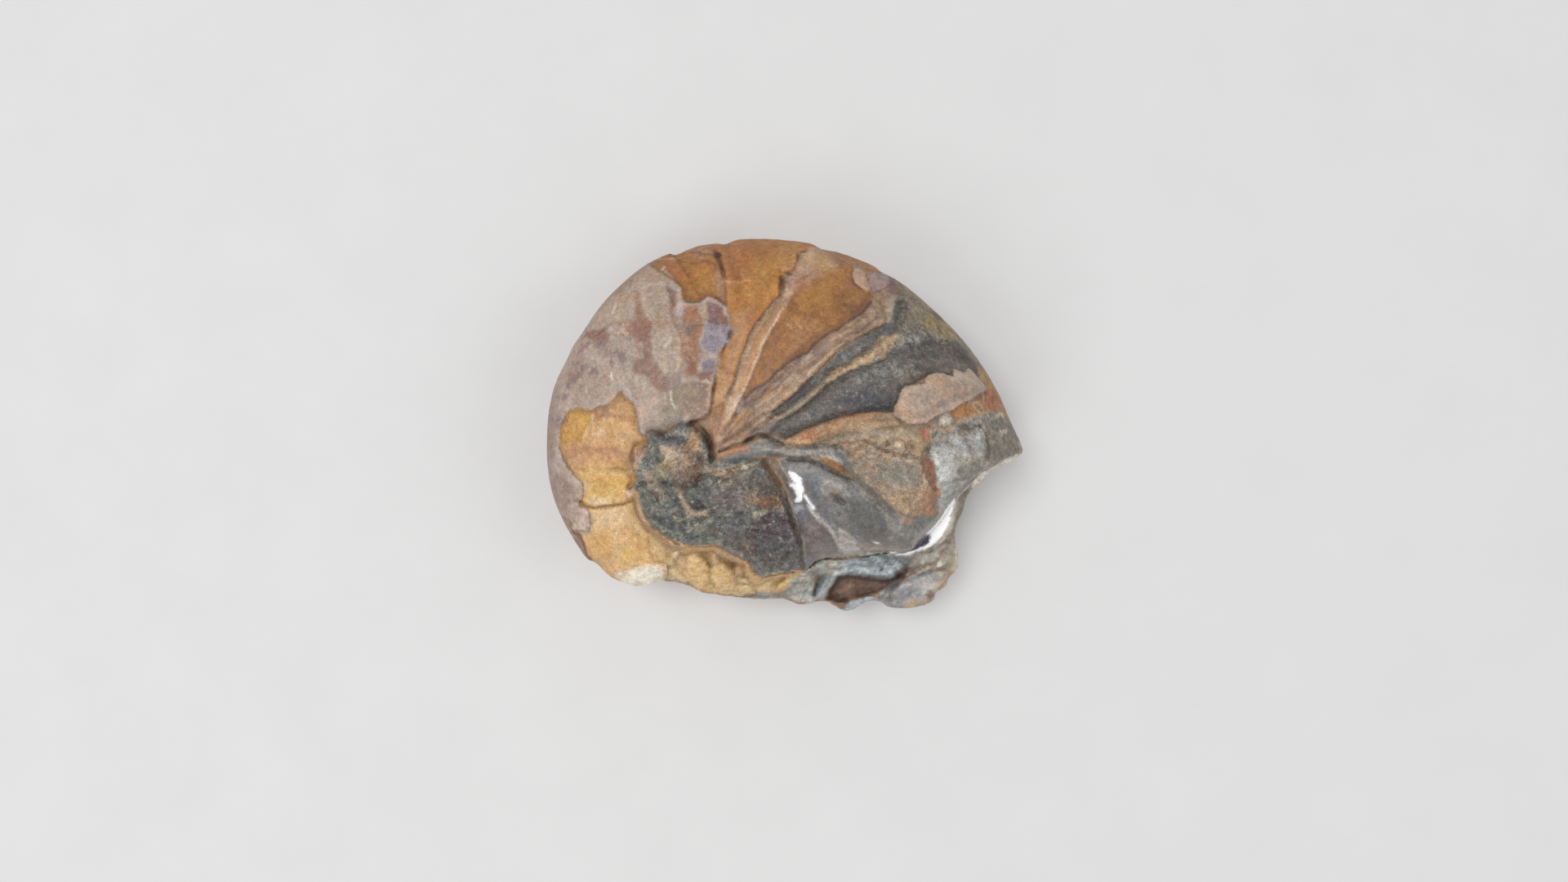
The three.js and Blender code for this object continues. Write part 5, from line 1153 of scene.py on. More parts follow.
    for line in ([(-5, 3.2), (-2.4, 4.6), (0, 6.6), (2, 8)], [(-4, 1.9), (-1, 3.4), (2, 6.2), (4.4, 8.6)],
                 [(10.6, 13.6), (13, 15), (14.6, 17), (14.8, 19)], [(12.8, 17.6), (13.6, 16.6),
                 (13.4, 15.6)]):
        p.stroke(line, (108, 84, 74), 0.2, fray=0.3, amount=0.75)
    p.stroke(border, (104, 76, 66), 0.34, amount=0.85, rise=-0.1)
    p.fill([(13, 19.6), (14.8, 19.6), (15, 16), (13.8, 15.6), (13, 17.4)], (166, 142, 118), soft=0.25,
           fray=0.4, amount=0.8, mottle=((146, 118, 96), 0.5, 0.42))
    p.fill([(15, 18.9), (16.8, 18.9), (17.2, 17.2), (15.9, 15.4), (14.9, 15.2)], (164, 152, 136), soft=0.25,
           fray=0.35, mottle=((180, 168, 148), 0.6, 0.42))
    tongue = [(10.2, 22.9), (10.9, 23), (11.6, 22.5), (11.9, 21.5), (12.7, 20.7), (12.3, 19.9),
              (11.3, 20.4), (10.5, 21.2), (10.1, 22.1)]
    p.fill(tongue, (182, 150, 130), soft=0.1, fray=0.15, rise=0.06)
    p.edge(tongue, (206, 176, 150), fray=0.15, amount=0.7)
    p.stroke([(9.9, 22.9), (9.9, 22), (10.4, 21), (11.2, 20.2)], (112, 72, 48), 0.24)
    flake = [(12.1, 22), (13.4, 22.7), (14.8, 22.6), (15.6, 22), (15.4, 20.8), (14.4, 19.9), (13.3, 19.6),
             (12.5, 20.6)]
    p.fill(flake, (158, 134, 132), soft=0.15, fray=0.25, rise=0.06, mottle=((174, 150, 140), 0.7, 0.4))
    p.edge(flake, (108, 82, 74), amount=0.7)
    p.fill([(15, 23.4), (15.6, 21.8), (15.2, 19.8), (17.8, 19), (19, 19.4), (17, 21.8)], (108, 84, 80),
           soft=0.25, amount=0.9, mottle=((132, 108, 98), 0.7, 0.4))
    for centre, size, turn, colour in (((5.2, 24), (2, 1.5), 0, (212, 168, 118)),
                                       ((6, 8.8), (1.8, 0.5), 40, (146, 126, 110)),
                                       ((10, 14), (1.8, 0.6), 38, (122, 98, 82))):
        p.blot(centre, size, colour, turn=turn, soft=0.6, fray=0.7, amount=0.6)


def paint_dark_chamber(p):
    """The charcoal bands with the pale vein between them, and what borders them towards the keel."""
    band = [(-8, 0.6), (-3, 1.2), (-1, 2.5), (1, 4), (3, 6), (5, 8), (6.2, 9.6), (8, 11), (9.5, 12.3),
            (12, 13.6), (14, 14.4), (15.5, 15.5), (16.8, 18.4), (17.6, 19.6), (17.8, 22), (19, 22),
            (24, 17), (30.4, 9), (29.5, 6), (27.4, 8), (25, 7.6), (21, 7), (18, 5.7), (16.3, 2), (13, 2.1),
            (10, 1.5), (7, 0.8), (4, -0.2), (2, -1.2), (0, -2), (-3, -1.2)]
    p.fill(band, (120, 114, 107), soft=0.12, fray=0.2, rough=0.55, mottle=((102, 98, 95), 1.6, 0.42),
           streaky=True)
    p.dapple(band, [(136, 132, 122), (78, 78, 80), (124, 112, 98)], 0.7, amount=0.6, streaky=True, seed=44)
    p.dapple(band, [(158, 152, 140), (66, 66, 68)], 0.35, amount=0.55, seed=45)
    p.dapple([(1, 3), (6, 8.6), (12, 12.6), (16, 12), (20, 10), (18, 6.6), (12, 6.6), (6, 4.4)],
             [(150, 148, 140)], 1.1, fray=0.6, amount=0.6, seed=56)
    p.fill([(0, 1.2), (3.4, 3), (7, 6), (10, 7.4), (15, 8), (18, 6.4), (16.6, 2.4), (10, 1.8), (4, 0),
            (0, -1.6)], (104, 101, 99), soft=0.8, fray=0.6, amount=0.5)
    p.fill([(7, 3), (10, 4.8), (16.6, 5), (16.6, 2.4), (10, 2)], (70, 72, 82), soft=0.9, fray=0.7,
           amount=0.75)
    p.fill([(18.4, 9.6), (24, 9.4), (28, 9.6), (26.6, 11.4), (23, 12.2), (19.6, 13.4), (17.4, 12)],
           (88, 84, 82), soft=0.7, fray=0.6, amount=0.75)
    p.fill([(21, 10.2), (27.6, 8.8), (26.6, 8), (25, 7.6), (21, 7.2), (20.4, 8.4)], (118, 110, 100),
           amount=0.75)
    upper = [(0.2, 3.2), (3, 5.8), (5, 7.8), (7, 9.6), (10, 11.4), (13, 13.6), (15.6, 15.2), (16.6, 14.2),
             (14, 13.2), (11.6, 11.2), (9, 9), (6.6, 7.8), (4.4, 5.8), (1.4, 3)]
    p.fill(upper, (112, 110, 106), soft=0.25, fray=0.3, amount=0.8, mottle=((92, 93, 95), 0.8, 0.4),
           streaky=True)
    p.speckle(band, (158, 154, 142), 0.62, 0.3)
    p.speckle(band, (172, 168, 156), 0.9, 0.2, amount=0.55, seed=15)
    p.speckle(band, (66, 66, 70), 0.8, 0.28, seed=16)
    for centre, size in (((8.8, 9.9), (1, 0.8)), ((11.4, 12.2), (1.2, 0.7)), ((13.4, 8.4), (1.3, 0.7)),
                         ((11, 7), (1.4, 0.6)), ((16.4, 9.4), (0.9, 1)), ((18.6, 12.4), (1.4, 1)),
                         ((5, 7), (1, 0.7)), ((14.4, 7.4), (1.1, 0.8)), ((3, 1.6), (1, 0.5))):
        p.blot(centre, size, (160, 160, 152), turn=30, soft=0.7, fray=0.9, amount=0.6,
               mottle=((98, 98, 98), 0.35, 0.45))
    rim = [(17.8, 22), (17.2, 19.4), (18.6, 18.4), (20.6, 17.4), (23, 14), (26.6, 11.2), (29.3, 8),
           (31, 8.4), (24, 17)]
    p.fill(rim, (150, 133, 104), soft=0.6, fray=0.6, amount=0.85, mottle=((118, 106, 88), 0.9, 0.45))
    p.dapple([(17, 19.4), (19, 19.6), (24, 16), (29, 9.4), (26, 10), (20, 13.6), (17, 15)],
             [(176, 160, 126), (78, 72, 62), (150, 146, 132)], 0.4, fray=0.5, amount=0.6, seed=57)
    p.fill([(20.6, 15.2), (22, 16.6), (23.4, 15.6), (25, 13.8), (25, 12.6), (22, 13.4)], (168, 146, 94),
           soft=0.5, fray=0.8, amount=0.85, mottle=((124, 108, 78), 0.6, 0.42))
    p.fill([(18.4, 17.6), (19.8, 18.4), (21, 17.4), (20.2, 15.6), (18, 15.4)], (150, 136, 108), fray=0.7,
           amount=0.75)
    p.fill([(16.8, 18.9), (18, 19.2), (18.6, 18), (17.4, 16.4), (16.6, 15.2), (15.6, 15.2)], (80, 79, 76),
           soft=0.45, fray=0.6, amount=0.85, mottle=((124, 118, 104), 0.5, 0.4))
    p.blot((22.6, 16.3), (1.2, 0.4), (96, 78, 56), turn=-35)
    p.fill([(25, 12.6), (28, 9.8), (29.4, 8), (28.6, 7.4), (26.6, 9.6), (24, 11.6)], (84, 78, 74),
           soft=0.35, fray=0.4, amount=0.85)
    p.stroke([(17.2, 15), (19.6, 16.4), (21.4, 16)], (104, 98, 88), 0.4, soft=0.3, fray=0.6, amount=0.6)
    vein = [(16.9, 13.9), (15.6, 13.7), (14, 13.1), (12.6, 11.4), (11, 10), (9.5, 9), (7.6, 8), (5.8, 6.7),
            (4.6, 5.2), (3.2, 3.9), (1.8, 2.9), (-1, 1.2), (-4, 0.4), (-1, 0.7), (1.8, 2.2), (3.2, 3.2),
            (4.8, 4.5), (6, 6), (8.2, 7.4), (10.2, 8.5), (11.8, 8.9), (13.4, 9.6), (15, 9.9), (16, 11.6)]
    p.fill(vein, (182, 157, 126), soft=0.2, fray=0.4, rise=0.1, mottle=((154, 132, 108), 0.6, 0.45))
    p.dapple(vein, [(200, 180, 150), (128, 108, 88)], 0.5, seed=42)
    p.fill([(-3, 0.2), (1.8, 3.2), (5.6, 7), (6.6, 6), (3.4, 2.8), (0, 0.6)], (128, 120, 108), fray=0.4,
           amount=0.75)
    p.stroke([(0.4, 1.9), (2.6, 3.1), (4.8, 4.9)], (176, 166, 148), 0.14, amount=0.7)
    p.stroke([(10.2, 9.1), (12.6, 9.9), (14.8, 12), (16.4, 13.4)], (204, 178, 138), 0.4, soft=0.3, fray=0.3,
             amount=0.7)
    p.stroke([(12.6, 11.2), (14.2, 12.6), (16.2, 13.5)], (158, 128, 96), 0.25, fray=0.3, amount=0.7)
    p.stroke([(-1, 0.5), (1.8, 1.9), (3.4, 3), (5, 4.3), (6.2, 5.8), (8.2, 7.1), (11.8, 8.6), (15, 9.6),
              (16.2, 11)], (72, 66, 62), 0.26, amount=0.75)
    p.stroke([(-3, 1.3), (-1, 2.5), (1, 4), (3, 6), (5, 8), (8, 11), (12, 13.6), (15, 15)], (84, 70, 64),
             0.26, rise=-0.1)
    p.stroke([(5.4, 6.6), (8, 8.4), (10.4, 9.7), (13, 12.4)], (112, 92, 76), 0.2, fray=0.25, amount=0.7)
    p.stroke([(16.8, 5.2), (19.4, 6.3), (21, 7.4), (24.4, 7.6)], (70, 64, 60), 0.4, amount=0.7)


def paint_mouth_side(p):
    """The upper flank from the orange band to the tip at the mouth, above the last septum."""
    field = [(-2, -3.2), (0, -2), (4, -0.3), (8, 1.2), (16.3, 1.8), (20, 0), (24, 1.8), (27.5, 3.4),
             (30, 5.2), (31.4, 8), (37, 1), (37, -6), (28, -10), (22, -17), (18, -15.2), (13, -10.6),
             (8, -7.2), (3, -4.8)]
    p.fill(field, (158, 136, 114), soft=0.3, fray=0.2, mottle=((142, 128, 110), 1.5, 0.45))
    p.dapple(field, [(176, 148, 116), (128, 116, 102), (168, 128, 98)], 0.8, seed=46)
    grey_green = [(22, 1), (25, 0.2), (28.5, 1.6), (33, 3), (37, -2), (35.6, -4.4), (31.5, -6.2),
                  (29, -7.6), (26, -10.6), (23.6, -13.8), (22.6, -12.4), (22.9, -8.6), (21.8, -5),
                  (21.6, -2.4)]
    p.fill(grey_green, (160, 156, 145), soft=0.3, fray=0.4, mottle=((136, 132, 120), 0.9, 0.42))
    p.dapple(grey_green, [(112, 106, 96), (180, 178, 170), (148, 134, 112)], 0.6, seed=47)
    p.fill([(22.6, -2.6), (25, -2.8), (25, -6), (24.8, -9), (23, -9)], (188, 186, 178), soft=0.8, fray=0.6,
           amount=0.75, mottle=((160, 156, 146), 0.5, 0.42))
    p.speckle(grey_green, (100, 96, 88), 0.7, 0.28)
    p.speckle([(22, 1), (29, 1), (33, -1), (24, -2)], (84, 80, 74), 1.1, 0.36, amount=0.65, seed=18)
    for centre, size, turn in (((23.3, -4.4), (1, 1.9), 8), ((23.2, -7.4), (0.8, 1.9), 0),
                               ((23.4, -11), (0.7, 1.6), 0), ((25.2, -3), (0.6, 0.9), 20),
                               ((26.3, -3.8), (0.6, 0.7), 0), ((29, -2.6), (0.6, 1.5), -8),
                               ((24.6, -8.8), (0.5, 1.4), -10), ((27.6, -1.7), (0.6, 0.4), 0)):
        p.blot(centre, size, (186, 190, 190), turn=turn, soft=0.6, fray=0.8, mottle=((160, 162, 160), 0.6,
               0.4))
    for centre, size in (((26.9, -0.2), (0.9, 0.4)), ((31.4, 0.2), (0.7, 0.6)), ((26.2, -6.6), (0.8, 0.5)),
                         ((28.4, -0.2), (0.7, 0.3)), ((22.5, -1.6), (0.5, 0.4)),
                         ((21.4, -3.8), (0.4, 0.6))):
        p.blot(centre, size, (86, 82, 76), fray=0.6, amount=0.75)
    p.fill([(25.4, -6.2), (29.8, -5.2), (29.4, -7), (27.6, -8.6), (26, -8)], (150, 147, 139), soft=0.5,
           fray=0.6, amount=0.7, mottle=((128, 126, 119), 0.6, 0.42))
    p.fill([(25.4, -8.2), (27.2, -8.6), (28.6, -7.8), (26.6, -10.2), (24.8, -11.6), (24.2, -11)],
           (172, 170, 164), amount=0.75, mottle=((146, 143, 137), 0.6, 0.42))
    p.stroke([(28.9, -7.3), (27.6, -8.5), (26.6, -9.4)], (104, 100, 96), 0.24, fray=0.3, amount=0.7)
    tip = [(30.2, -1), (31.2, 1.2), (33, 1.2), (36.4, -3), (35.4, -4.3), (33, -4.8), (31.4, -6),
           (30.1, -5.4), (30, -3)]
    p.fill(tip, (136, 130, 120), soft=0.12, fray=0.3, mottle=((118, 112, 102), 0.8, 0.42))
    p.dapple(tip, [(156, 144, 118), (96, 92, 86)], 0.6, seed=48)
    p.fill([(30.6, -3.4), (32, -3.2), (33.4, -4.6), (30.6, -5.6)], (112, 106, 98), fray=0.4, amount=0.6)
    p.stroke([(29.9, -1.3), (30.2, -2.5), (30.4, -3.8), (30.2, -5)], (112, 104, 94), 0.3, amount=0.7,
             rise=-0.15)
    for place in ((32.6, -1.2), (31.8, 1.4)):
        p.blot(place, (0.6, 0.4), (206, 194, 176), turn=35, amount=0.75)
    p.stroke([(34.9, -2.6), (35.1, -3.4), (34.9, -4.2)], (178, 158, 130), 0.4)
    bevel = [(35.4, -4.3), (33, -4.9), (31.5, -6), (30, -6.9), (29, -7.3), (28.3, -8.2), (27.6, -9.1),
             (28.4, -9.6), (30.4, -7.4), (35.2, -5)]
    p.fill(bevel, (226, 220, 208), soft=0.12, fray=0.1, mottle=((206, 194, 176), 0.8, 0.35))
    brown = [(24.9, 2.6), (26.4, 3.2), (28, 3.6), (29.6, 5), (31.2, 5.4), (32.6, 3.4), (33.6, 0.8),
             (31.6, 1.8), (29.4, 1.9), (28.4, 1.5), (26.4, 1.2), (24.6, 0.8)]
    p.fill(brown, (170, 130, 96), soft=0.12, fray=0.35, mottle=((156, 118, 88), 0.8, 0.4))
    p.fill([(25, 2.7), (27.3, 3.4), (28, 3), (27.6, 1.7), (25.4, 1.3)], (176, 126, 80), soft=0.2, fray=0.3)
    p.fill([(29.7, 4.9), (31.4, 5.2), (32.2, 3.2), (30.8, 2), (29.6, 2.6)], (170, 112, 76), soft=0.25,
           fray=0.35, mottle=((148, 100, 72), 0.6, 0.42))
    for line in ([(27.6, 3.4), (28.6, 2), (29, 1.6)], [(28.2, 3.4), (29.4, 2.6)],
                 [(29.5, 5), (29.7, 3), (30.4, 2)]):
        p.stroke(line, (206, 180, 148), 0.22, fray=0.25, amount=0.7)
    p.fill([(28.7, 8.6), (30.2, 8.2), (31.6, 5.6), (30.2, 5.2), (29.2, 6.4)], (172, 138, 88), soft=0.12,
           fray=0.25, mottle=((154, 122, 82), 0.6, 0.4))
    p.stroke([(22, -0.2), (24, -0.9), (25.2, -0.3), (26.4, 0.8), (28, 1.3), (29.6, 1.7)], (184, 150, 112),
             0.4, fray=0.3, amount=0.85)
    p.stroke([(23, -0.6), (24.8, 0), (26.2, 1.1)], (140, 112, 84), 0.16, fray=0.3, amount=0.7)
    streak = [(3.4, -3), (6, -1.9), (9.5, -1), (13, -0.9), (16.4, -1), (16, -2), (12, -2.2), (8, -2.4),
              (5, -3)]
    p.fill(streak, (158, 144, 116), soft=0.3, mottle=((134, 124, 102), 0.7, 0.42), streaky=True)
    for line, width in (([(5.6, -3.3), (8, -2.8), (10.4, -2.5), (12.2, -2.3)], 0.34),
                        ([(9.6, -1.3), (11.6, -1.2)], 0.2), ([(12.6, -1.2), (14, -1.6), (16.2, -1.3)], 0.2),
                        ([(13.4, -3.4), (15.6, -4.2), (18.4, -4.5), (20.4, -5)], 0.3),
                        ([(9.4, -4.4), (11, -5.4), (13, -5)], 0.16), ([(11.4, -2.6), (13, -3.6)], 0.16)):
        p.stroke(line, (96, 86, 74), width, fray=0.4, amount=0.75)
    wedge = [(2, -3.3), (5, -3), (8, -3.1), (9, -4.4), (10.4, -6.4), (9.5, -6.9), (8, -6.2), (6, -5),
             (3, -4.7), (0, -4.7), (-1, -3.7)]
    p.fill(wedge, (164, 161, 153), soft=0.12, fray=0.25, mottle=((142, 140, 134), 0.6, 0.42))
    p.fill([(7.6, -3.4), (8.8, -4.4), (10, -6.2), (9, -5.8), (7.4, -4.4)], (108, 110, 112), soft=0.25,
           fray=0.3, amount=0.8)
    p.stroke([(8.8, -3.2), (9.6, -4.6), (10.2, -6)], (92, 90, 86), 0.2)
    p.fill([(5.2, -4.9), (6.2, -4.9), (8, -5.6), (9.3, -6.7), (8.9, -7.2), (7.6, -6.8), (6, -5.8)],
           (162, 118, 78), soft=0.15, fray=0.25, mottle=((142, 106, 76), 0.6, 0.4))
    p.stroke([(5, -5.1), (6.4, -6.2), (8.4, -7.4), (9.2, -7.4)], (96, 72, 54), 0.22)
    p.fill(ORANGE_BAND, (162, 123, 88), soft=0.12, fray=0.25, rise=0.08, mottle=((146, 114, 86), 0.9, 0.45),
           streaky=True)
    p.dapple(ORANGE_BAND, [(186, 154, 118), (138, 106, 80)], 0.6, streaky=True, seed=50)
    p.fill([(8, 0.2), (12, 0.8), (16.4, 0.4), (17, -0.8), (12, -0.8), (9, -0.8)], (162, 136, 108),
           amount=0.75)
    p.fill([(12.4, 1.6), (16.6, 1.8), (17, 0.4), (13, 0.4)], (134, 114, 94), fray=0.4, amount=0.8)
    p.blot((3.5, -1.7), (1.5, 0.6), (170, 112, 78), turn=24, amount=0.75)
    p.stroke([(1.4, -2.6), (4.6, -2.6), (6, -2)], (204, 168, 120), 0.22, fray=0.25, amount=0.7)
    p.stroke([(0, -2), (2, -1.2), (4, -0.2), (7, 0.8), (10, 1.5), (13, 2.1), (16.2, 1.9)], (78, 68, 60),
             0.26, fray=0.15, amount=0.75, rise=-0.12)
    middle = [(9.5, -3.2), (13, -2.6), (17, -3.6), (21, -4), (21.4, -6), (22, -10), (20, -13.5),
              (17, -13.4), (13, -10.4), (10, -7)]
    p.fill(middle, (160, 138, 116), soft=0.6, amount=0.8, mottle=((142, 122, 104), 0.8, 0.42))
    p.dapple(middle, [(190, 166, 136), (112, 100, 86), (150, 150, 140), (178, 134, 98)], 0.5, amount=0.6,
             seed=49)
    p.dapple(middle, [(206, 188, 160), (96, 84, 72)], 0.35, amount=0.45, seed=59)
    p.speckle(middle, (206, 190, 164), 0.7, 0.24, seed=24)
    p.speckle(middle, (88, 76, 64), 0.8, 0.22, seed=25)
    p.fill([(12, -0.6), (18, -0.4), (20.2, -1.4), (20.6, -4.4), (16, -3.6), (12, -2.6)], (168, 142, 110),
           fray=0.6, amount=0.8, mottle=((148, 122, 94), 0.6, 0.42))
    p.blot((15.1, -3), (0.7, 0.6), (112, 98, 84), amount=0.85)
    p.edge([(14.6, -2.5), (15.8, -2.6), (15.8, -3.5), (14.5, -3.5)], (196, 176, 146))
    p.fill([(16.4, -2.2), (17.6, -2.8), (17.5, -3.8), (16.2, -3.2)], (206, 190, 162), soft=0.2, amount=0.8)
    p.stroke([(18, -2.8), (17.8, -3.8), (18.8, -4.2)], (88, 72, 60), 0.2, fray=0.3)
    p.fill([(15.6, -6.4), (19.6, -5.9), (20.2, -8.6), (17.6, -9.2), (14.4, -8)], (138, 138, 126), fray=0.7,
           amount=0.85, mottle=((122, 120, 110), 0.6, 0.42))
    p.stroke([(18.1, -6.6), (18.1, -7.6), (18.6, -8.4), (18.8, -9.2)], (186, 186, 178), 0.5, soft=0.25,
             fray=0.5, amount=0.75)
    p.speckle([(11, -6), (16, -5.4), (15, -8), (12, -8)], (222, 216, 200), 1.1, 0.16, amount=0.8, seed=20)
    p.fill([(14.5, -9.2), (16.6, -8.9), (19, -9.6), (20.2, -10.4), (20, -11.8), (19, -12.7), (17, -12.9),
            (15.8, -12.2), (15, -10.8)], (180, 154, 124), soft=0.25, fray=0.4, mottle=((160, 136, 112), 0.7,
           0.42))
    p.fill([(17, -10), (19.4, -10.4), (18.6, -12.2), (16.8, -11.8)], (172, 134, 98), fray=0.6, amount=0.6)
    p.dapple([(14, -8.6), (20.6, -9), (22.4, -13.6), (20, -13.2), (15.4, -12)],
             [(200, 178, 148), (134, 110, 88)], 0.5, seed=66)
    p.fill([(20.4, -9.6), (22.4, -9.6), (22.5, -13.6), (21.4, -13.4), (20.4, -11.6)], (162, 124, 96),
           soft=0.35, amount=0.8)
    p.fill([(17, -13), (19.4, -13), (21, -13.6), (21.4, -15), (20, -15.4), (18.4, -14.6)], (112, 110, 106),
           fray=0.6, amount=0.85, mottle=((130, 126, 118), 0.5, 0.42))
    stripe = [(20.4, -5), (21.6, -5), (22.5, -7.5), (22.6, -9.8), (22, -9.4), (21.3, -8), (20.6, -6.5)]
    p.fill(stripe, (162, 118, 96), soft=0.15, fray=0.2, mottle=((146, 102, 84), 0.7, 0.42))
    p.stroke([(20.3, -5), (20.6, -6.6), (21.3, -8.2), (22.2, -9.9)], (106, 78, 66), 0.26, amount=0.85)
    p.fill([(19.9, -0.4), (21.2, -0.4), (21.7, -1.5), (21.8, -2.7), (21, -2.5), (20.2, -1.6)],
           (166, 116, 92), soft=0.2, fray=0.35)
    p.stroke([(9, -6.8), (11, -7.6), (13, -9), (15.4, -10.6)], (116, 102, 86), 0.25, fray=0.4, amount=0.6)
    for line in ([(11, -4), (14, -5.4), (17.6, -5.4)], [(10.4, -5.6), (13, -6.6), (14.8, -7.8)],
                 [(12.6, -8), (14.6, -9.6), (16, -11.8)], [(18.8, -0.9), (19.4, -2.4), (20.2, -3.6)]):
        p.stroke(line, (190, 166, 134), 0.18, fray=0.5, amount=0.6)
    for line in ([(10.6, -7.4), (12.6, -8.4), (14.2, -8)], [(20.4, -4.6), (21, -4), (21.6, -4)],
                 [(16.4, -12.8), (17.8, -13.2), (19, -12.6), (20.2, -12)]):
        p.stroke(line, (92, 82, 74), 0.24, fray=0.4, amount=0.7)
    p.fill(FLAKE, (178, 157, 140), soft=0.06, fray=0.06, rough=0.5, rise=0.14, mottle=((168, 145, 128), 1.4,
           0.4))
    p.dapple(FLAKE, [(186, 164, 148), (166, 144, 128)], 0.5, fray=0.1, amount=0.2, seed=58)
    p.fill([(20.4, 1.2), (22.2, 1.6), (24.4, 3), (26.4, 3.8), (29.4, 5.1), (29.7, 5.7), (26, 4.8),
            (23, 3.6)], (148, 136, 126), soft=0.35, fray=0.3, amount=0.8)
    p.fill([(21.2, 7), (24.4, 7.2), (23, 6), (21.2, 6.2)], (184, 150, 120), soft=0.3, fray=0.3, amount=0.6)
    p.stroke([(25, 7), (25.6, 7.2), (26.6, 7), (28.2, 6.4)], (188, 178, 162), 0.5, soft=0.3, amount=0.6)
    p.edge(FLAKE, (118, 98, 84), width=0.12, fray=0.06)
    p.blot((23.8, 0.75), (1, 0.95), (190, 182, 166), soft=0.14, fray=0.12, amount=1,
           mottle=((174, 164, 146), 0.5, 0.4))


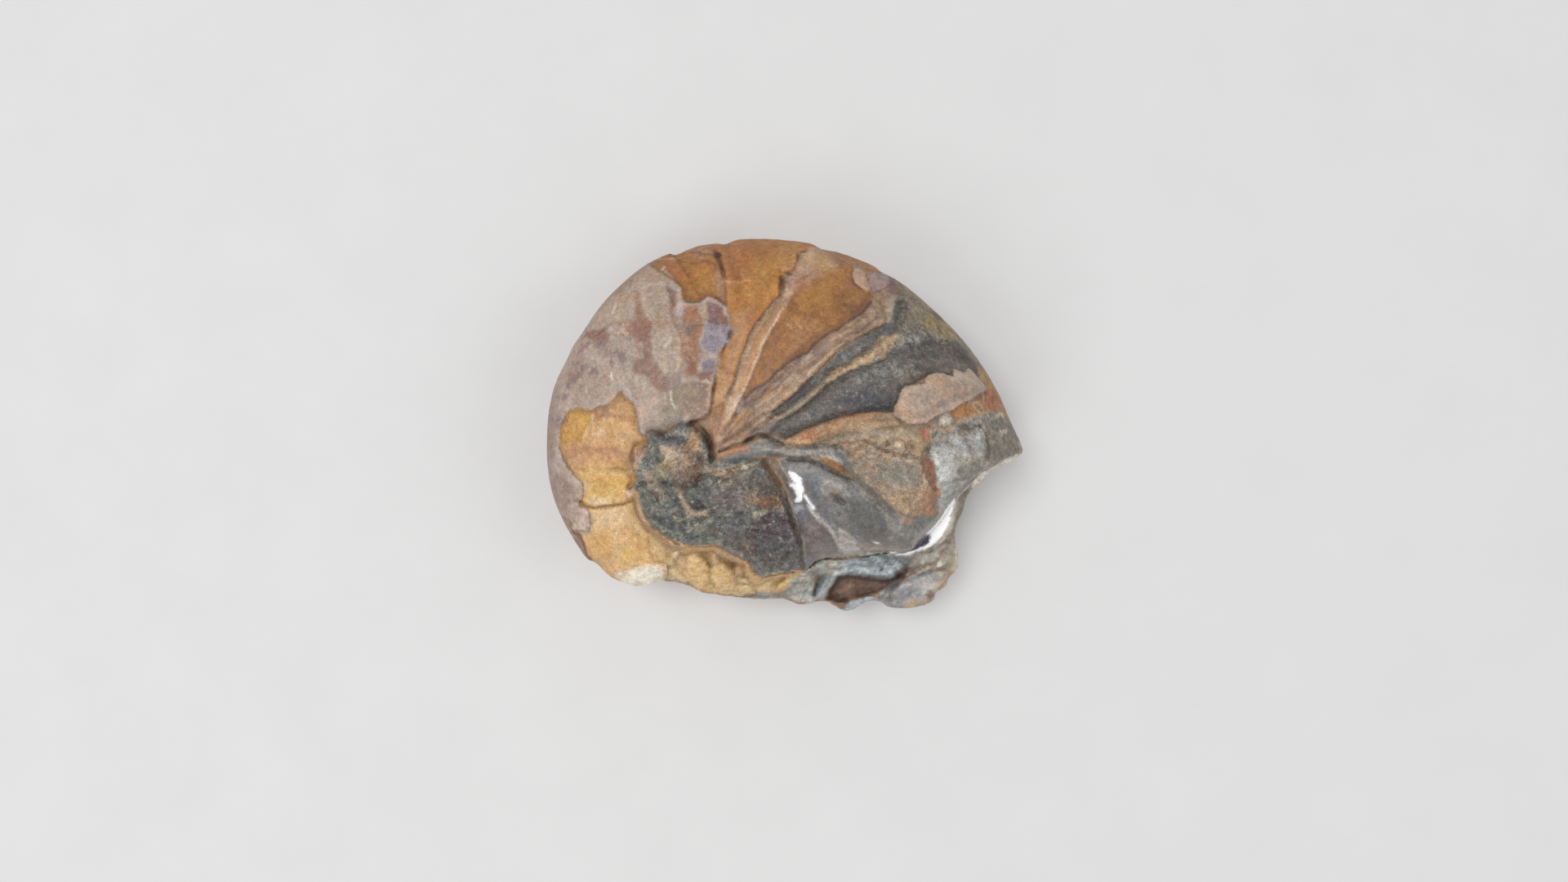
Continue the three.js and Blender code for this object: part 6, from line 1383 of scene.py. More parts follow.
def paint_navel_fold(p):
    """Where the chambers come together at the navel, with the blue-grey fold under the dark crease."""
    meeting = [(-11, -4.6), (-11.2, -2), (-12.2, -1.2), (-11, 1.4), (-8.8, 1), (-8.1, 0.4), (-7.4, 1.4),
               (-5, 1.6), (-3, 0.6), (-1, -1.4), (-2.5, -1.5), (-5, -1.8), (-8, -3)]
    p.fill(meeting, (146, 116, 96), soft=0.12, fray=0.2, mottle=((162, 132, 108), 0.8, 0.42), streaky=True)
    p.dapple(meeting, [(188, 150, 112), (136, 104, 86), (150, 132, 118)], 0.6, streaky=True, seed=63)
    p.fill([(-11.2, 1.2), (-8.8, 0.8), (-8.4, -1), (-10.8, -2), (-12, -1.2)], (170, 130, 100), amount=0.75)
    p.fill([(-8.1, -0.8), (-6.4, -0.2), (-4.6, 1.6), (-6, 1.8), (-7.6, 1)], (186, 146, 104), soft=0.3,
           fray=0.4, amount=0.75)
    for line in ([(-7.8, 0.8), (-7.2, 2), (-6.2, 3.2)], [(-8.4, -1.6), (-7, 0.2), (-5.4, 2.2), (-3.6, 3.8)],
                 [(-7, -1.8), (-5.2, -0.2), (-3, 1.6)], [(-5.8, -1.4), (-4.2, -0.6), (-2.4, 0.6), (0, 2)],
                 [(-10.4, -1.6), (-9.6, -0.2), (-9, 0.8)]):
        p.stroke(line, (112, 84, 68), 0.2, fray=0.3, amount=0.7)
    for line in ([(-7.6, -1.4), (-6, 0.4), (-4.2, 2.2)], [(-9.6, -1.8), (-8.2, -0.4)],
                 [(-4.6, -0.8), (-2.6, 0.2), (-0.6, 1.4)]):
        p.stroke(line, (204, 172, 138), 0.2, fray=0.3, amount=0.65)
    p.fill([(-5.6, -0.6), (-3.6, -0.2), (-1.6, 0.6), (0, 0.6), (-1, -1), (-3, -1), (-5, -1.4)],
           (118, 112, 108), soft=0.3, fray=0.3, amount=0.8)
    p.fill([(-10.4, -4.4), (-8, -3.3), (-5.8, -2.9), (-5.2, -3.9), (-8, -4.4)], (180, 130, 96), soft=0.2,
           fray=0.25, amount=0.85)
    folds = [(-5.6, -3), (-4.4, -2.2), (-2.6, -2.1), (-1.2, -2.7), (0.6, -3.2), (3, -3.3), (5, -3),
             (5, -4.6), (2, -4.9), (-2, -4.9), (-5.2, -4.4)]
    p.fill(folds, (140, 138, 132), soft=0.12, fray=0.2, mottle=((122, 120, 116), 0.5, 0.42), streaky=True)
    p.fill([(-3.8, -1.4), (-2, -1.4), (0, -2.4), (0.8, -3), (-1, -2.6), (-2.4, -2), (-3.8, -2)],
           (136, 124, 114), soft=0.2, fray=0.2, amount=0.8)
    p.stroke([(-4.2, -2.3), (-2, -2.2), (0, -3.3), (2, -3.4)], (172, 160, 138), 0.24)
    p.stroke([(-5, -3.9), (-2, -3.7), (1, -4.3), (5, -4)], (168, 162, 152), 0.2, amount=0.7)
    p.stroke([(-5.4, -4.3), (-2, -4.5), (2, -4.7), (5, -4.7)], (96, 88, 84), 0.2, amount=0.75)
    fold = [(-10.8, -5.7), (-9, -5), (-6.6, -4.5), (-4.6, -4), (-4.2, -4.6), (-6, -5.2), (-8.6, -5.9),
            (-10.4, -6.3)]
    p.fill(fold, (134, 138, 142), soft=0.15, fray=0.15, mottle=((118, 122, 128), 0.6, 0.42))
    p.stroke([(-10.4, -5.5), (-8, -4.8), (-5, -4.1)], (166, 160, 150), 0.24, amount=0.7)
    p.stroke([(-10.8, -6.4), (-8, -6), (-5.6, -5.2), (-3.6, -5)], (120, 98, 82), 0.24)
    crease = [(-9.8, -3.8), (-8, -3.2), (-6.3, -2.8), (-5.4, -1.9), (-4.4, -1.4), (-3.2, -1.3),
              (-2.2, -1.8), (-1.2, -2.5), (0, -2.9)]
    p.stroke(crease, (92, 76, 66), 0.3, soft=0.2, amount=0.85, rise=-0.08)
    p.blot((-5.4, -2.1), (0.9, 0.35), (70, 58, 52), turn=30, soft=0.6, fray=0.2)
    # Painted shade: the deep crevice between the lump and the bands.
    p.stroke([(-13.6, 0), (-12.4, -0.9), (-11.7, -2.2), (-11.3, -3.8), (-11, -5)], (86, 66, 54), 0.7,
             soft=0.35, fray=0.25, amount=0.85)
    p.stroke([(-11, -1), (-10.8, -2.8), (-10.4, -4.2)], (132, 92, 66), 0.5, soft=0.3, fray=0.25)
    p.stroke([(-9.9, -2), (-8.9, -0.2), (-8.2, 1.4)], (200, 162, 132), 0.9, soft=0.5, fray=0.3, amount=0.75)
    p.stroke([(-7, 4.2), (-6.4, 3.3), (-6.8, 2)], (184, 166, 156), 0.6, soft=0.3, amount=0.85)
    p.stroke([(-7.9, 3), (-7.5, 4.6), (-6.6, 7)], (184, 154, 128), 0.6, soft=0.4, amount=0.6)
    p.fill([(-3.4, 14.4), (-1.7, 17.6), (-0.5, 19.4), (0.5, 18.8), (-0.4, 17), (-1.8, 14.8), (-2.6, 13.2)],
           (154, 118, 88), soft=0.3, fray=0.2, amount=0.6)
    p.stroke([(4.6, 7.7), (6.2, 9.1), (8.9, 11.5), (11.4, 13.3)], (166, 144, 124), 0.6, soft=0.3, fray=0.3,
             amount=0.75)
    p.stroke([(-7, -1), (-5.6, 0.8), (-4.4, 2.2)], (122, 102, 92), 0.6, soft=0.4, fray=0.3, amount=0.6)
    p.stroke([(-3.6, 2), (-1.8, 3.1), (0, 4.4), (1.6, 5.8), (3, 7.1), (4.4, 8.3)], (204, 172, 142), 0.8,
             soft=0.35, fray=0.4, amount=0.6)
    p.fill([(-5.4, 0.4), (-4, 2), (-2.4, 2.8), (-1.4, 2), (-2.4, 0.6), (-4, -0.2)], (190, 164, 140),
           amount=0.6, mottle=((160, 136, 116), 0.5, 0.42))
    p.blot((5, -4.6), (1.6, 0.4), (124, 120, 116), fray=0.4, amount=0.6)
    p.fill([(9.8, -5.4), (14, -5.2), (19.6, -5.4), (20, -8.6), (14, -10), (11, -8)], (128, 122, 114),
           soft=0.6, fray=0.8, amount=0.55, mottle=((150, 134, 114), 0.6, 0.42))
    p.fill([(8.6, -0.9), (19.4, -0.6), (19.6, -2), (14, -2.4), (9, -2.2)], (190, 174, 150), fray=0.6,
           amount=0.55)
    p.fill([(18, -9.8), (20.2, -10), (20.4, -12.4), (18, -12.8)], (140, 122, 104), soft=0.5, fray=0.6,
           amount=0.6)
    for centre, size, colour in (((24, -6.2), (1.2, 2), (214, 213, 208)),
                                 ((14, -4), (1.6, 0.8), (126, 110, 94)),
                                 ((12, -2), (1.8, 0.5), (182, 168, 150))):
        p.blot(centre, size, colour, soft=0.6, fray=0.8, amount=0.6)


def paint_septum(p):
    """The last septum's smooth grey face."""
    p.fill(LAST_SEPTUM, (112, 114, 114), soft=0.12, fray=0.12, rough=0.34, mottle=((100, 103, 106), 1.8,
           0.42))
    p.dapple(LAST_SEPTUM, [(134, 134, 131), (90, 92, 94), (122, 114, 106)], 0.9, amount=0.55, seed=64)
    p.dapple(LAST_SEPTUM, [(150, 150, 148), (92, 96, 104), (134, 122, 112)], 0.4, amount=0.45, seed=67)
    p.fill([(10, -10), (14, -12.4), (15.4, -15), (15.6, -17.4), (12, -17.5), (9, -14.6), (8.6, -12)],
           (90, 90, 88), soft=0.8, amount=0.7)
    p.fill([(0.6, -5.4), (5, -5.6), (8.6, -8.2), (9.4, -10.2), (7, -9), (3.6, -7.4), (0.6, -6.6)],
           (140, 138, 134), fray=0.4, amount=0.75)
    p.fill([(3, -6.9), (5.6, -7.4), (5.4, -9.2), (3.4, -9)], (108, 110, 114), amount=0.7)
    p.fill([(5, -8.4), (7.4, -8.2), (9, -10), (7.4, -10.4), (5.2, -10)], (146, 142, 136), amount=0.7)
    p.fill([(4.2, -12), (7.4, -12.6), (8.4, -14.6), (6.6, -15), (4.8, -13.6)], (104, 106, 110), soft=0.5,
           amount=0.7)
    left = [(1.8, -13.2), (3.6, -12.8), (5.6, -15), (7, -17), (7.9, -19.2), (6, -19.8), (4, -20.6),
            (2.8, -19), (2.4, -16)]
    p.fill(left, (122, 112, 110), soft=0.3, fray=0.3, amount=0.85, mottle=((106, 94, 92), 0.8, 0.42))
    p.fill([(1.6, -12.4), (3, -12.6), (3.4, -14.6), (2.2, -14.6)], (108, 106, 120), soft=0.3, fray=0.3,
           amount=0.8)
    p.stroke([(5.4, -15), (6.8, -16.8), (7.9, -19.2)], (92, 78, 76), 0.3, soft=0.2, amount=0.7)
    ridge = [(3.4, -12), (4.2, -13), (5.4, -14.2), (6.6, -15.4), (7.6, -17), (8.2, -18.6)]
    p.stroke(ridge, (172, 166, 156), 0.4, soft=0.25)
    p.fill([(7.8, -15.4), (9, -15.6), (10.2, -16.8), (11.2, -18.4), (11.8, -19.4), (10.4, -19.6),
            (8.6, -19.2), (8, -17.8)], (174, 170, 162), soft=0.2, fray=0.25, mottle=((152, 142, 130), 0.7,
           0.42))
    p.fill([(15, -12.8), (17, -14), (18.6, -15.8), (17.6, -16.8), (15.8, -15.6), (14.6, -14)],
           (148, 146, 140), soft=0.35, fray=0.4, amount=0.8, mottle=((134, 130, 122), 0.6, 0.42))
    p.fill([(16.2, -16.4), (17.8, -17), (19.6, -16.4), (20.4, -17), (19, -18.4), (17, -18.4)],
           (104, 100, 94), soft=0.35, fray=0.4, amount=0.75)
    for line, colour in (([(9.6, -8.2), (12, -10), (15, -12.4)], (152, 146, 138)),
                         ([(10.8, -7.8), (13.2, -9.8), (16, -12.6)], (90, 84, 80)),
                         ([(9.4, -7.6), (11.6, -8.6), (13.6, -10.6), (15.4, -12)], (132, 122, 110)),
                         ([(11.4, -10.4), (13.4, -12), (15.4, -14)], (146, 138, 126)),
                         ([(6, -8.4), (8, -9.4), (10, -10.8)], (158, 154, 148)),
                         ([(9, -10), (10, -12), (10.2, -15)], (94, 92, 90))):
        p.stroke(line, colour, 0.32, soft=0.25, fray=0.3, amount=0.7)
    for centre, size in (((11.8, -10.2), (0.4, 0.25)), ((12.8, -10.7), (0.35, 0.2)),
                         ((6.2, -8.6), (0.3, 0.3)), ((5.4, -9.5), (0.3, 0.25))):
        p.blot(centre, size, (176, 168, 156), turn=-40, fray=0.2, amount=0.7)
    p.blot((7.9, -10.9), (1.25, 0.34), (72, 64, 58), turn=-32, soft=0.45, fray=0.25, amount=0.9)
    p.blot((7.4, -10.2), (1, 0.5), (128, 116, 98), turn=-32, fray=0.4, amount=0.6)
    # Painted highlight: a small white glint on the septum.
    p.stroke([(13.3, -17.4), (13.5, -17.7), (13.9, -17.7), (14.3, -17.9)], (238, 232, 224), 0.16, soft=0.12,
             fray=0.3, amount=1)
    p.blot((16, -16.7), (0.3, 0.2), (176, 164, 148), fray=0.3, amount=0.5)
    p.stroke([(11.2, -17.7), (12.6, -18.4), (14.6, -18.3), (16.6, -18.6)], (158, 132, 106), 0.5, soft=0.3,
             fray=0.3)
    p.stroke([(11.4, -17), (14, -17.4), (17, -17.8), (19, -17.6)], (112, 94, 78), 0.4, soft=0.3, fray=0.35,
             amount=0.6)
    lip = [(5.5, -19.7), (8, -19.5), (11, -19.3), (12, -18.6), (14, -18.5), (17, -18.8), (18.8, -18.3),
           (20.3, -17.2)]
    p.stroke(lip, (162, 158, 150), 0.26, fray=0.15, amount=0.75)
    p.stroke([(19.2, -17.4), (21, -15.8), (22.8, -13.9)], (152, 147, 137), 0.8, soft=0.3, amount=0.75)
    p.stroke([(-1.2, -6.2), (-0.3, -8), (0.2, -10), (0.3, -12), (0.8, -13.5), (1.5, -15), (2.1, -16),
              (2.3, -18), (2.6, -20), (2.9, -21.8)], (82, 76, 72), 0.3, soft=0.18, fray=0.3)
    p.fill([(-3.6, -5.4), (-1, -5.2), (0.4, -8), (1.2, -11), (1.3, -13), (0.7, -12.6), (0, -9.6),
            (-1.6, -6.6)], (140, 130, 116), soft=0.25, fray=0.3, amount=0.75, mottle=((122, 114, 104), 0.5,
           0.42))
    p.stroke([(-2.6, -5.4), (-0.6, -8), (0.7, -10.8), (1.2, -13), (2, -15.4), (2.8, -18), (3, -20.4)],
             (168, 158, 144), 0.3, amount=0.75)
    p.stroke([(-1, -5.2), (0.4, -7.4), (1.2, -9.6)], (180, 172, 158), 0.24, amount=0.7)
    # Painted highlight: the white glint on the septum's smooth face, its bluish fleck and the white streak
    # running on from it.
    painted_highlight = [(0.6, -6.7), (1.3, -6.8), (2, -7.3), (2.6, -7.9), (2.5, -8.3), (2.8, -9), (2.9, -9.7),
             (2.6, -10.1), (2.7, -10.9), (2.4, -11.5), (1.8, -11.6), (1.4, -11.3), (1.8, -10.7),
             (1.4, -10.1), (1.4, -9.6), (0.8, -9.2), (0.6, -9), (1.4, -8.4), (0.8, -7.8), (0.6, -7.2)]
    p.fill(painted_highlight, (246, 248, 250), soft=0.1, fray=0.2, rough=0.15)
    p.blot((1.5, -8.5), (0.5, 0.2), (140, 150, 164), turn=-20, fray=0.35, amount=0.7)
    p.stroke([(3.1, -10.6), (4.1, -12.4)], (242, 244, 246), 0.42, fray=0.25, amount=1, rough=0.15)
    p.stroke([(3.3, -12), (4, -13), (4.8, -14)], (206, 206, 204), 0.24, fray=0.25, amount=0.75)
    p.blot((1.9, -12.6), (0.7, 0.5), (184, 190, 198), soft=0.6, fray=0.4, amount=0.6)
    p.stroke([(0, -5.1), (3, -5.1), (5, -5.6), (6.3, -6.6), (8, -7.5), (10, -8.2)], (82, 74, 68), 0.24,
             fray=0.15, amount=0.7)


def paint_matrix(p):
    """The lump of dark, rough rock in the navel."""
    p.fill(UMBILICAL_MATRIX, (108, 110, 103), soft=0.12, fray=0.3, rough=0.75,
           mottle=((128, 130, 119), 1, 0.42))
    p.dapple(UMBILICAL_MATRIX, [(84, 86, 86), (128, 112, 98), (140, 140, 128)], 1.2, amount=0.6, seed=61)
    p.dapple(UMBILICAL_MATRIX, [(70, 72, 74), (150, 150, 140)], 0.5, amount=0.55, seed=62)
    top = [(-20.2, -1.8), (-18.4, -1.2), (-16.8, -1.7), (-15.2, -2), (-14.4, -3), (-15.6, -3.7),
           (-17.6, -3.2), (-19.4, -2.8)]
    p.fill(top, (88, 90, 92), soft=0.25, fray=0.35, amount=0.85, mottle=((106, 108, 108), 0.6, 0.42))
    left = [(-20.2, -3.2), (-18.4, -3), (-18.2, -4.4), (-19, -6), (-20, -7.8), (-21.6, -7.6), (-22, -6),
            (-21.4, -4.6)]
    p.fill(left, (94, 98, 94), soft=0.3, fray=0.4, amount=0.85, mottle=((126, 130, 122), 0.6, 0.42))
    pink = [(-22.6, -4.2), (-21.4, -3.4), (-20.4, -3.6), (-21.4, -5.2), (-22, -7), (-22.6, -6.2)]
    p.fill(pink, (176, 142, 120), soft=0.2, fray=0.3, amount=0.85)
    centre = [(-17.8, -3.4), (-15.4, -4), (-14.2, -2.2), (-13.4, -0.8), (-12.6, -3), (-12, -5),
              (-12.4, -7.4), (-13.4, -9), (-15.6, -9), (-17, -7.6), (-17.8, -5.2)]
    p.fill(centre, (170, 144, 120), soft=0.35, fray=0.6, amount=0.9, mottle=((146, 121, 102), 0.7, 0.42))
    p.blot((-17.4, -4.4), (1, 0.9), (160, 148, 128), fray=0.6, amount=0.75)
    p.blot((-17.9, -6), (1.2, 0.8), (164, 148, 104), soft=0.4, amount=0.85)
    p.blot((-13.5, -2.4), (0.8, 1.7), (182, 142, 106), turn=-12, soft=0.4, amount=0.85)
    p.blot((-13.6, -1.6), (0.35, 0.5), (202, 158, 134), fray=0.3)
    p.blot((-15.4, -5.2), (1, 0.9), (168, 142, 124), amount=0.7)
    p.blot((-14, -7.2), (0.8, 1), (118, 90, 72), fray=0.6)
    p.blot((-15.8, -7.7), (1.2, 0.9), (128, 112, 106), fray=0.6, amount=0.75)
    # Painted shade in the valley on the bowl's right side.
    p.blot((-12.6, -5.6), (0.6, 1.3), (104, 98, 96), fray=0.6, amount=0.75)
    p.blot((-15, -0.1), (0.9, 0.6), (112, 122, 124), soft=0.4, amount=0.85)
    p.stroke([(-13.9, -0.2), (-13.2, 0), (-12.6, -0.6)], (176, 138, 100), 0.5, fray=0.3)
    # Painted shadow along the lump's upper edge.
    p.blot((-18.4, -1.4), (1, 0.3), (84, 68, 56), turn=-12, fray=0.25)
    p.blot((-16.6, -2), (0.6, 0.3), (70, 68, 66), fray=0.3, rise=-0.15)
    big = [(-19, -7.6), (-17, -7.6), (-15.8, -9.2), (-15.2, -11.2), (-14, -13.3), (-12.4, -13.7),
           (-12, -15.4), (-11.4, -17.8), (-16, -17.8), (-18.4, -16), (-20.6, -14.4), (-21.6, -12),
           (-21.2, -9.6)]
    p.fill(big, (98, 102, 98), amount=0.8, mottle=((120, 124, 114), 0.5, 0.42))
    p.dapple(big, [(74, 78, 78), (142, 146, 136)], 0.35, seed=65)
    p.blot((-18.4, -10.6), (1.3, 0.8), (128, 108, 90), fray=0.7, amount=0.75)
    p.blot((-18.2, -14.2), (1.1, 0.8), (72, 78, 84), fray=0.6)
    p.blot((-16.2, -14.1), (0.8, 0.6), (160, 152, 132), soft=0.4, fray=0.6, mottle=((128, 104, 82), 0.3,
           0.4))
    p.blot((-12.7, -15.4), (0.7, 0.8), (140, 138, 120), fray=0.6, amount=0.75)
    p.fill([(-13, -9.4), (-11, -8.4), (-10.2, -10), (-10.6, -12.6), (-12.6, -12.4)], (86, 88, 90),
           amount=0.75)
    p.fill([(-11.6, -7.4), (-10, -7.6), (-10.2, -9.4), (-12, -9.6)], (114, 116, 112), soft=0.3, amount=0.8)
    p.fill([(-10, -9.6), (-6, -9.6), (-5.6, -11.8), (-6.8, -13.2), (-9.8, -13)], (124, 108, 104), fray=0.6,
           amount=0.85, mottle=((110, 106, 104), 0.6, 0.42))
    p.fill([(-6, -9.9), (-4.4, -9.8), (-4.6, -11.6), (-6, -11.2)], (130, 108, 86), soft=0.3, amount=0.75)
    p.fill([(-4.6, -9.9), (-1.4, -10), (-0.6, -11.6), (-1.2, -12.4), (-3, -12.2), (-4.4, -11.6)],
           (138, 96, 66), soft=0.5, fray=0.7, amount=0.95, mottle=((118, 88, 68), 0.5, 0.45))
    p.fill([(-5, -12.2), (-3, -12.4), (-2.4, -12.8), (-3.6, -13.3), (-5, -13.3)], (160, 150, 132), soft=0.3,
           fray=0.7, amount=0.7)
    p.fill([(-10.6, -8), (-4, -7), (-2, -8), (-1.4, -9.8), (-6, -9.6), (-10, -9.6)], (124, 112, 100),
           fray=0.6, amount=0.75, mottle=((106, 104, 100), 0.6, 0.42))
    p.fill([(-4.6, -5.2), (-3.4, -5.2), (-2, -8), (-3.4, -8.6), (-4.8, -7.4)], (92, 90, 86), soft=0.3,
           fray=0.4, amount=0.75)
    p.fill([(-7.6, -6.6), (-5.6, -6.2), (-3.8, -5.4), (-4.2, -6.6), (-6, -7.6), (-7.6, -7.6)],
           (144, 136, 120), soft=0.3, fray=0.4, amount=0.75)
    p.fill([(-11.8, -6.4), (-9, -6.6), (-7, -6), (-6.4, -6.6), (-8.4, -7.7), (-11, -7.5)], (182, 156, 132),
           soft=0.2, fray=0.3, amount=0.9)
    p.stroke([(-11.4, -7), (-9.8, -7.6), (-8.6, -7.7), (-7, -6.8), (-5.2, -6)], (190, 170, 138), 0.26,
             fray=0.25)
    p.fill([(-5, -14), (-3.4, -13.6), (-2, -12.8), (0.4, -13), (1.6, -16), (0.6, -17), (-2, -17.6),
            (-5, -16.6)], (92, 62, 72), fray=0.7, amount=0.9, mottle=((78, 68, 78), 0.6, 0.45))
    p.fill([(-4.6, -17.4), (1.6, -16.4), (2.2, -19.6), (-3.6, -19.6)], (74, 75, 84), fray=0.7, amount=0.85,
           mottle=((102, 100, 106), 0.5, 0.42))
    p.fill([(-8.6, -17.2), (-5.6, -16.8), (-4, -17.6), (-4.6, -19.4), (-7.4, -19)], (124, 104, 92),
           soft=0.3, amount=0.8, mottle=((108, 96, 92), 0.5, 0.42))
    p.fill([(-5.4, -20.2), (-2, -19.8), (2.2, -19.4), (2.6, -21.8), (-0.4, -22), (-3, -22.4),
            (-4.6, -21.8)], (110, 106, 102), fray=0.4, amount=0.8, mottle=((94, 92, 92), 0.5, 0.42))
    p.blot((-3.5, -20.8), (0.5, 0.4), (186, 184, 172), soft=0.4, fray=0.4, amount=0.85)
    p.blot((-2.6, -20.4), (0.7, 0.6), (134, 112, 84), soft=0.4)
    p.fill([(-10, -13.6), (-6, -13.4), (-5.2, -15.4), (-6.4, -17), (-9.8, -17)], (100, 102, 102), soft=0.6,
           fray=0.8, amount=0.75, mottle=((84, 84, 88), 0.5, 0.45))
    p.fill([(-10.6, -14), (-9.6, -13.8), (-9, -15.2), (-9.8, -16.4), (-10.6, -16)], (136, 134, 124),
           fray=0.8, amount=0.6, mottle=((96, 98, 96), 0.4, 0.45))
    p.dapple(UMBILICAL_MATRIX, [(56, 60, 60), (164, 164, 152)], 0.32, amount=0.22, seed=68)
    p.dapple(big, [(66, 70, 66)], 0.8, seed=69)
    vein = [(-15.6, -9.8), (-15, -11.4), (-14.2, -12.8), (-13.2, -13.4), (-12, -13.5), (-11.4, -12.9)]
    p.stroke(vein, (168, 146, 122), 0.6, soft=0.25, fray=0.4, amount=0.85)
    p.fill([(-3.6, -8.6), (-2, -8.4), (-0.9, -9.8), (-0.9, -11), (-2, -10.4), (-3.8, -10)], (84, 74, 64),
           soft=0.3, amount=0.75)
    p.fill([(-16.2, -7.8), (-14.6, -8.4), (-14.4, -9.8), (-15.6, -10.4), (-16.4, -9)], (146, 132, 120),
           soft=0.3, amount=0.75)
    p.speckle(UMBILICAL_MATRIX, (172, 176, 166), 0.5, 0.27, seed=51)
    p.speckle(UMBILICAL_MATRIX, (48, 48, 50), 0.62, 0.3, amount=0.55, rise=-0.1, seed=52)
    p.speckle(UMBILICAL_MATRIX, (190, 180, 156), 1.5, 0.17, amount=0.75, seed=53)
    lip = [(-22, -11.6), (-21.4, -13.6), (-20.4, -14.9), (-19, -16.1), (-17.8, -17), (-16.7, -17.8),
           (-15, -18.2), (-13, -18.1), (-11, -18), (-9.8, -18.3), (-8.5, -19), (-7.3, -19.8), (-5.6, -20.4)]
    p.stroke(lip, (190, 158, 122), 0.42, fray=0.3, amount=0.75)
    p.stroke([(-5.4, -21.6), (-4.4, -22.4), (-3, -22.7), (-1.6, -22.3), (0.4, -22), (2.4, -22.2)],
             (160, 148, 122), 0.3, fray=0.3, amount=0.6)
    p.stroke([(-21.2, -13.2), (-20, -14.8), (-18.4, -16.2), (-16.4, -17.7)], (110, 82, 62), 0.26, soft=0.2,
             fray=0.25, amount=0.7)
    # Painted shadow along the lump's upper edge.
    p.stroke([(-20.2, -1.2), (-19, -0.9), (-17.6, -1)], (104, 78, 62), 0.4, soft=0.3, fray=0.3)
    # Painted highlight: the lit left side of the bowl.
    p.blot((-17.2, -4), (1.4, 0.9), (200, 182, 160), soft=0.6, fray=0.6, amount=0.75)
    p.fill([(-20.8, -6.6), (-17.4, -6.2), (-17, -7.6), (-19, -9.6), (-20.8, -9.4)], (176, 160, 134),
           soft=0.5, fray=0.6, amount=0.6)
    p.fill([(-9.4, -15.8), (-4, -16.4), (0, -15.6), (1.8, -20.8), (-4, -21.2), (-6, -19.4), (-9.4, -18)],
           (74, 72, 74), soft=0.8, fray=0.6, amount=0.5)
    p.fill([(-4.4, -8), (-1.6, -7.8), (-0.8, -9.8), (-4, -9.8)], (88, 78, 70), soft=0.5, amount=0.6)
    p.blot((-13.6, -1.6), (0.9, 0.9), (132, 110, 92), fray=0.6, amount=0.6)


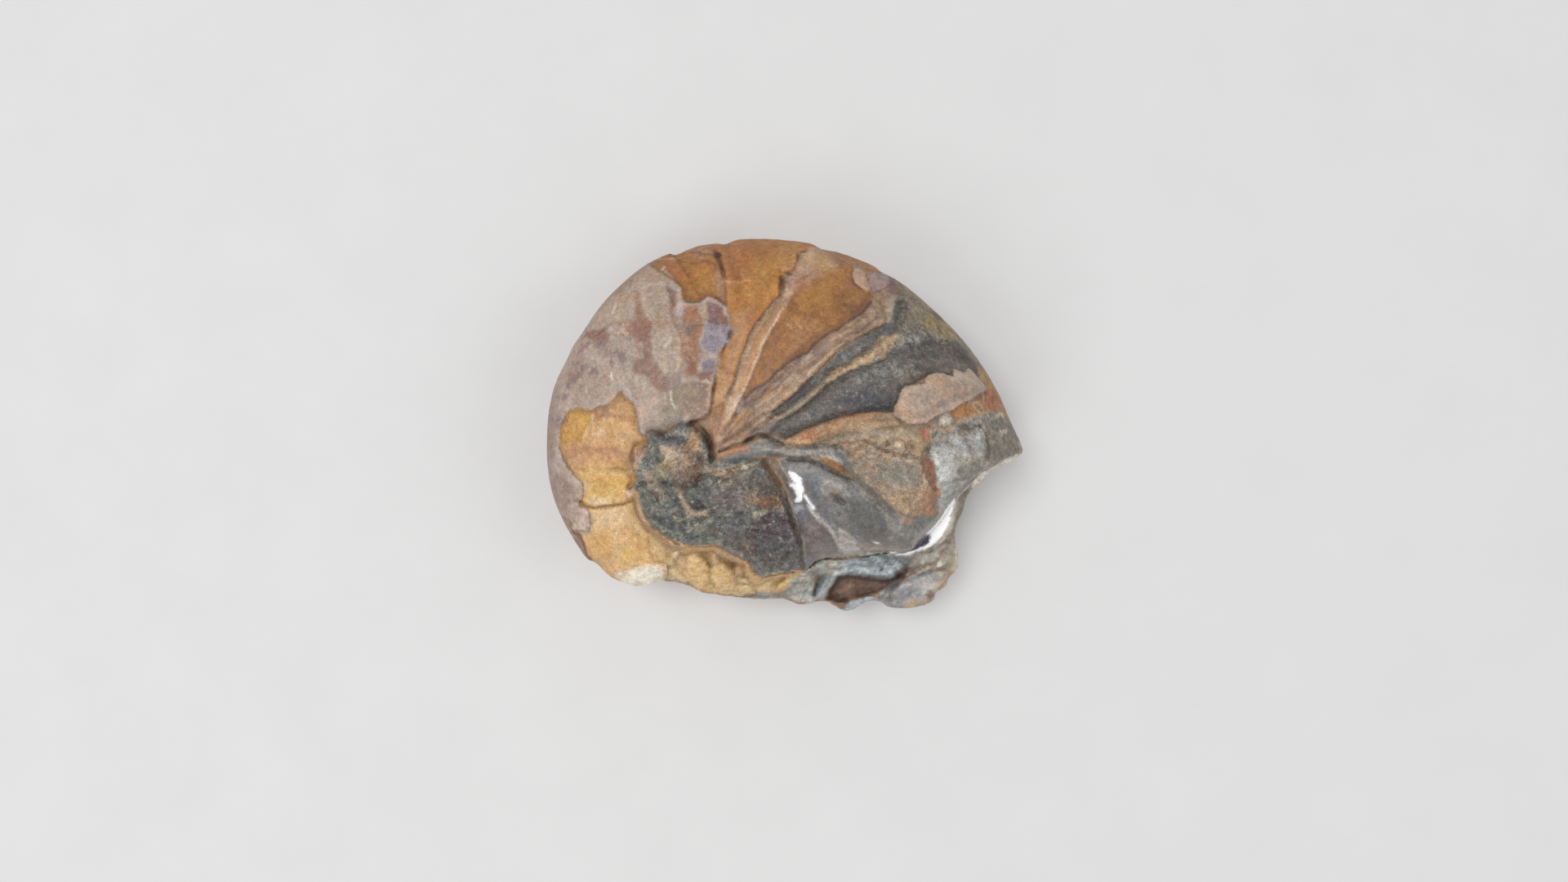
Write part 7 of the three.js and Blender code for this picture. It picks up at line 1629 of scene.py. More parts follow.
def paint_nodules(p):
    """The row of golden nodules under the lump of rock, and the thin layers below them."""
    nodules = [(-20.4, -15.2), (-18, -16.4), (-15, -17.9), (-9.8, -17.9), (-7.3, -19.4), (-5.2, -20.3),
               (-4.8, -22), (-3.4, -22.7), (-0.5, -22), (2.9, -21.8), (3, -24), (0, -24.4), (-4, -25),
               (-8.5, -25.3), (-12.6, -24.8), (-14.4, -23.6), (-17.6, -21.4), (-19.9, -19.8)]
    p.fill(nodules, (205, 168, 116), soft=0.12, fray=0.3, mottle=((192, 152, 100), 1.2, 0.42))
    p.dapple(nodules, [(220, 182, 126), (184, 138, 86), (210, 166, 124)], 0.8, amount=0.35, seed=76)
    some = p.near(nodules, 1)
    levels = nodule_levels(p.at[some])
    on_bed = smoothstep(-0.4, 0.2, depth_inside(nodules, p.at[some]))
    for number, colour in enumerate(((211, 180, 128), (222, 203, 166), (202, 168, 128), (222, 190, 132),
                                    (212, 178, 136), (212, 182, 128), (184, 150, 112), (222, 196, 146),
                                    (206, 180, 126), (206, 184, 132), (216, 184, 122), (184, 156, 108),
                                    (222, 196, 150), (206, 176, 120), (210, 180, 126))):
        centre, size, turn, foot, rise = NODULES[number]
        dome = foot + knob_relief([(centre, size, turn, rise)], ROUND_KNOB, p.at[some])
        on_top = smoothstep(0.25, 0, levels[:, -1] - dome) * (dome > foot)
        p.lay(some, on_top * on_bed * 0.85, colour, mottle=((194, 156, 106), 0.8, 0.3), seed=78)
    # Painted shade: darker where two nodules meet.
    crease = smoothstep(0.3, 0.05, levels[:, -1] - levels[:, -2])
    p.lay(some, crease * on_bed * 0.4, (152, 112, 68))
    p.fill([(-20, -16.6), (-20.3, -18.6), (-19.3, -20.1), (-17.7, -20.1), (-17, -18.4), (-17.6, -17.2)],
           (204, 172, 120), soft=0.2, fray=0.15, amount=0.8)
    # Painted shade along the left edge of the first nodule, under the lump.
    p.stroke([(-20.2, -17), (-20.3, -18.7), (-19.3, -20.3), (-17.6, -20.5)], (156, 116, 74), 0.2, fray=0.15,
             amount=0.75)
    p.stroke([(-17.5, -17.4), (-16.8, -19.4), (-15.8, -21.6), (-14.2, -23.6)], (160, 122, 82), 0.3,
             soft=0.3, amount=0.7)
    p.stroke([(-18.2, -17.4), (-17.6, -18.6), (-17.5, -19.8)], (172, 134, 88), 0.5, soft=0.4, amount=0.6)
    for line in ([(-14.9, -19.6), (-15.1, -21.4), (-14.2, -22.8)], [(-11, -20.9), (-11.1, -22.2),
                 (-10, -23.8)], [(-9.4, -24.4), (-8, -24.2), (-7.2, -23)]):
        p.stroke(line, (226, 196, 144), 0.3, soft=0.25, fray=0.15, amount=0.7)
    for line, colour, width in (([(-20.8, -15.2), (-19, -16.5), (-17, -17.9), (-15.2, -18.5)],
                                (196, 158, 124), 0.6), ([(-14.4, -18.4), (-12.6, -18.2), (-11.2, -18.4)],
                                (176, 142, 104), 0.3),
                                ([(-11.2, -18.4), (-10, -18.8), (-8.5, -19.5), (-7, -20.1), (-5.7, -20.7)],
                                (196, 162, 122), 0.5)):
        p.stroke(line, colour, width, soft=0.2, fray=0.3)
    # Painted shadow: the dark notch between two nodules, under the lump's lip.
    p.fill([(-11.7, -18.9), (-10.7, -18.9), (-10.5, -20), (-10.6, -21.2), (-11.2, -20.8)], (142, 112, 72),
           soft=0.3, fray=0.25, amount=0.75)
    p.blot((-9.6, -20.2), (0.8, 0.9), (214, 184, 144), soft=0.6, fray=0.3, amount=0.6)
    p.fill([(-17.6, -20.2), (-15.9, -19.8), (-15.4, -21.6), (-14.6, -23.3), (-16, -23.7), (-18, -22.8)],
           (226, 202, 156), fray=0.3, amount=0.6)
    p.fill([(-5.9, -20.1), (-4.8, -19.8), (-4.2, -21.6), (-3.5, -22.5), (-4.5, -22.4), (-5.3, -21.4)],
           (96, 91, 86), soft=0.2, fray=0.3, amount=0.85)
    p.fill([(-10.6, -17.8), (-9.4, -18), (-8, -18.8), (-5.8, -19.9), (-5.8, -20.5), (-7.2, -20),
            (-8.4, -19.5), (-9.7, -18.7), (-10.8, -18.3)], (106, 96, 88), soft=0.2, fray=0.3, amount=0.8)
    p.stroke([(-10, -18.8), (-8.6, -19.6), (-7.2, -20.3), (-5.7, -20.8)], (196, 164, 130), 0.3, fray=0.25,
             amount=0.75)
    p.stroke([(-19.8, -15), (-18.3, -16.2), (-17, -17.1), (-15.8, -17.8)], (110, 102, 88), 0.36, fray=0.25,
             amount=0.75)
    # Painted shade in the hollow beside the next nodules.
    p.fill([(-8.6, -19.9), (-7.6, -20), (-7.3, -21.2), (-7.8, -21.4)], (116, 86, 52), soft=0.3, fray=0.25,
           amount=0.8)
    # Painted shade: thin dark lines in the creases between the layered nodules.
    for crease in ([(-7.2, -22.7), (-5.6, -22.6), (-4.2, -22.9)], [(-7, -23.5), (-5.4, -23.7),
                   (-4.3, -23.6)], [(-17.9, -21.8), (-16.8, -22.5), (-15.4, -23.6)],
                   [(-9.9, -24.2), (-8.4, -24.9), (-7, -24.6)]):
        p.stroke(crease, (164, 124, 80), 0.14, soft=0.14, fray=0.3, amount=0.7)
    strip = [(-12.8, -24.8), (-11, -25.1), (-8.5, -25.6), (-4.8, -25.6), (-4.2, -24.9), (-0.4, -24.9),
             (3.6, -24.4), (4.6, -27.4), (-13, -27)]
    p.fill(strip, (150, 148, 142), soft=0.12, fray=0.2, mottle=((172, 162, 142), 0.6, 0.42))
    p.stroke([(-12.8, -24.8), (-8.5, -25.5), (-4.9, -25.5), (-4, -24.9)], (128, 94, 58), 0.16, amount=0.6)
    p.stroke([(-9.6, -25), (-7, -25.1), (-5, -25)], (214, 190, 146), 0.5, soft=0.25, fray=0.25, amount=0.6)
    p.stroke([(-6.2, -24.2), (-4.4, -24.3), (-2.6, -24.2)], (214, 192, 148), 0.6, soft=0.3, fray=0.3,
             amount=0.6)


def paint_ledge(p):
    """The grey ledge below the last septum, with the hollow under it and the lobes beside that."""
    striated = [(1.2, -22.9), (2.9, -21.9), (4.4, -22.6), (4.6, -26.4), (3, -26.6), (1, -26), (-0.2, -24.8)]
    p.fill(striated, (190, 190, 180), soft=0.3, fray=0.25, mottle=((164, 168, 166), 0.5, 0.42))
    for line, colour in (([(0.6, -23.2), (2.4, -22.8), (4.2, -23)], (206, 196, 164)),
                         ([(0.4, -24.2), (2.4, -23.8), (4.3, -24.1)], (192, 182, 152)),
                         ([(0.8, -25.2), (2.6, -24.9), (4.3, -25.3)], (132, 134, 134)),
                         ([(0.6, -23.7), (2.4, -23.3), (4.2, -23.6)], (130, 132, 132))):
        p.stroke(line, colour, 0.26, fray=0.25, amount=0.75)
    p.stroke([(0.6, -26.1), (1.6, -26.4), (2.8, -26.6)], (166, 104, 66), 0.34, amount=0.85)
    ledge = [(2.9, -21.9), (5.5, -20), (8, -19.9), (11, -19.6), (12.4, -19), (15, -18.9), (18.5, -19.2),
             (20, -18.9), (19, -20.2), (17.2, -21.9), (15.6, -22.8), (8, -22.5), (6, -22.4), (4.4, -22.6)]
    p.fill(ledge, (168, 178, 179), soft=0.12, fray=0.2, rough=0.45, mottle=((146, 156, 160), 0.7, 0.42))
    p.dapple(ledge, [(200, 209, 210), (110, 120, 128)], 0.4, seed=71)
    p.blot((15.4, -20), (1.7, 0.8), (194, 204, 208), turn=-10, soft=0.6, fray=0.7, amount=0.7,
           mottle=((160, 168, 174), 0.4, 0.4))
    p.fill([(3, -21.8), (5.6, -20), (8.2, -20), (7.6, -21.6), (5.8, -22.3), (4, -22.4)], (168, 158, 140),
           fray=0.4, amount=0.8, mottle=((148, 142, 130), 0.5, 0.42))
    for line in ([(11.6, -18.9), (13.4, -20.2), (14.8, -21.6)], [(13.4, -18.9), (15, -20), (16.4, -21.4)],
                 [(15.4, -19), (16.8, -20), (17.8, -20.9)], [(8.8, -20.2), (10.4, -21.2), (11.2, -22)]):
        p.stroke(line, (100, 112, 120), 0.24, soft=0.16, fray=0.4, amount=0.75)
    for line in ([(4.6, -21.2), (8, -20.8), (12, -20.4)], [(12.6, -19.2), (14.4, -20.4), (15.8, -21.8)],
                 [(14.6, -19), (16.2, -20.2), (17.2, -21.2)], [(7, -21.8), (10, -21.4), (12.8, -21.9)]):
        p.stroke(line, (214, 221, 220), 0.24, fray=0.5)
    p.blot((12, -20.1), (0.9, 0.22), (78, 86, 90), turn=-12, fray=0.25, amount=0.85)
    p.blot((14.4, -21.4), (0.35, 0.3), (74, 72, 72), fray=0.3, amount=0.85)
    p.speckle([(11.6, -20.6), (14.4, -20.6), (14.6, -22), (11.6, -22)], (214, 216, 210), 0.7, 0.24,
              amount=0.7, seed=22)
    p.stroke([(6, -19.6), (8.4, -19.7), (11, -19.4)], (150, 118, 102), 0.3, soft=0.2, fray=0.25,
             amount=0.75)
    hollow = MOUTH_GROOVE[:8] + [(17.4, -22), (19.2, -20.3), (19.9, -20.4), (19.6, -21),
                                 (18, -22.6)] + MOUTH_GROOVE[10:]
    p.fill(hollow, (160, 130, 114), soft=0.12, fray=0.2, rough=0.8, mottle=((136, 110, 96), 0.9, 0.4))
    # Painted shade: the hollow is darkest along its upper and left edges, under the ledge.
    p.fill([(7.6, -22.4), (9.6, -22.2), (12, -22.4), (14, -22.7), (15.8, -22.7), (16.6, -23), (14.6, -23.5),
            (11, -23.2), (8.4, -23.2)], (84, 68, 60), soft=0.5, fray=0.2, amount=0.8)
    p.stroke([(8.1, -22.7), (7.5, -23.8), (6.7, -25.2)], (60, 48, 42), 0.5, soft=0.35)
    p.stroke([(17.4, -22), (18.4, -21.2), (19.3, -20.6)], (116, 92, 82), 0.6, soft=0.3, fray=0.25,
             amount=0.85)
    p.fill([(6.2, -25.9), (7.4, -25.2), (9.2, -25.6), (9.7, -26.2), (9.4, -28.2), (7, -27.6), (5.6, -26.4)],
           (136, 106, 86), soft=0.25, fray=0.3, mottle=((112, 90, 78), 0.6, 0.42))
    p.stroke([(12.6, -25.5), (14.2, -24.9), (15.6, -24), (17, -23.1)], (190, 164, 134), 0.2, amount=0.75)
    p.stroke([(5.8, -26.2), (7.4, -27), (9, -27.8)], (192, 178, 158), 0.4)
    p.dapple([(8.6, -24), (15, -23.8), (13, -25.2), (8.8, -25.8)], [(170, 140, 122), (112, 90, 80)], 0.6,
             seed=72)
    fold = [(7.6, -22.4), (7.3, -23.4), (6.6, -24.2), (5.8, -25.8), (4.6, -26.2), (4.3, -24.6), (5.1, -23),
            (6, -22.4)]
    p.fill(fold, (160, 168, 170), soft=0.12, fray=0.15, mottle=((140, 148, 152), 0.5, 0.4))
    p.stroke([(4.9, -23.6), (4.6, -24.4), (4.4, -25.2)], (70, 72, 74), 0.26, soft=0.2)
    p.stroke([(6.4, -23), (5.8, -24), (5.4, -25.2)], (190, 196, 196), 0.3, soft=0.2, amount=0.6)
    p.fill([(9.3, -26.2), (10.4, -25.9), (12, -25.5), (13.2, -25.3), (13, -26.1), (12, -27.4), (10, -27.9),
            (8.8, -27.6)], (170, 180, 184), soft=0.12, fray=0.2, mottle=((146, 154, 158), 0.5, 0.4))
    lilac = [(15, -24), (16.4, -23.4), (17.6, -22.9), (19.5, -22), (22.5, -21.6), (23, -23.5),
             (22.4, -26.4), (20, -27.4), (15.5, -27.6), (12.8, -26.4), (13.4, -25.8)]
    p.fill(lilac, (160, 160, 160), soft=0.12, fray=0.2, mottle=((145, 146, 148), 0.8, 0.42))
    p.dapple(lilac, [(176, 170, 168), (132, 132, 136)], 0.5, amount=0.4, seed=73)
    p.blot((17, -25.4), (1.2, 1.1), (126, 130, 136), fray=0.6, amount=0.75)
    p.fill([(17.6, -26.2), (20, -25.9), (22.4, -26), (21.4, -27.2), (17.8, -27.4)], (178, 158, 134),
           soft=0.25, fray=0.3, amount=0.85)
    for centre, size, colour in (((21.2, -24.4), (1.3, 1), (216, 212, 204)),
                                 ((15, -25.4), (1, 0.5), (108, 104, 96)),
                                 ((15, -22.6), (1, 0.35), (100, 98, 92)),
                                 ((17.2, -23), (0.8, 0.5), (140, 130, 124))):
        p.blot(centre, size, colour, soft=0.6, fray=0.6, amount=0.7)
    p.blot((21.4, -25.4), (0.6, 0.5), (122, 90, 66), amount=0.85)
    p.stroke([(16.6, -24), (18.6, -23.6), (20.6, -23)], (188, 182, 178), 0.3, soft=0.2, fray=0.4,
             amount=0.6)


def paint_far_wall(p):
    """The far wall of the mouth and the chalky crescent between it and the lip."""
    # Painted light: this base, and the pale blot at (21.4, -19.7) further down, are lightened to lift the
    # shadow that the lip casts here.
    p.fill([(17.5, -22.6), (19.2, -20.6), (18.6, -19.6), (20.4, -19), (24, -18.4), (24, -22), (22.5, -22),
            (20, -22)], (214, 208, 198), soft=0.25, fray=0.25, mottle=((186, 176, 160), 0.7, 0.4))
    wall = [(20, -19.2), (21.8, -18.2), (23, -17.2), (24.4, -15.4), (24.7, -13.6), (25.3, -11.7),
            (27.4, -10), (26.6, -13), (25.6, -15.8), (26, -18), (25.8, -22), (24.6, -23.4), (22.4, -26),
            (22.6, -22.6), (23.6, -20.6), (21.6, -20)]
    p.fill(wall, (178, 172, 157), soft=0.12, fray=0.12, mottle=((162, 155, 139), 0.8, 0.4))
    p.blot((21.4, -19.7), (1.7, 0.5), (226, 224, 218), turn=22, soft=0.6)
    p.dapple(wall, [(188, 178, 160), (140, 126, 108)], 0.5, amount=0.4, seed=74)
    p.stroke([(22.6, -20), (23.6, -18.6), (24.4, -17.2)], (128, 100, 78), 0.4, soft=0.25, fray=0.25,
             amount=0.75)
    p.stroke([(24.8, -21), (23.8, -23), (22.6, -25)], (186, 146, 106), 0.34, soft=0.2)
    p.stroke([(25.4, -13.4), (25.2, -15.6), (25.6, -18), (25.4, -21)], (194, 180, 156), 0.4, soft=0.25,
             amount=0.7)
    p.blot((22.4, -22.6), (0.8, 1), (150, 150, 146), amount=0.6)
    p.stroke([(17.4, -23), (19.5, -22), (21, -21.1), (22.6, -20.9)], (166, 106, 74), 0.3, amount=0.85)
    # Painted light: the pale rim along the crescent and the cream streaks lift the lip's shadow off the far
    # wall.
    p.stroke([(25.6, -11.6), (25.1, -13.2), (24.8, -14.8), (23.9, -16.8), (22.4, -18.3)], (222, 214, 198),
             0.7, soft=0.3, fray=0.1)
    for line in ([(19, -20.2), (20.4, -19.6), (22.4, -19.2)], [(18.4, -20.8), (20.2, -20.4), (21.8, -20)],
                 [(20.6, -19.2), (22.4, -18.8), (23.8, -18)]):
        p.stroke(line, (232, 226, 212), 0.5, soft=0.3, fray=0.4, amount=0.85)
    kept, p.on = p.on, p.on * smoothstep(12.4, 13.4, p.place[:, 2])
    p.fill(CRESCENT, (255, 255, 255), soft=0.06, fray=0.03, rough=0.5)
    p.blot((15.6, -19.1), (0.45, 0.16), (236, 236, 232), fray=0.2, amount=0.9)
    p.fill(NAVY_SPOT, (62, 62, 84), soft=0.08, fray=0.04)
    p.on = kept


def paint_lower_edge(p):
    """What shows along the fossil's lower edge."""
    paint_nodules(p)
    paint_ledge(p)
    paint_far_wall(p)


def paint_inside(p):
    """Broken rock on the cut through the shell."""
    everywhere = np.arange(len(p.place))
    layers = np.column_stack([p.place[:, :2] * 0.35, p.place[:, 2] * 2.2])
    banding = smoothstep(-0.3, 0.4, layered(layers, 1.6, 81))
    p.lay(everywhere, np.ones(len(everywhere)), (150, 128, 106), mottle=((112, 102, 94), 1.6, 0.5), seed=82)
    p.lay(everywhere, banding * 0.55, (104, 92, 84), seed=83)
    p.lay(everywhere, smoothstep(0.2, 0.6, layered(p.place, 2.8, 84)) * 0.6, (184, 146, 100), seed=85)
    p.rise += p.on * 0.3 * layered(layers, 2, 86)
    p.fill([(26, -9.4), (30, -6.2), (38, -2.6), (38, -7.6), (27, -12)], (226, 222, 214), soft=0.5, fray=0.2,
           mottle=((206, 198, 186), 0.8, 0.35))
    p.fill([(24.8, -10.6), (27.8, -8.8), (27, -12), (26.2, -16), (24.2, -16)], (196, 188, 172), fray=0.2)
    p.fill([(25.6, -10.4), (23.4, -12.8), (21, -15.6), (21.4, -17.6), (22.6, -18), (25.2, -14.4)],
           (228, 228, 226), soft=0.3, fray=0.2)
    p.fill([(21.6, -16), (20, -17), (18.4, -18.8), (20, -18.9), (21.8, -17.4)], (62, 62, 84), soft=0.1,
           fray=0.2)
    p.fill([(-21, -14.6), (-15, -16.6), (-10, -16.8), (-4, -19), (-2.6, -22), (-4, -23.4), (-17, -25.4),
            (-21, -20.4)], (192, 150, 102), soft=0.3, fray=0.2, mottle=((172, 130, 86), 0.7, 0.4))


def paint_under(p):
    """The flank that the fossil lies on: the same shell, fill and chamber walls."""
    everywhere = np.arange(len(p.place))
    inner = smoothstep(0.93, 0.8, polar(p.at)[1]) * p.on
    kept, p.on = p.on, inner
    p.lay(everywhere, np.ones(len(everywhere)), (196, 150, 98), mottle=((178, 124, 76), 2.6, 0.45), seed=91)
    patches = layered(p.place, 11, 92) + 0.25 * layered(p.place, 2.2, 93)
    p.lay(everywhere, smoothstep(-0.02, 0.03, patches), (164, 140, 126), mottle=((150, 120, 110), 1.2, 0.4),
          seed=94, rise=0.12)
    p.lay(everywhere, smoothstep(0.06, 0, np.abs(patches)) * 0.7, (112, 84, 66))
    p.lay(everywhere, smoothstep(0.35, 0.5, layered(p.place, 9, 95)), (100, 98, 94),
          mottle=((124, 120, 112), 0.8, 0.4), seed=96)
    for line, _, _ in UNDER_RIBS:
        p.stroke(line, (122, 86, 62), 0.45, fray=0.4, amount=0.85, rise=-0.1)
    centre, size, _, _ = UNDER_UMBILICUS[0]
    p.blot(centre, (size[0] * 0.75, size[1] * 0.75), (92, 92, 88), soft=0.25, fray=1.2, amount=1,
           rough=0.75, mottle=((128, 126, 114), 0.7, 0.45))
    flat = smoothstep(0.25, 0.05, p.place[:, 2])
    p.lay(everywhere, flat * 0.7, (176, 158, 138), mottle=((154, 136, 118), 0.6, 0.4), seed=97)
    p.on = kept


# The surface's finish

MATRIX_RELIEF = 0.34
NODULE_RELIEF = 0.14
GRAIN_RELIEF = 0.05
LUMP_RELIEF = 0.16
PIT_DEPTH = 0.05
BOX_MARGIN = 0.005
SMALL_HOLLOWS = 12             # rounds of averaging that even out the small hollows, and the wide ones
WIDE_HOLLOWS = 120
GRAIN_SCALE = 5200             # the material's patterns, in lumps per metre
CLOUD_SCALE = 1700
PIT_SCALE = 1500.0
PIT_FIELD_SCALE = 700
BUMP_SCALE = 1500
BUMP_HEIGHT = 0.0002
PIT_COLOUR = (0.05, 0.04, 0.035, 1)


def mesh_arrays(mesh):
    count = len(mesh.vertices)
    place = np.empty(count * 3, np.float32)
    mesh.vertices.foreach_get("co", place)
    normal = np.empty(count * 3, np.float32)
    mesh.vertex_normals.foreach_get("vector", normal)
    return place.reshape(-1, 3).astype(float), normal.reshape(-1, 3).astype(float)


def surface_shares(place, normal, at):
    """How much each point belongs to the surface that shows from above, and to the lower flank."""
    on_shelf = depth_inside(SHELF_OUTLINE, at) > 0
    top = np.where(on_shelf, np.minimum(shelf_height(at), upper_height(at)), upper_height(at))
    above = smoothstep(1.6, 0.7, np.abs(place[:, 2] - top))
    facing_down = smoothstep(0.15, 0.0, normal[:, 2])
    below = smoothstep(1.2, 0.5, np.abs(place[:, 2] - lower_height(at))) * facing_down
    keel = smoothstep(0.985, 0.995, polar(at)[1])
    return np.maximum(above * (1 - below), keel), np.maximum(below, 0)


def smoothed(mesh, place, rounds):
    """The surface's points after this many rounds of averaging with their neighbours."""
    ends = np.empty(len(mesh.edges) * 2, np.int32)
    mesh.edges.foreach_get("vertices", ends)
    first, second = ends[::2], ends[1::2]
    count = np.maximum(np.bincount(ends, minlength=len(place)), 1)
    for _ in range(rounds):
        total = []
        for axis in place.T:
            from_second = np.bincount(first, axis[second], len(axis))
            from_first = np.bincount(second, axis[first], len(axis))
            total.append(from_second + from_first)
        place = 0.5 * place + 0.5 * np.column_stack(total) / count[:, None]
    return place


def relief_shade(mesh, place, normal):
    """Painted shade and highlight: darker in hollows, where shade falls, and a little lighter on ridges."""
    small = np.sum((place - smoothed(mesh, place, SMALL_HOLLOWS)) * normal, axis=1)
    wide = np.sum((place - smoothed(mesh, place, WIDE_HOLLOWS)) * normal, axis=1)
    return 1 + 0.2 * np.clip(small / 0.07, -1, 0.6) + 0.12 * np.clip(wide / 0.5, -1, 0.5)


def store(mesh, name, kind, key, values):
    """Keeps a value for every point of the mesh, for the material to read."""
    layer = mesh.attributes.new(name, kind, "POINT")
    layer.data.foreach_set(key, values.astype(np.float32).ravel())


def finish_surface(obj):
    """Adds the fine relief, colours and roughness to every point."""
    mesh = obj.data
    place, normal = mesh_arrays(mesh)
    at = seen_at(place)
    above, below = surface_shares(place, normal, at)
    share = np.maximum(polar(at)[1], 1e-6)
    inward = np.where(below > 0.5, np.minimum(1, 0.985 / share), 1)
    paint = Paint(place, CENTRE + (at - CENTRE) * inward[:, None])
    paint_windows(paint)
    paint_crown(paint)
    paint_shell(paint)
    paint_dark_chamber(paint)
    paint_mouth_side(paint)
    paint_navel_fold(paint)
    paint_matrix(paint)
    paint_septum(paint)
    paint_lower_edge(paint)
    paint.rise *= above
    paint.on = below
    paint_under(paint)
    paint.on = np.clip(1 - above - below, 0, 1)
    paint_inside(paint)
    matrix = smoothstep(-0.3, 0.5, depth_inside(UMBILICAL_MATRIX, at)) * above
    nodules = smoothstep(0, 0.6, depth_inside(SHELF_OUTLINE, at)) * above
    septum = smoothstep(-0.2, 0.6, depth_inside(LAST_SEPTUM, at)) * above
    rock = matrix * MATRIX_RELIEF + nodules * NODULE_RELIEF * (1 - matrix)
    on_shell = smoothstep(-0.3, 0.3, depth_inside(SHELL, at)) * above
    fine = GRAIN_RELIEF * (1 - septum * 0.8 - on_shell * 0.6)
    lift = paint.rise + rock * layered(place, 1.7, 101) + fine * layered(place, 0.9, 102)
    lift += matrix * LUMP_RELIEF * (0.5 - cell_distance(place, 1.1, 103))
    lift -= PIT_DEPTH * (1 - septum) * smoothstep(0.3, 0.1, cell_distance(place, 1.3, 104))
    lift *= smoothstep(0, 0.6, place[:, 2])
    place = place + normal * lift[:, None]
    paint.on = np.ones(len(place))
    clean = paint.colour.copy()
    off_flake = smoothstep(0.1, -0.1, depth_inside(FLAKE, at))
    rugged = smoothstep(-0.5, 0.8, depth_inside(RUGGED, at)) * off_flake * above
    inside = np.clip(1 - above - below, 0, 1)
    grit = np.clip(0.2 + 0.5 * rugged + 0.8 * matrix + 0.5 * inside + 0.3 * septum, 0, 1)
    white = smoothstep(0.75, 0.9, clean.min(1))
    paint.weather(grit)
    grit -= white * (1 + grit)
    # painted shade in hollows and painted highlight on ridges
    colour = paint.colour * relief_shade(mesh, place, normal)[:, None]
    colour += white[:, None] * (clean - colour)
    low, high = (np.array(corner) / MM - ORIGIN_SHIFT for corner in cad_box)
    place = np.clip(place, low + BOX_MARGIN, high - BOX_MARGIN)
    place[:, 2] = np.where((normal[:, 2] < -0.999) & (place[:, 2] < FOOT), 0, place[:, 2])
    mesh.vertices.foreach_set("co", ((place + ORIGIN_SHIFT) * MM).astype(np.float32).ravel())
    store(mesh, "stain", "FLOAT_COLOR", "color", np.column_stack([colour, np.ones(len(colour))]))
    store(mesh, "roughness", "FLOAT", "value", paint.rough)
    store(mesh, "grit", "FLOAT", "value", grit)
    mesh.polygons.foreach_set("use_smooth", np.ones(len(mesh.polygons), bool))
    mesh.update()
    mesh.set_sharp_from_angle(angle=math.radians(SHARP_ANGLE))


class Nodes:
    """A material's nodes, made and joined by name."""

    def __init__(self, name):
        self.material = bpy.data.materials.new(name)
        self.material.use_nodes = True
        self.tree = self.material.node_tree
        self.shader = self.tree.nodes["Principled BSDF"]

    def add(self, kind, values=None, **settings):
        node = self.tree.nodes.new("ShaderNode" + kind)
        for key, value in settings.items():
            setattr(node, key, value)
        for key, value in (values or {}).items():
            self.put(node, key, value)
        return node

    def put(self, node, key, value):
        if isinstance(value, bpy.types.NodeSocket):
            self.tree.links.new(value, node.inputs[key])
        else:
            node.inputs[key].default_value = value

    def noise(self, scale, detail=4, roughness=0.6):
        place = self.add("TexCoord").outputs["Object"]
        values = {"Vector": place, "Scale": scale, "Detail": detail, "Roughness": roughness}
        return self.add("TexNoise", values).outputs["Fac"]

    def spread(self, value, from_low, from_high, to_low, to_high):
        return self.add("MapRange", {"Value": value, "From Min": from_low, "From Max": from_high,
                                     "To Min": to_low, "To Max": to_high}).outputs["Result"]

    def multiply(self, a, b):
        return self.add("Math", {0: a, 1: b}, operation="MULTIPLY").outputs[0]

    def plus(self, a, b):
        return self.add("Math", {0: a, 1: b}, operation="ADD").outputs[0]

    def around_one(self, swing):
        """One less and one more by the same amount."""
        less = self.add("Math", {0: 1.0, 1: swing}, operation="SUBTRACT").outputs[0]
        return less, self.plus(1.0, swing)

    def mix(self, share, first, second, blend="MIX"):
        """Two colours mixed; sockets 0, 6 and 7 are the node's share and its two colours."""
        made = self.add("Mix", {0: share, 6: first, 7: second}, data_type="RGBA", blend_type=blend)
        return made.outputs[2]


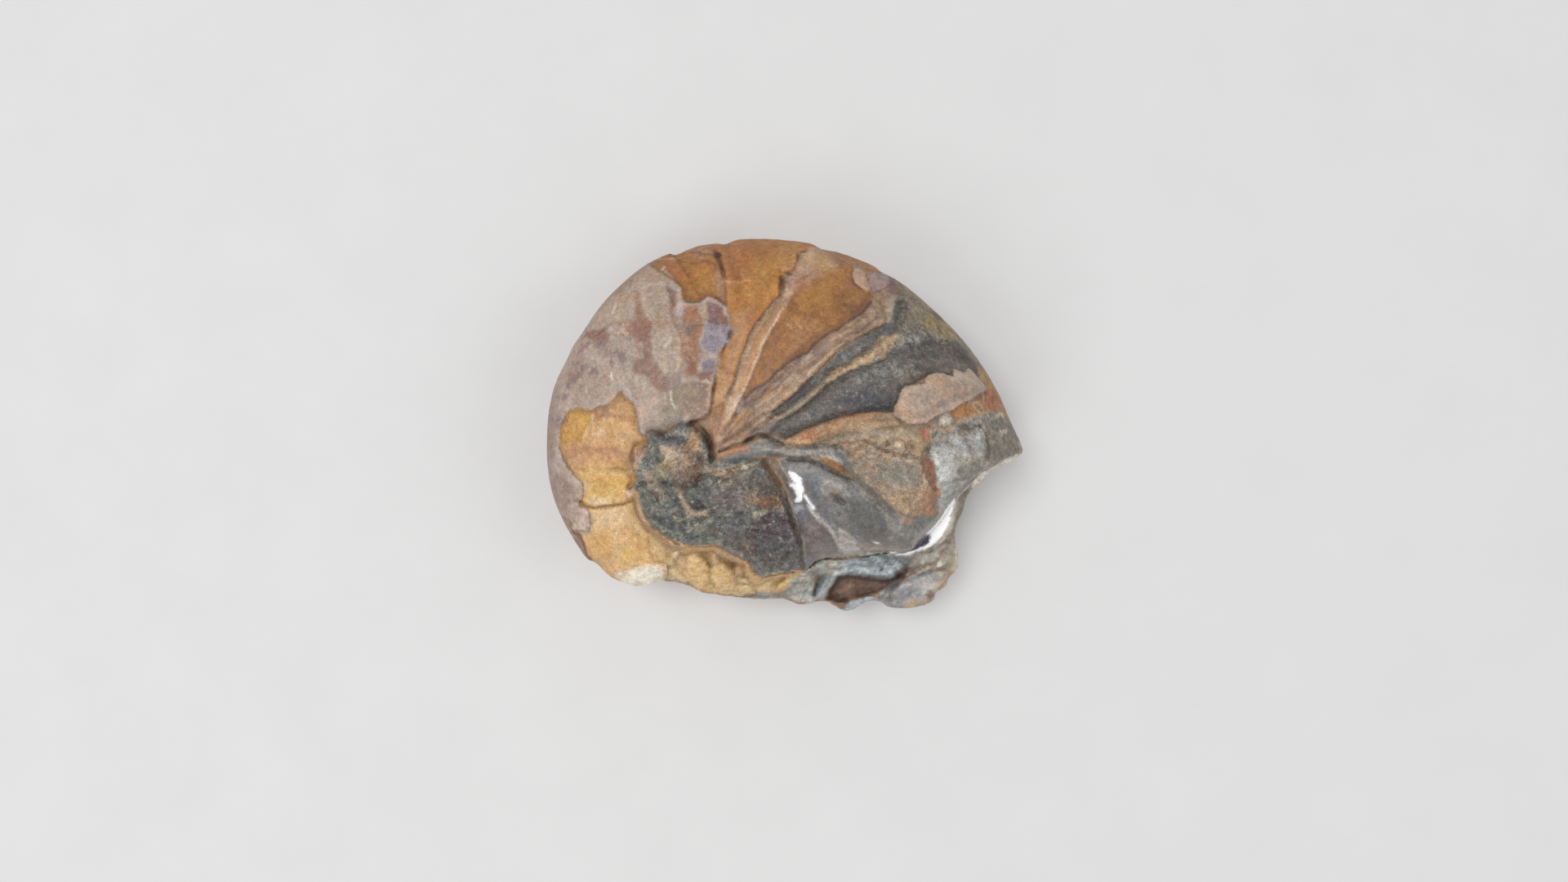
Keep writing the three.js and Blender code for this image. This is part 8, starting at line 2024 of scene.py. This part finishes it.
def stone_material():
    n = Nodes("fossil_stone")
    stain = n.add("Attribute", attribute_name="stain").outputs["Color"]
    rough = n.add("Attribute", attribute_name="roughness").outputs["Fac"]
    grit = n.add("Attribute", attribute_name="grit").outputs["Fac"]
    grain = n.noise(GRAIN_SCALE, 2)
    cloud = n.noise(CLOUD_SCALE, 3)
    fine = n.spread(grain, 0.3, 0.7, *n.around_one(n.spread(grit, -1, 1, 0, 0.42)))
    wide = n.spread(cloud, 0.3, 0.7, *n.around_one(n.spread(grit, -1, 1, 0, 0.27)))
    shade = n.multiply(fine, wide)
    grey = n.add("CombineColor", {"Red": shade, "Green": shade, "Blue": shade}).outputs["Color"]
    toned = n.mix(1.0, stain, grey, "MULTIPLY")
    place = n.add("TexCoord").outputs["Object"]
    pits = n.add("TexVoronoi", {"Vector": place, "Scale": PIT_SCALE}).outputs["Distance"]
    fleck = n.multiply(n.spread(pits, 0.12, 0.2, 1.0, 0.0), n.spread(grit, -0.4, 0, 0.0, 1.0))
    fleck_on = n.multiply(fleck, n.spread(n.noise(PIT_FIELD_SCALE, 3), 0.5, 0.62, 0.0, 0.35))
    n.put(n.shader, "Base Color", n.mix(fleck_on, toned, PIT_COLOUR))
    n.put(n.shader, "Roughness", n.plus(rough, n.spread(grain, 0.3, 0.7, -0.06, 0.08)))
    strength = n.spread(grit, 0.2, 1, 0.22, 0.6)
    relief = n.plus(n.noise(BUMP_SCALE, 6, 0.65), n.multiply(fleck_on, -0.6))
    bump = n.add("Bump", {"Strength": strength, "Distance": BUMP_HEIGHT, "Height": relief})
    n.put(n.shader, "Normal", bump.outputs["Normal"])
    n.shader.inputs["Specular IOR Level"].default_value = 0.4
    return n.material


def plain_material(name, colour, roughness):
    n = Nodes(name)
    shade = n.spread(n.noise(60, 3), 0.3, 0.7, 0.985, 1.015)
    tone = n.add("CombineColor", {channel: n.multiply(shade, value)
                                  for channel, value in zip(("Red", "Green", "Blue"), colour)})
    n.put(n.shader, "Base Color", tone.outputs["Color"])
    n.shader.inputs["Roughness"].default_value = roughness
    return n.material


# Stage

def add_stage():
    bpy.ops.mesh.primitive_plane_add(size=6, location=(0, 0, 0))
    floor = bpy.context.object
    floor.name = "floor"
    floor.data.materials.append(plain_material("floor_paper", (0.72, 0.72, 0.72), 0.9))


def add_light(name, place, size, watts):
    light = bpy.data.lights.new(name, "AREA")
    light.shape = "DISK"
    light.size = size
    light.energy = watts
    obj = bpy.data.objects.new(name, light)
    obj.location = place
    obj.rotation_euler = (-Vector(place)).to_track_quat("-Z", "Y").to_euler()
    bpy.context.scene.collection.objects.link(obj)


def add_lights():
    world = bpy.data.worlds.new("studio")
    world.use_nodes = True
    world.node_tree.nodes["Background"].inputs["Color"].default_value = (1, 1, 1, 1)
    world.node_tree.nodes["Background"].inputs["Strength"].default_value = 0.505
    bpy.context.scene.world = world
    add_light("key", (-0.25, 0.14, 0.9), 0.4, 3.4)
    add_light("fill", (0.55, -0.1, 0.6), 0.5, 0.8)
    add_light("low", (-0.3, -0.4, 0.6), 0.4, 0.9)


def add_camera():
    camera = bpy.data.cameras.new("camera")
    camera.lens = LENS
    camera.sensor_width = 36
    camera.clip_start = 0.005
    camera.clip_end = 20
    obj = bpy.data.objects.new("camera", camera)
    obj.location = (EYE + ORIGIN_SHIFT) * MM
    bpy.context.scene.collection.objects.link(obj)
    bpy.context.scene.camera = obj


fossil = fossil_object()
fossil.name = "fossil"
finish_surface(fossil)
fossil.data.materials.clear()
fossil.data.materials.append(stone_material())
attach(fossil, "root")
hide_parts("nautiloid")
add_stage()
add_lights()
add_camera()
bpy.context.scene.view_settings.view_transform = "Standard"
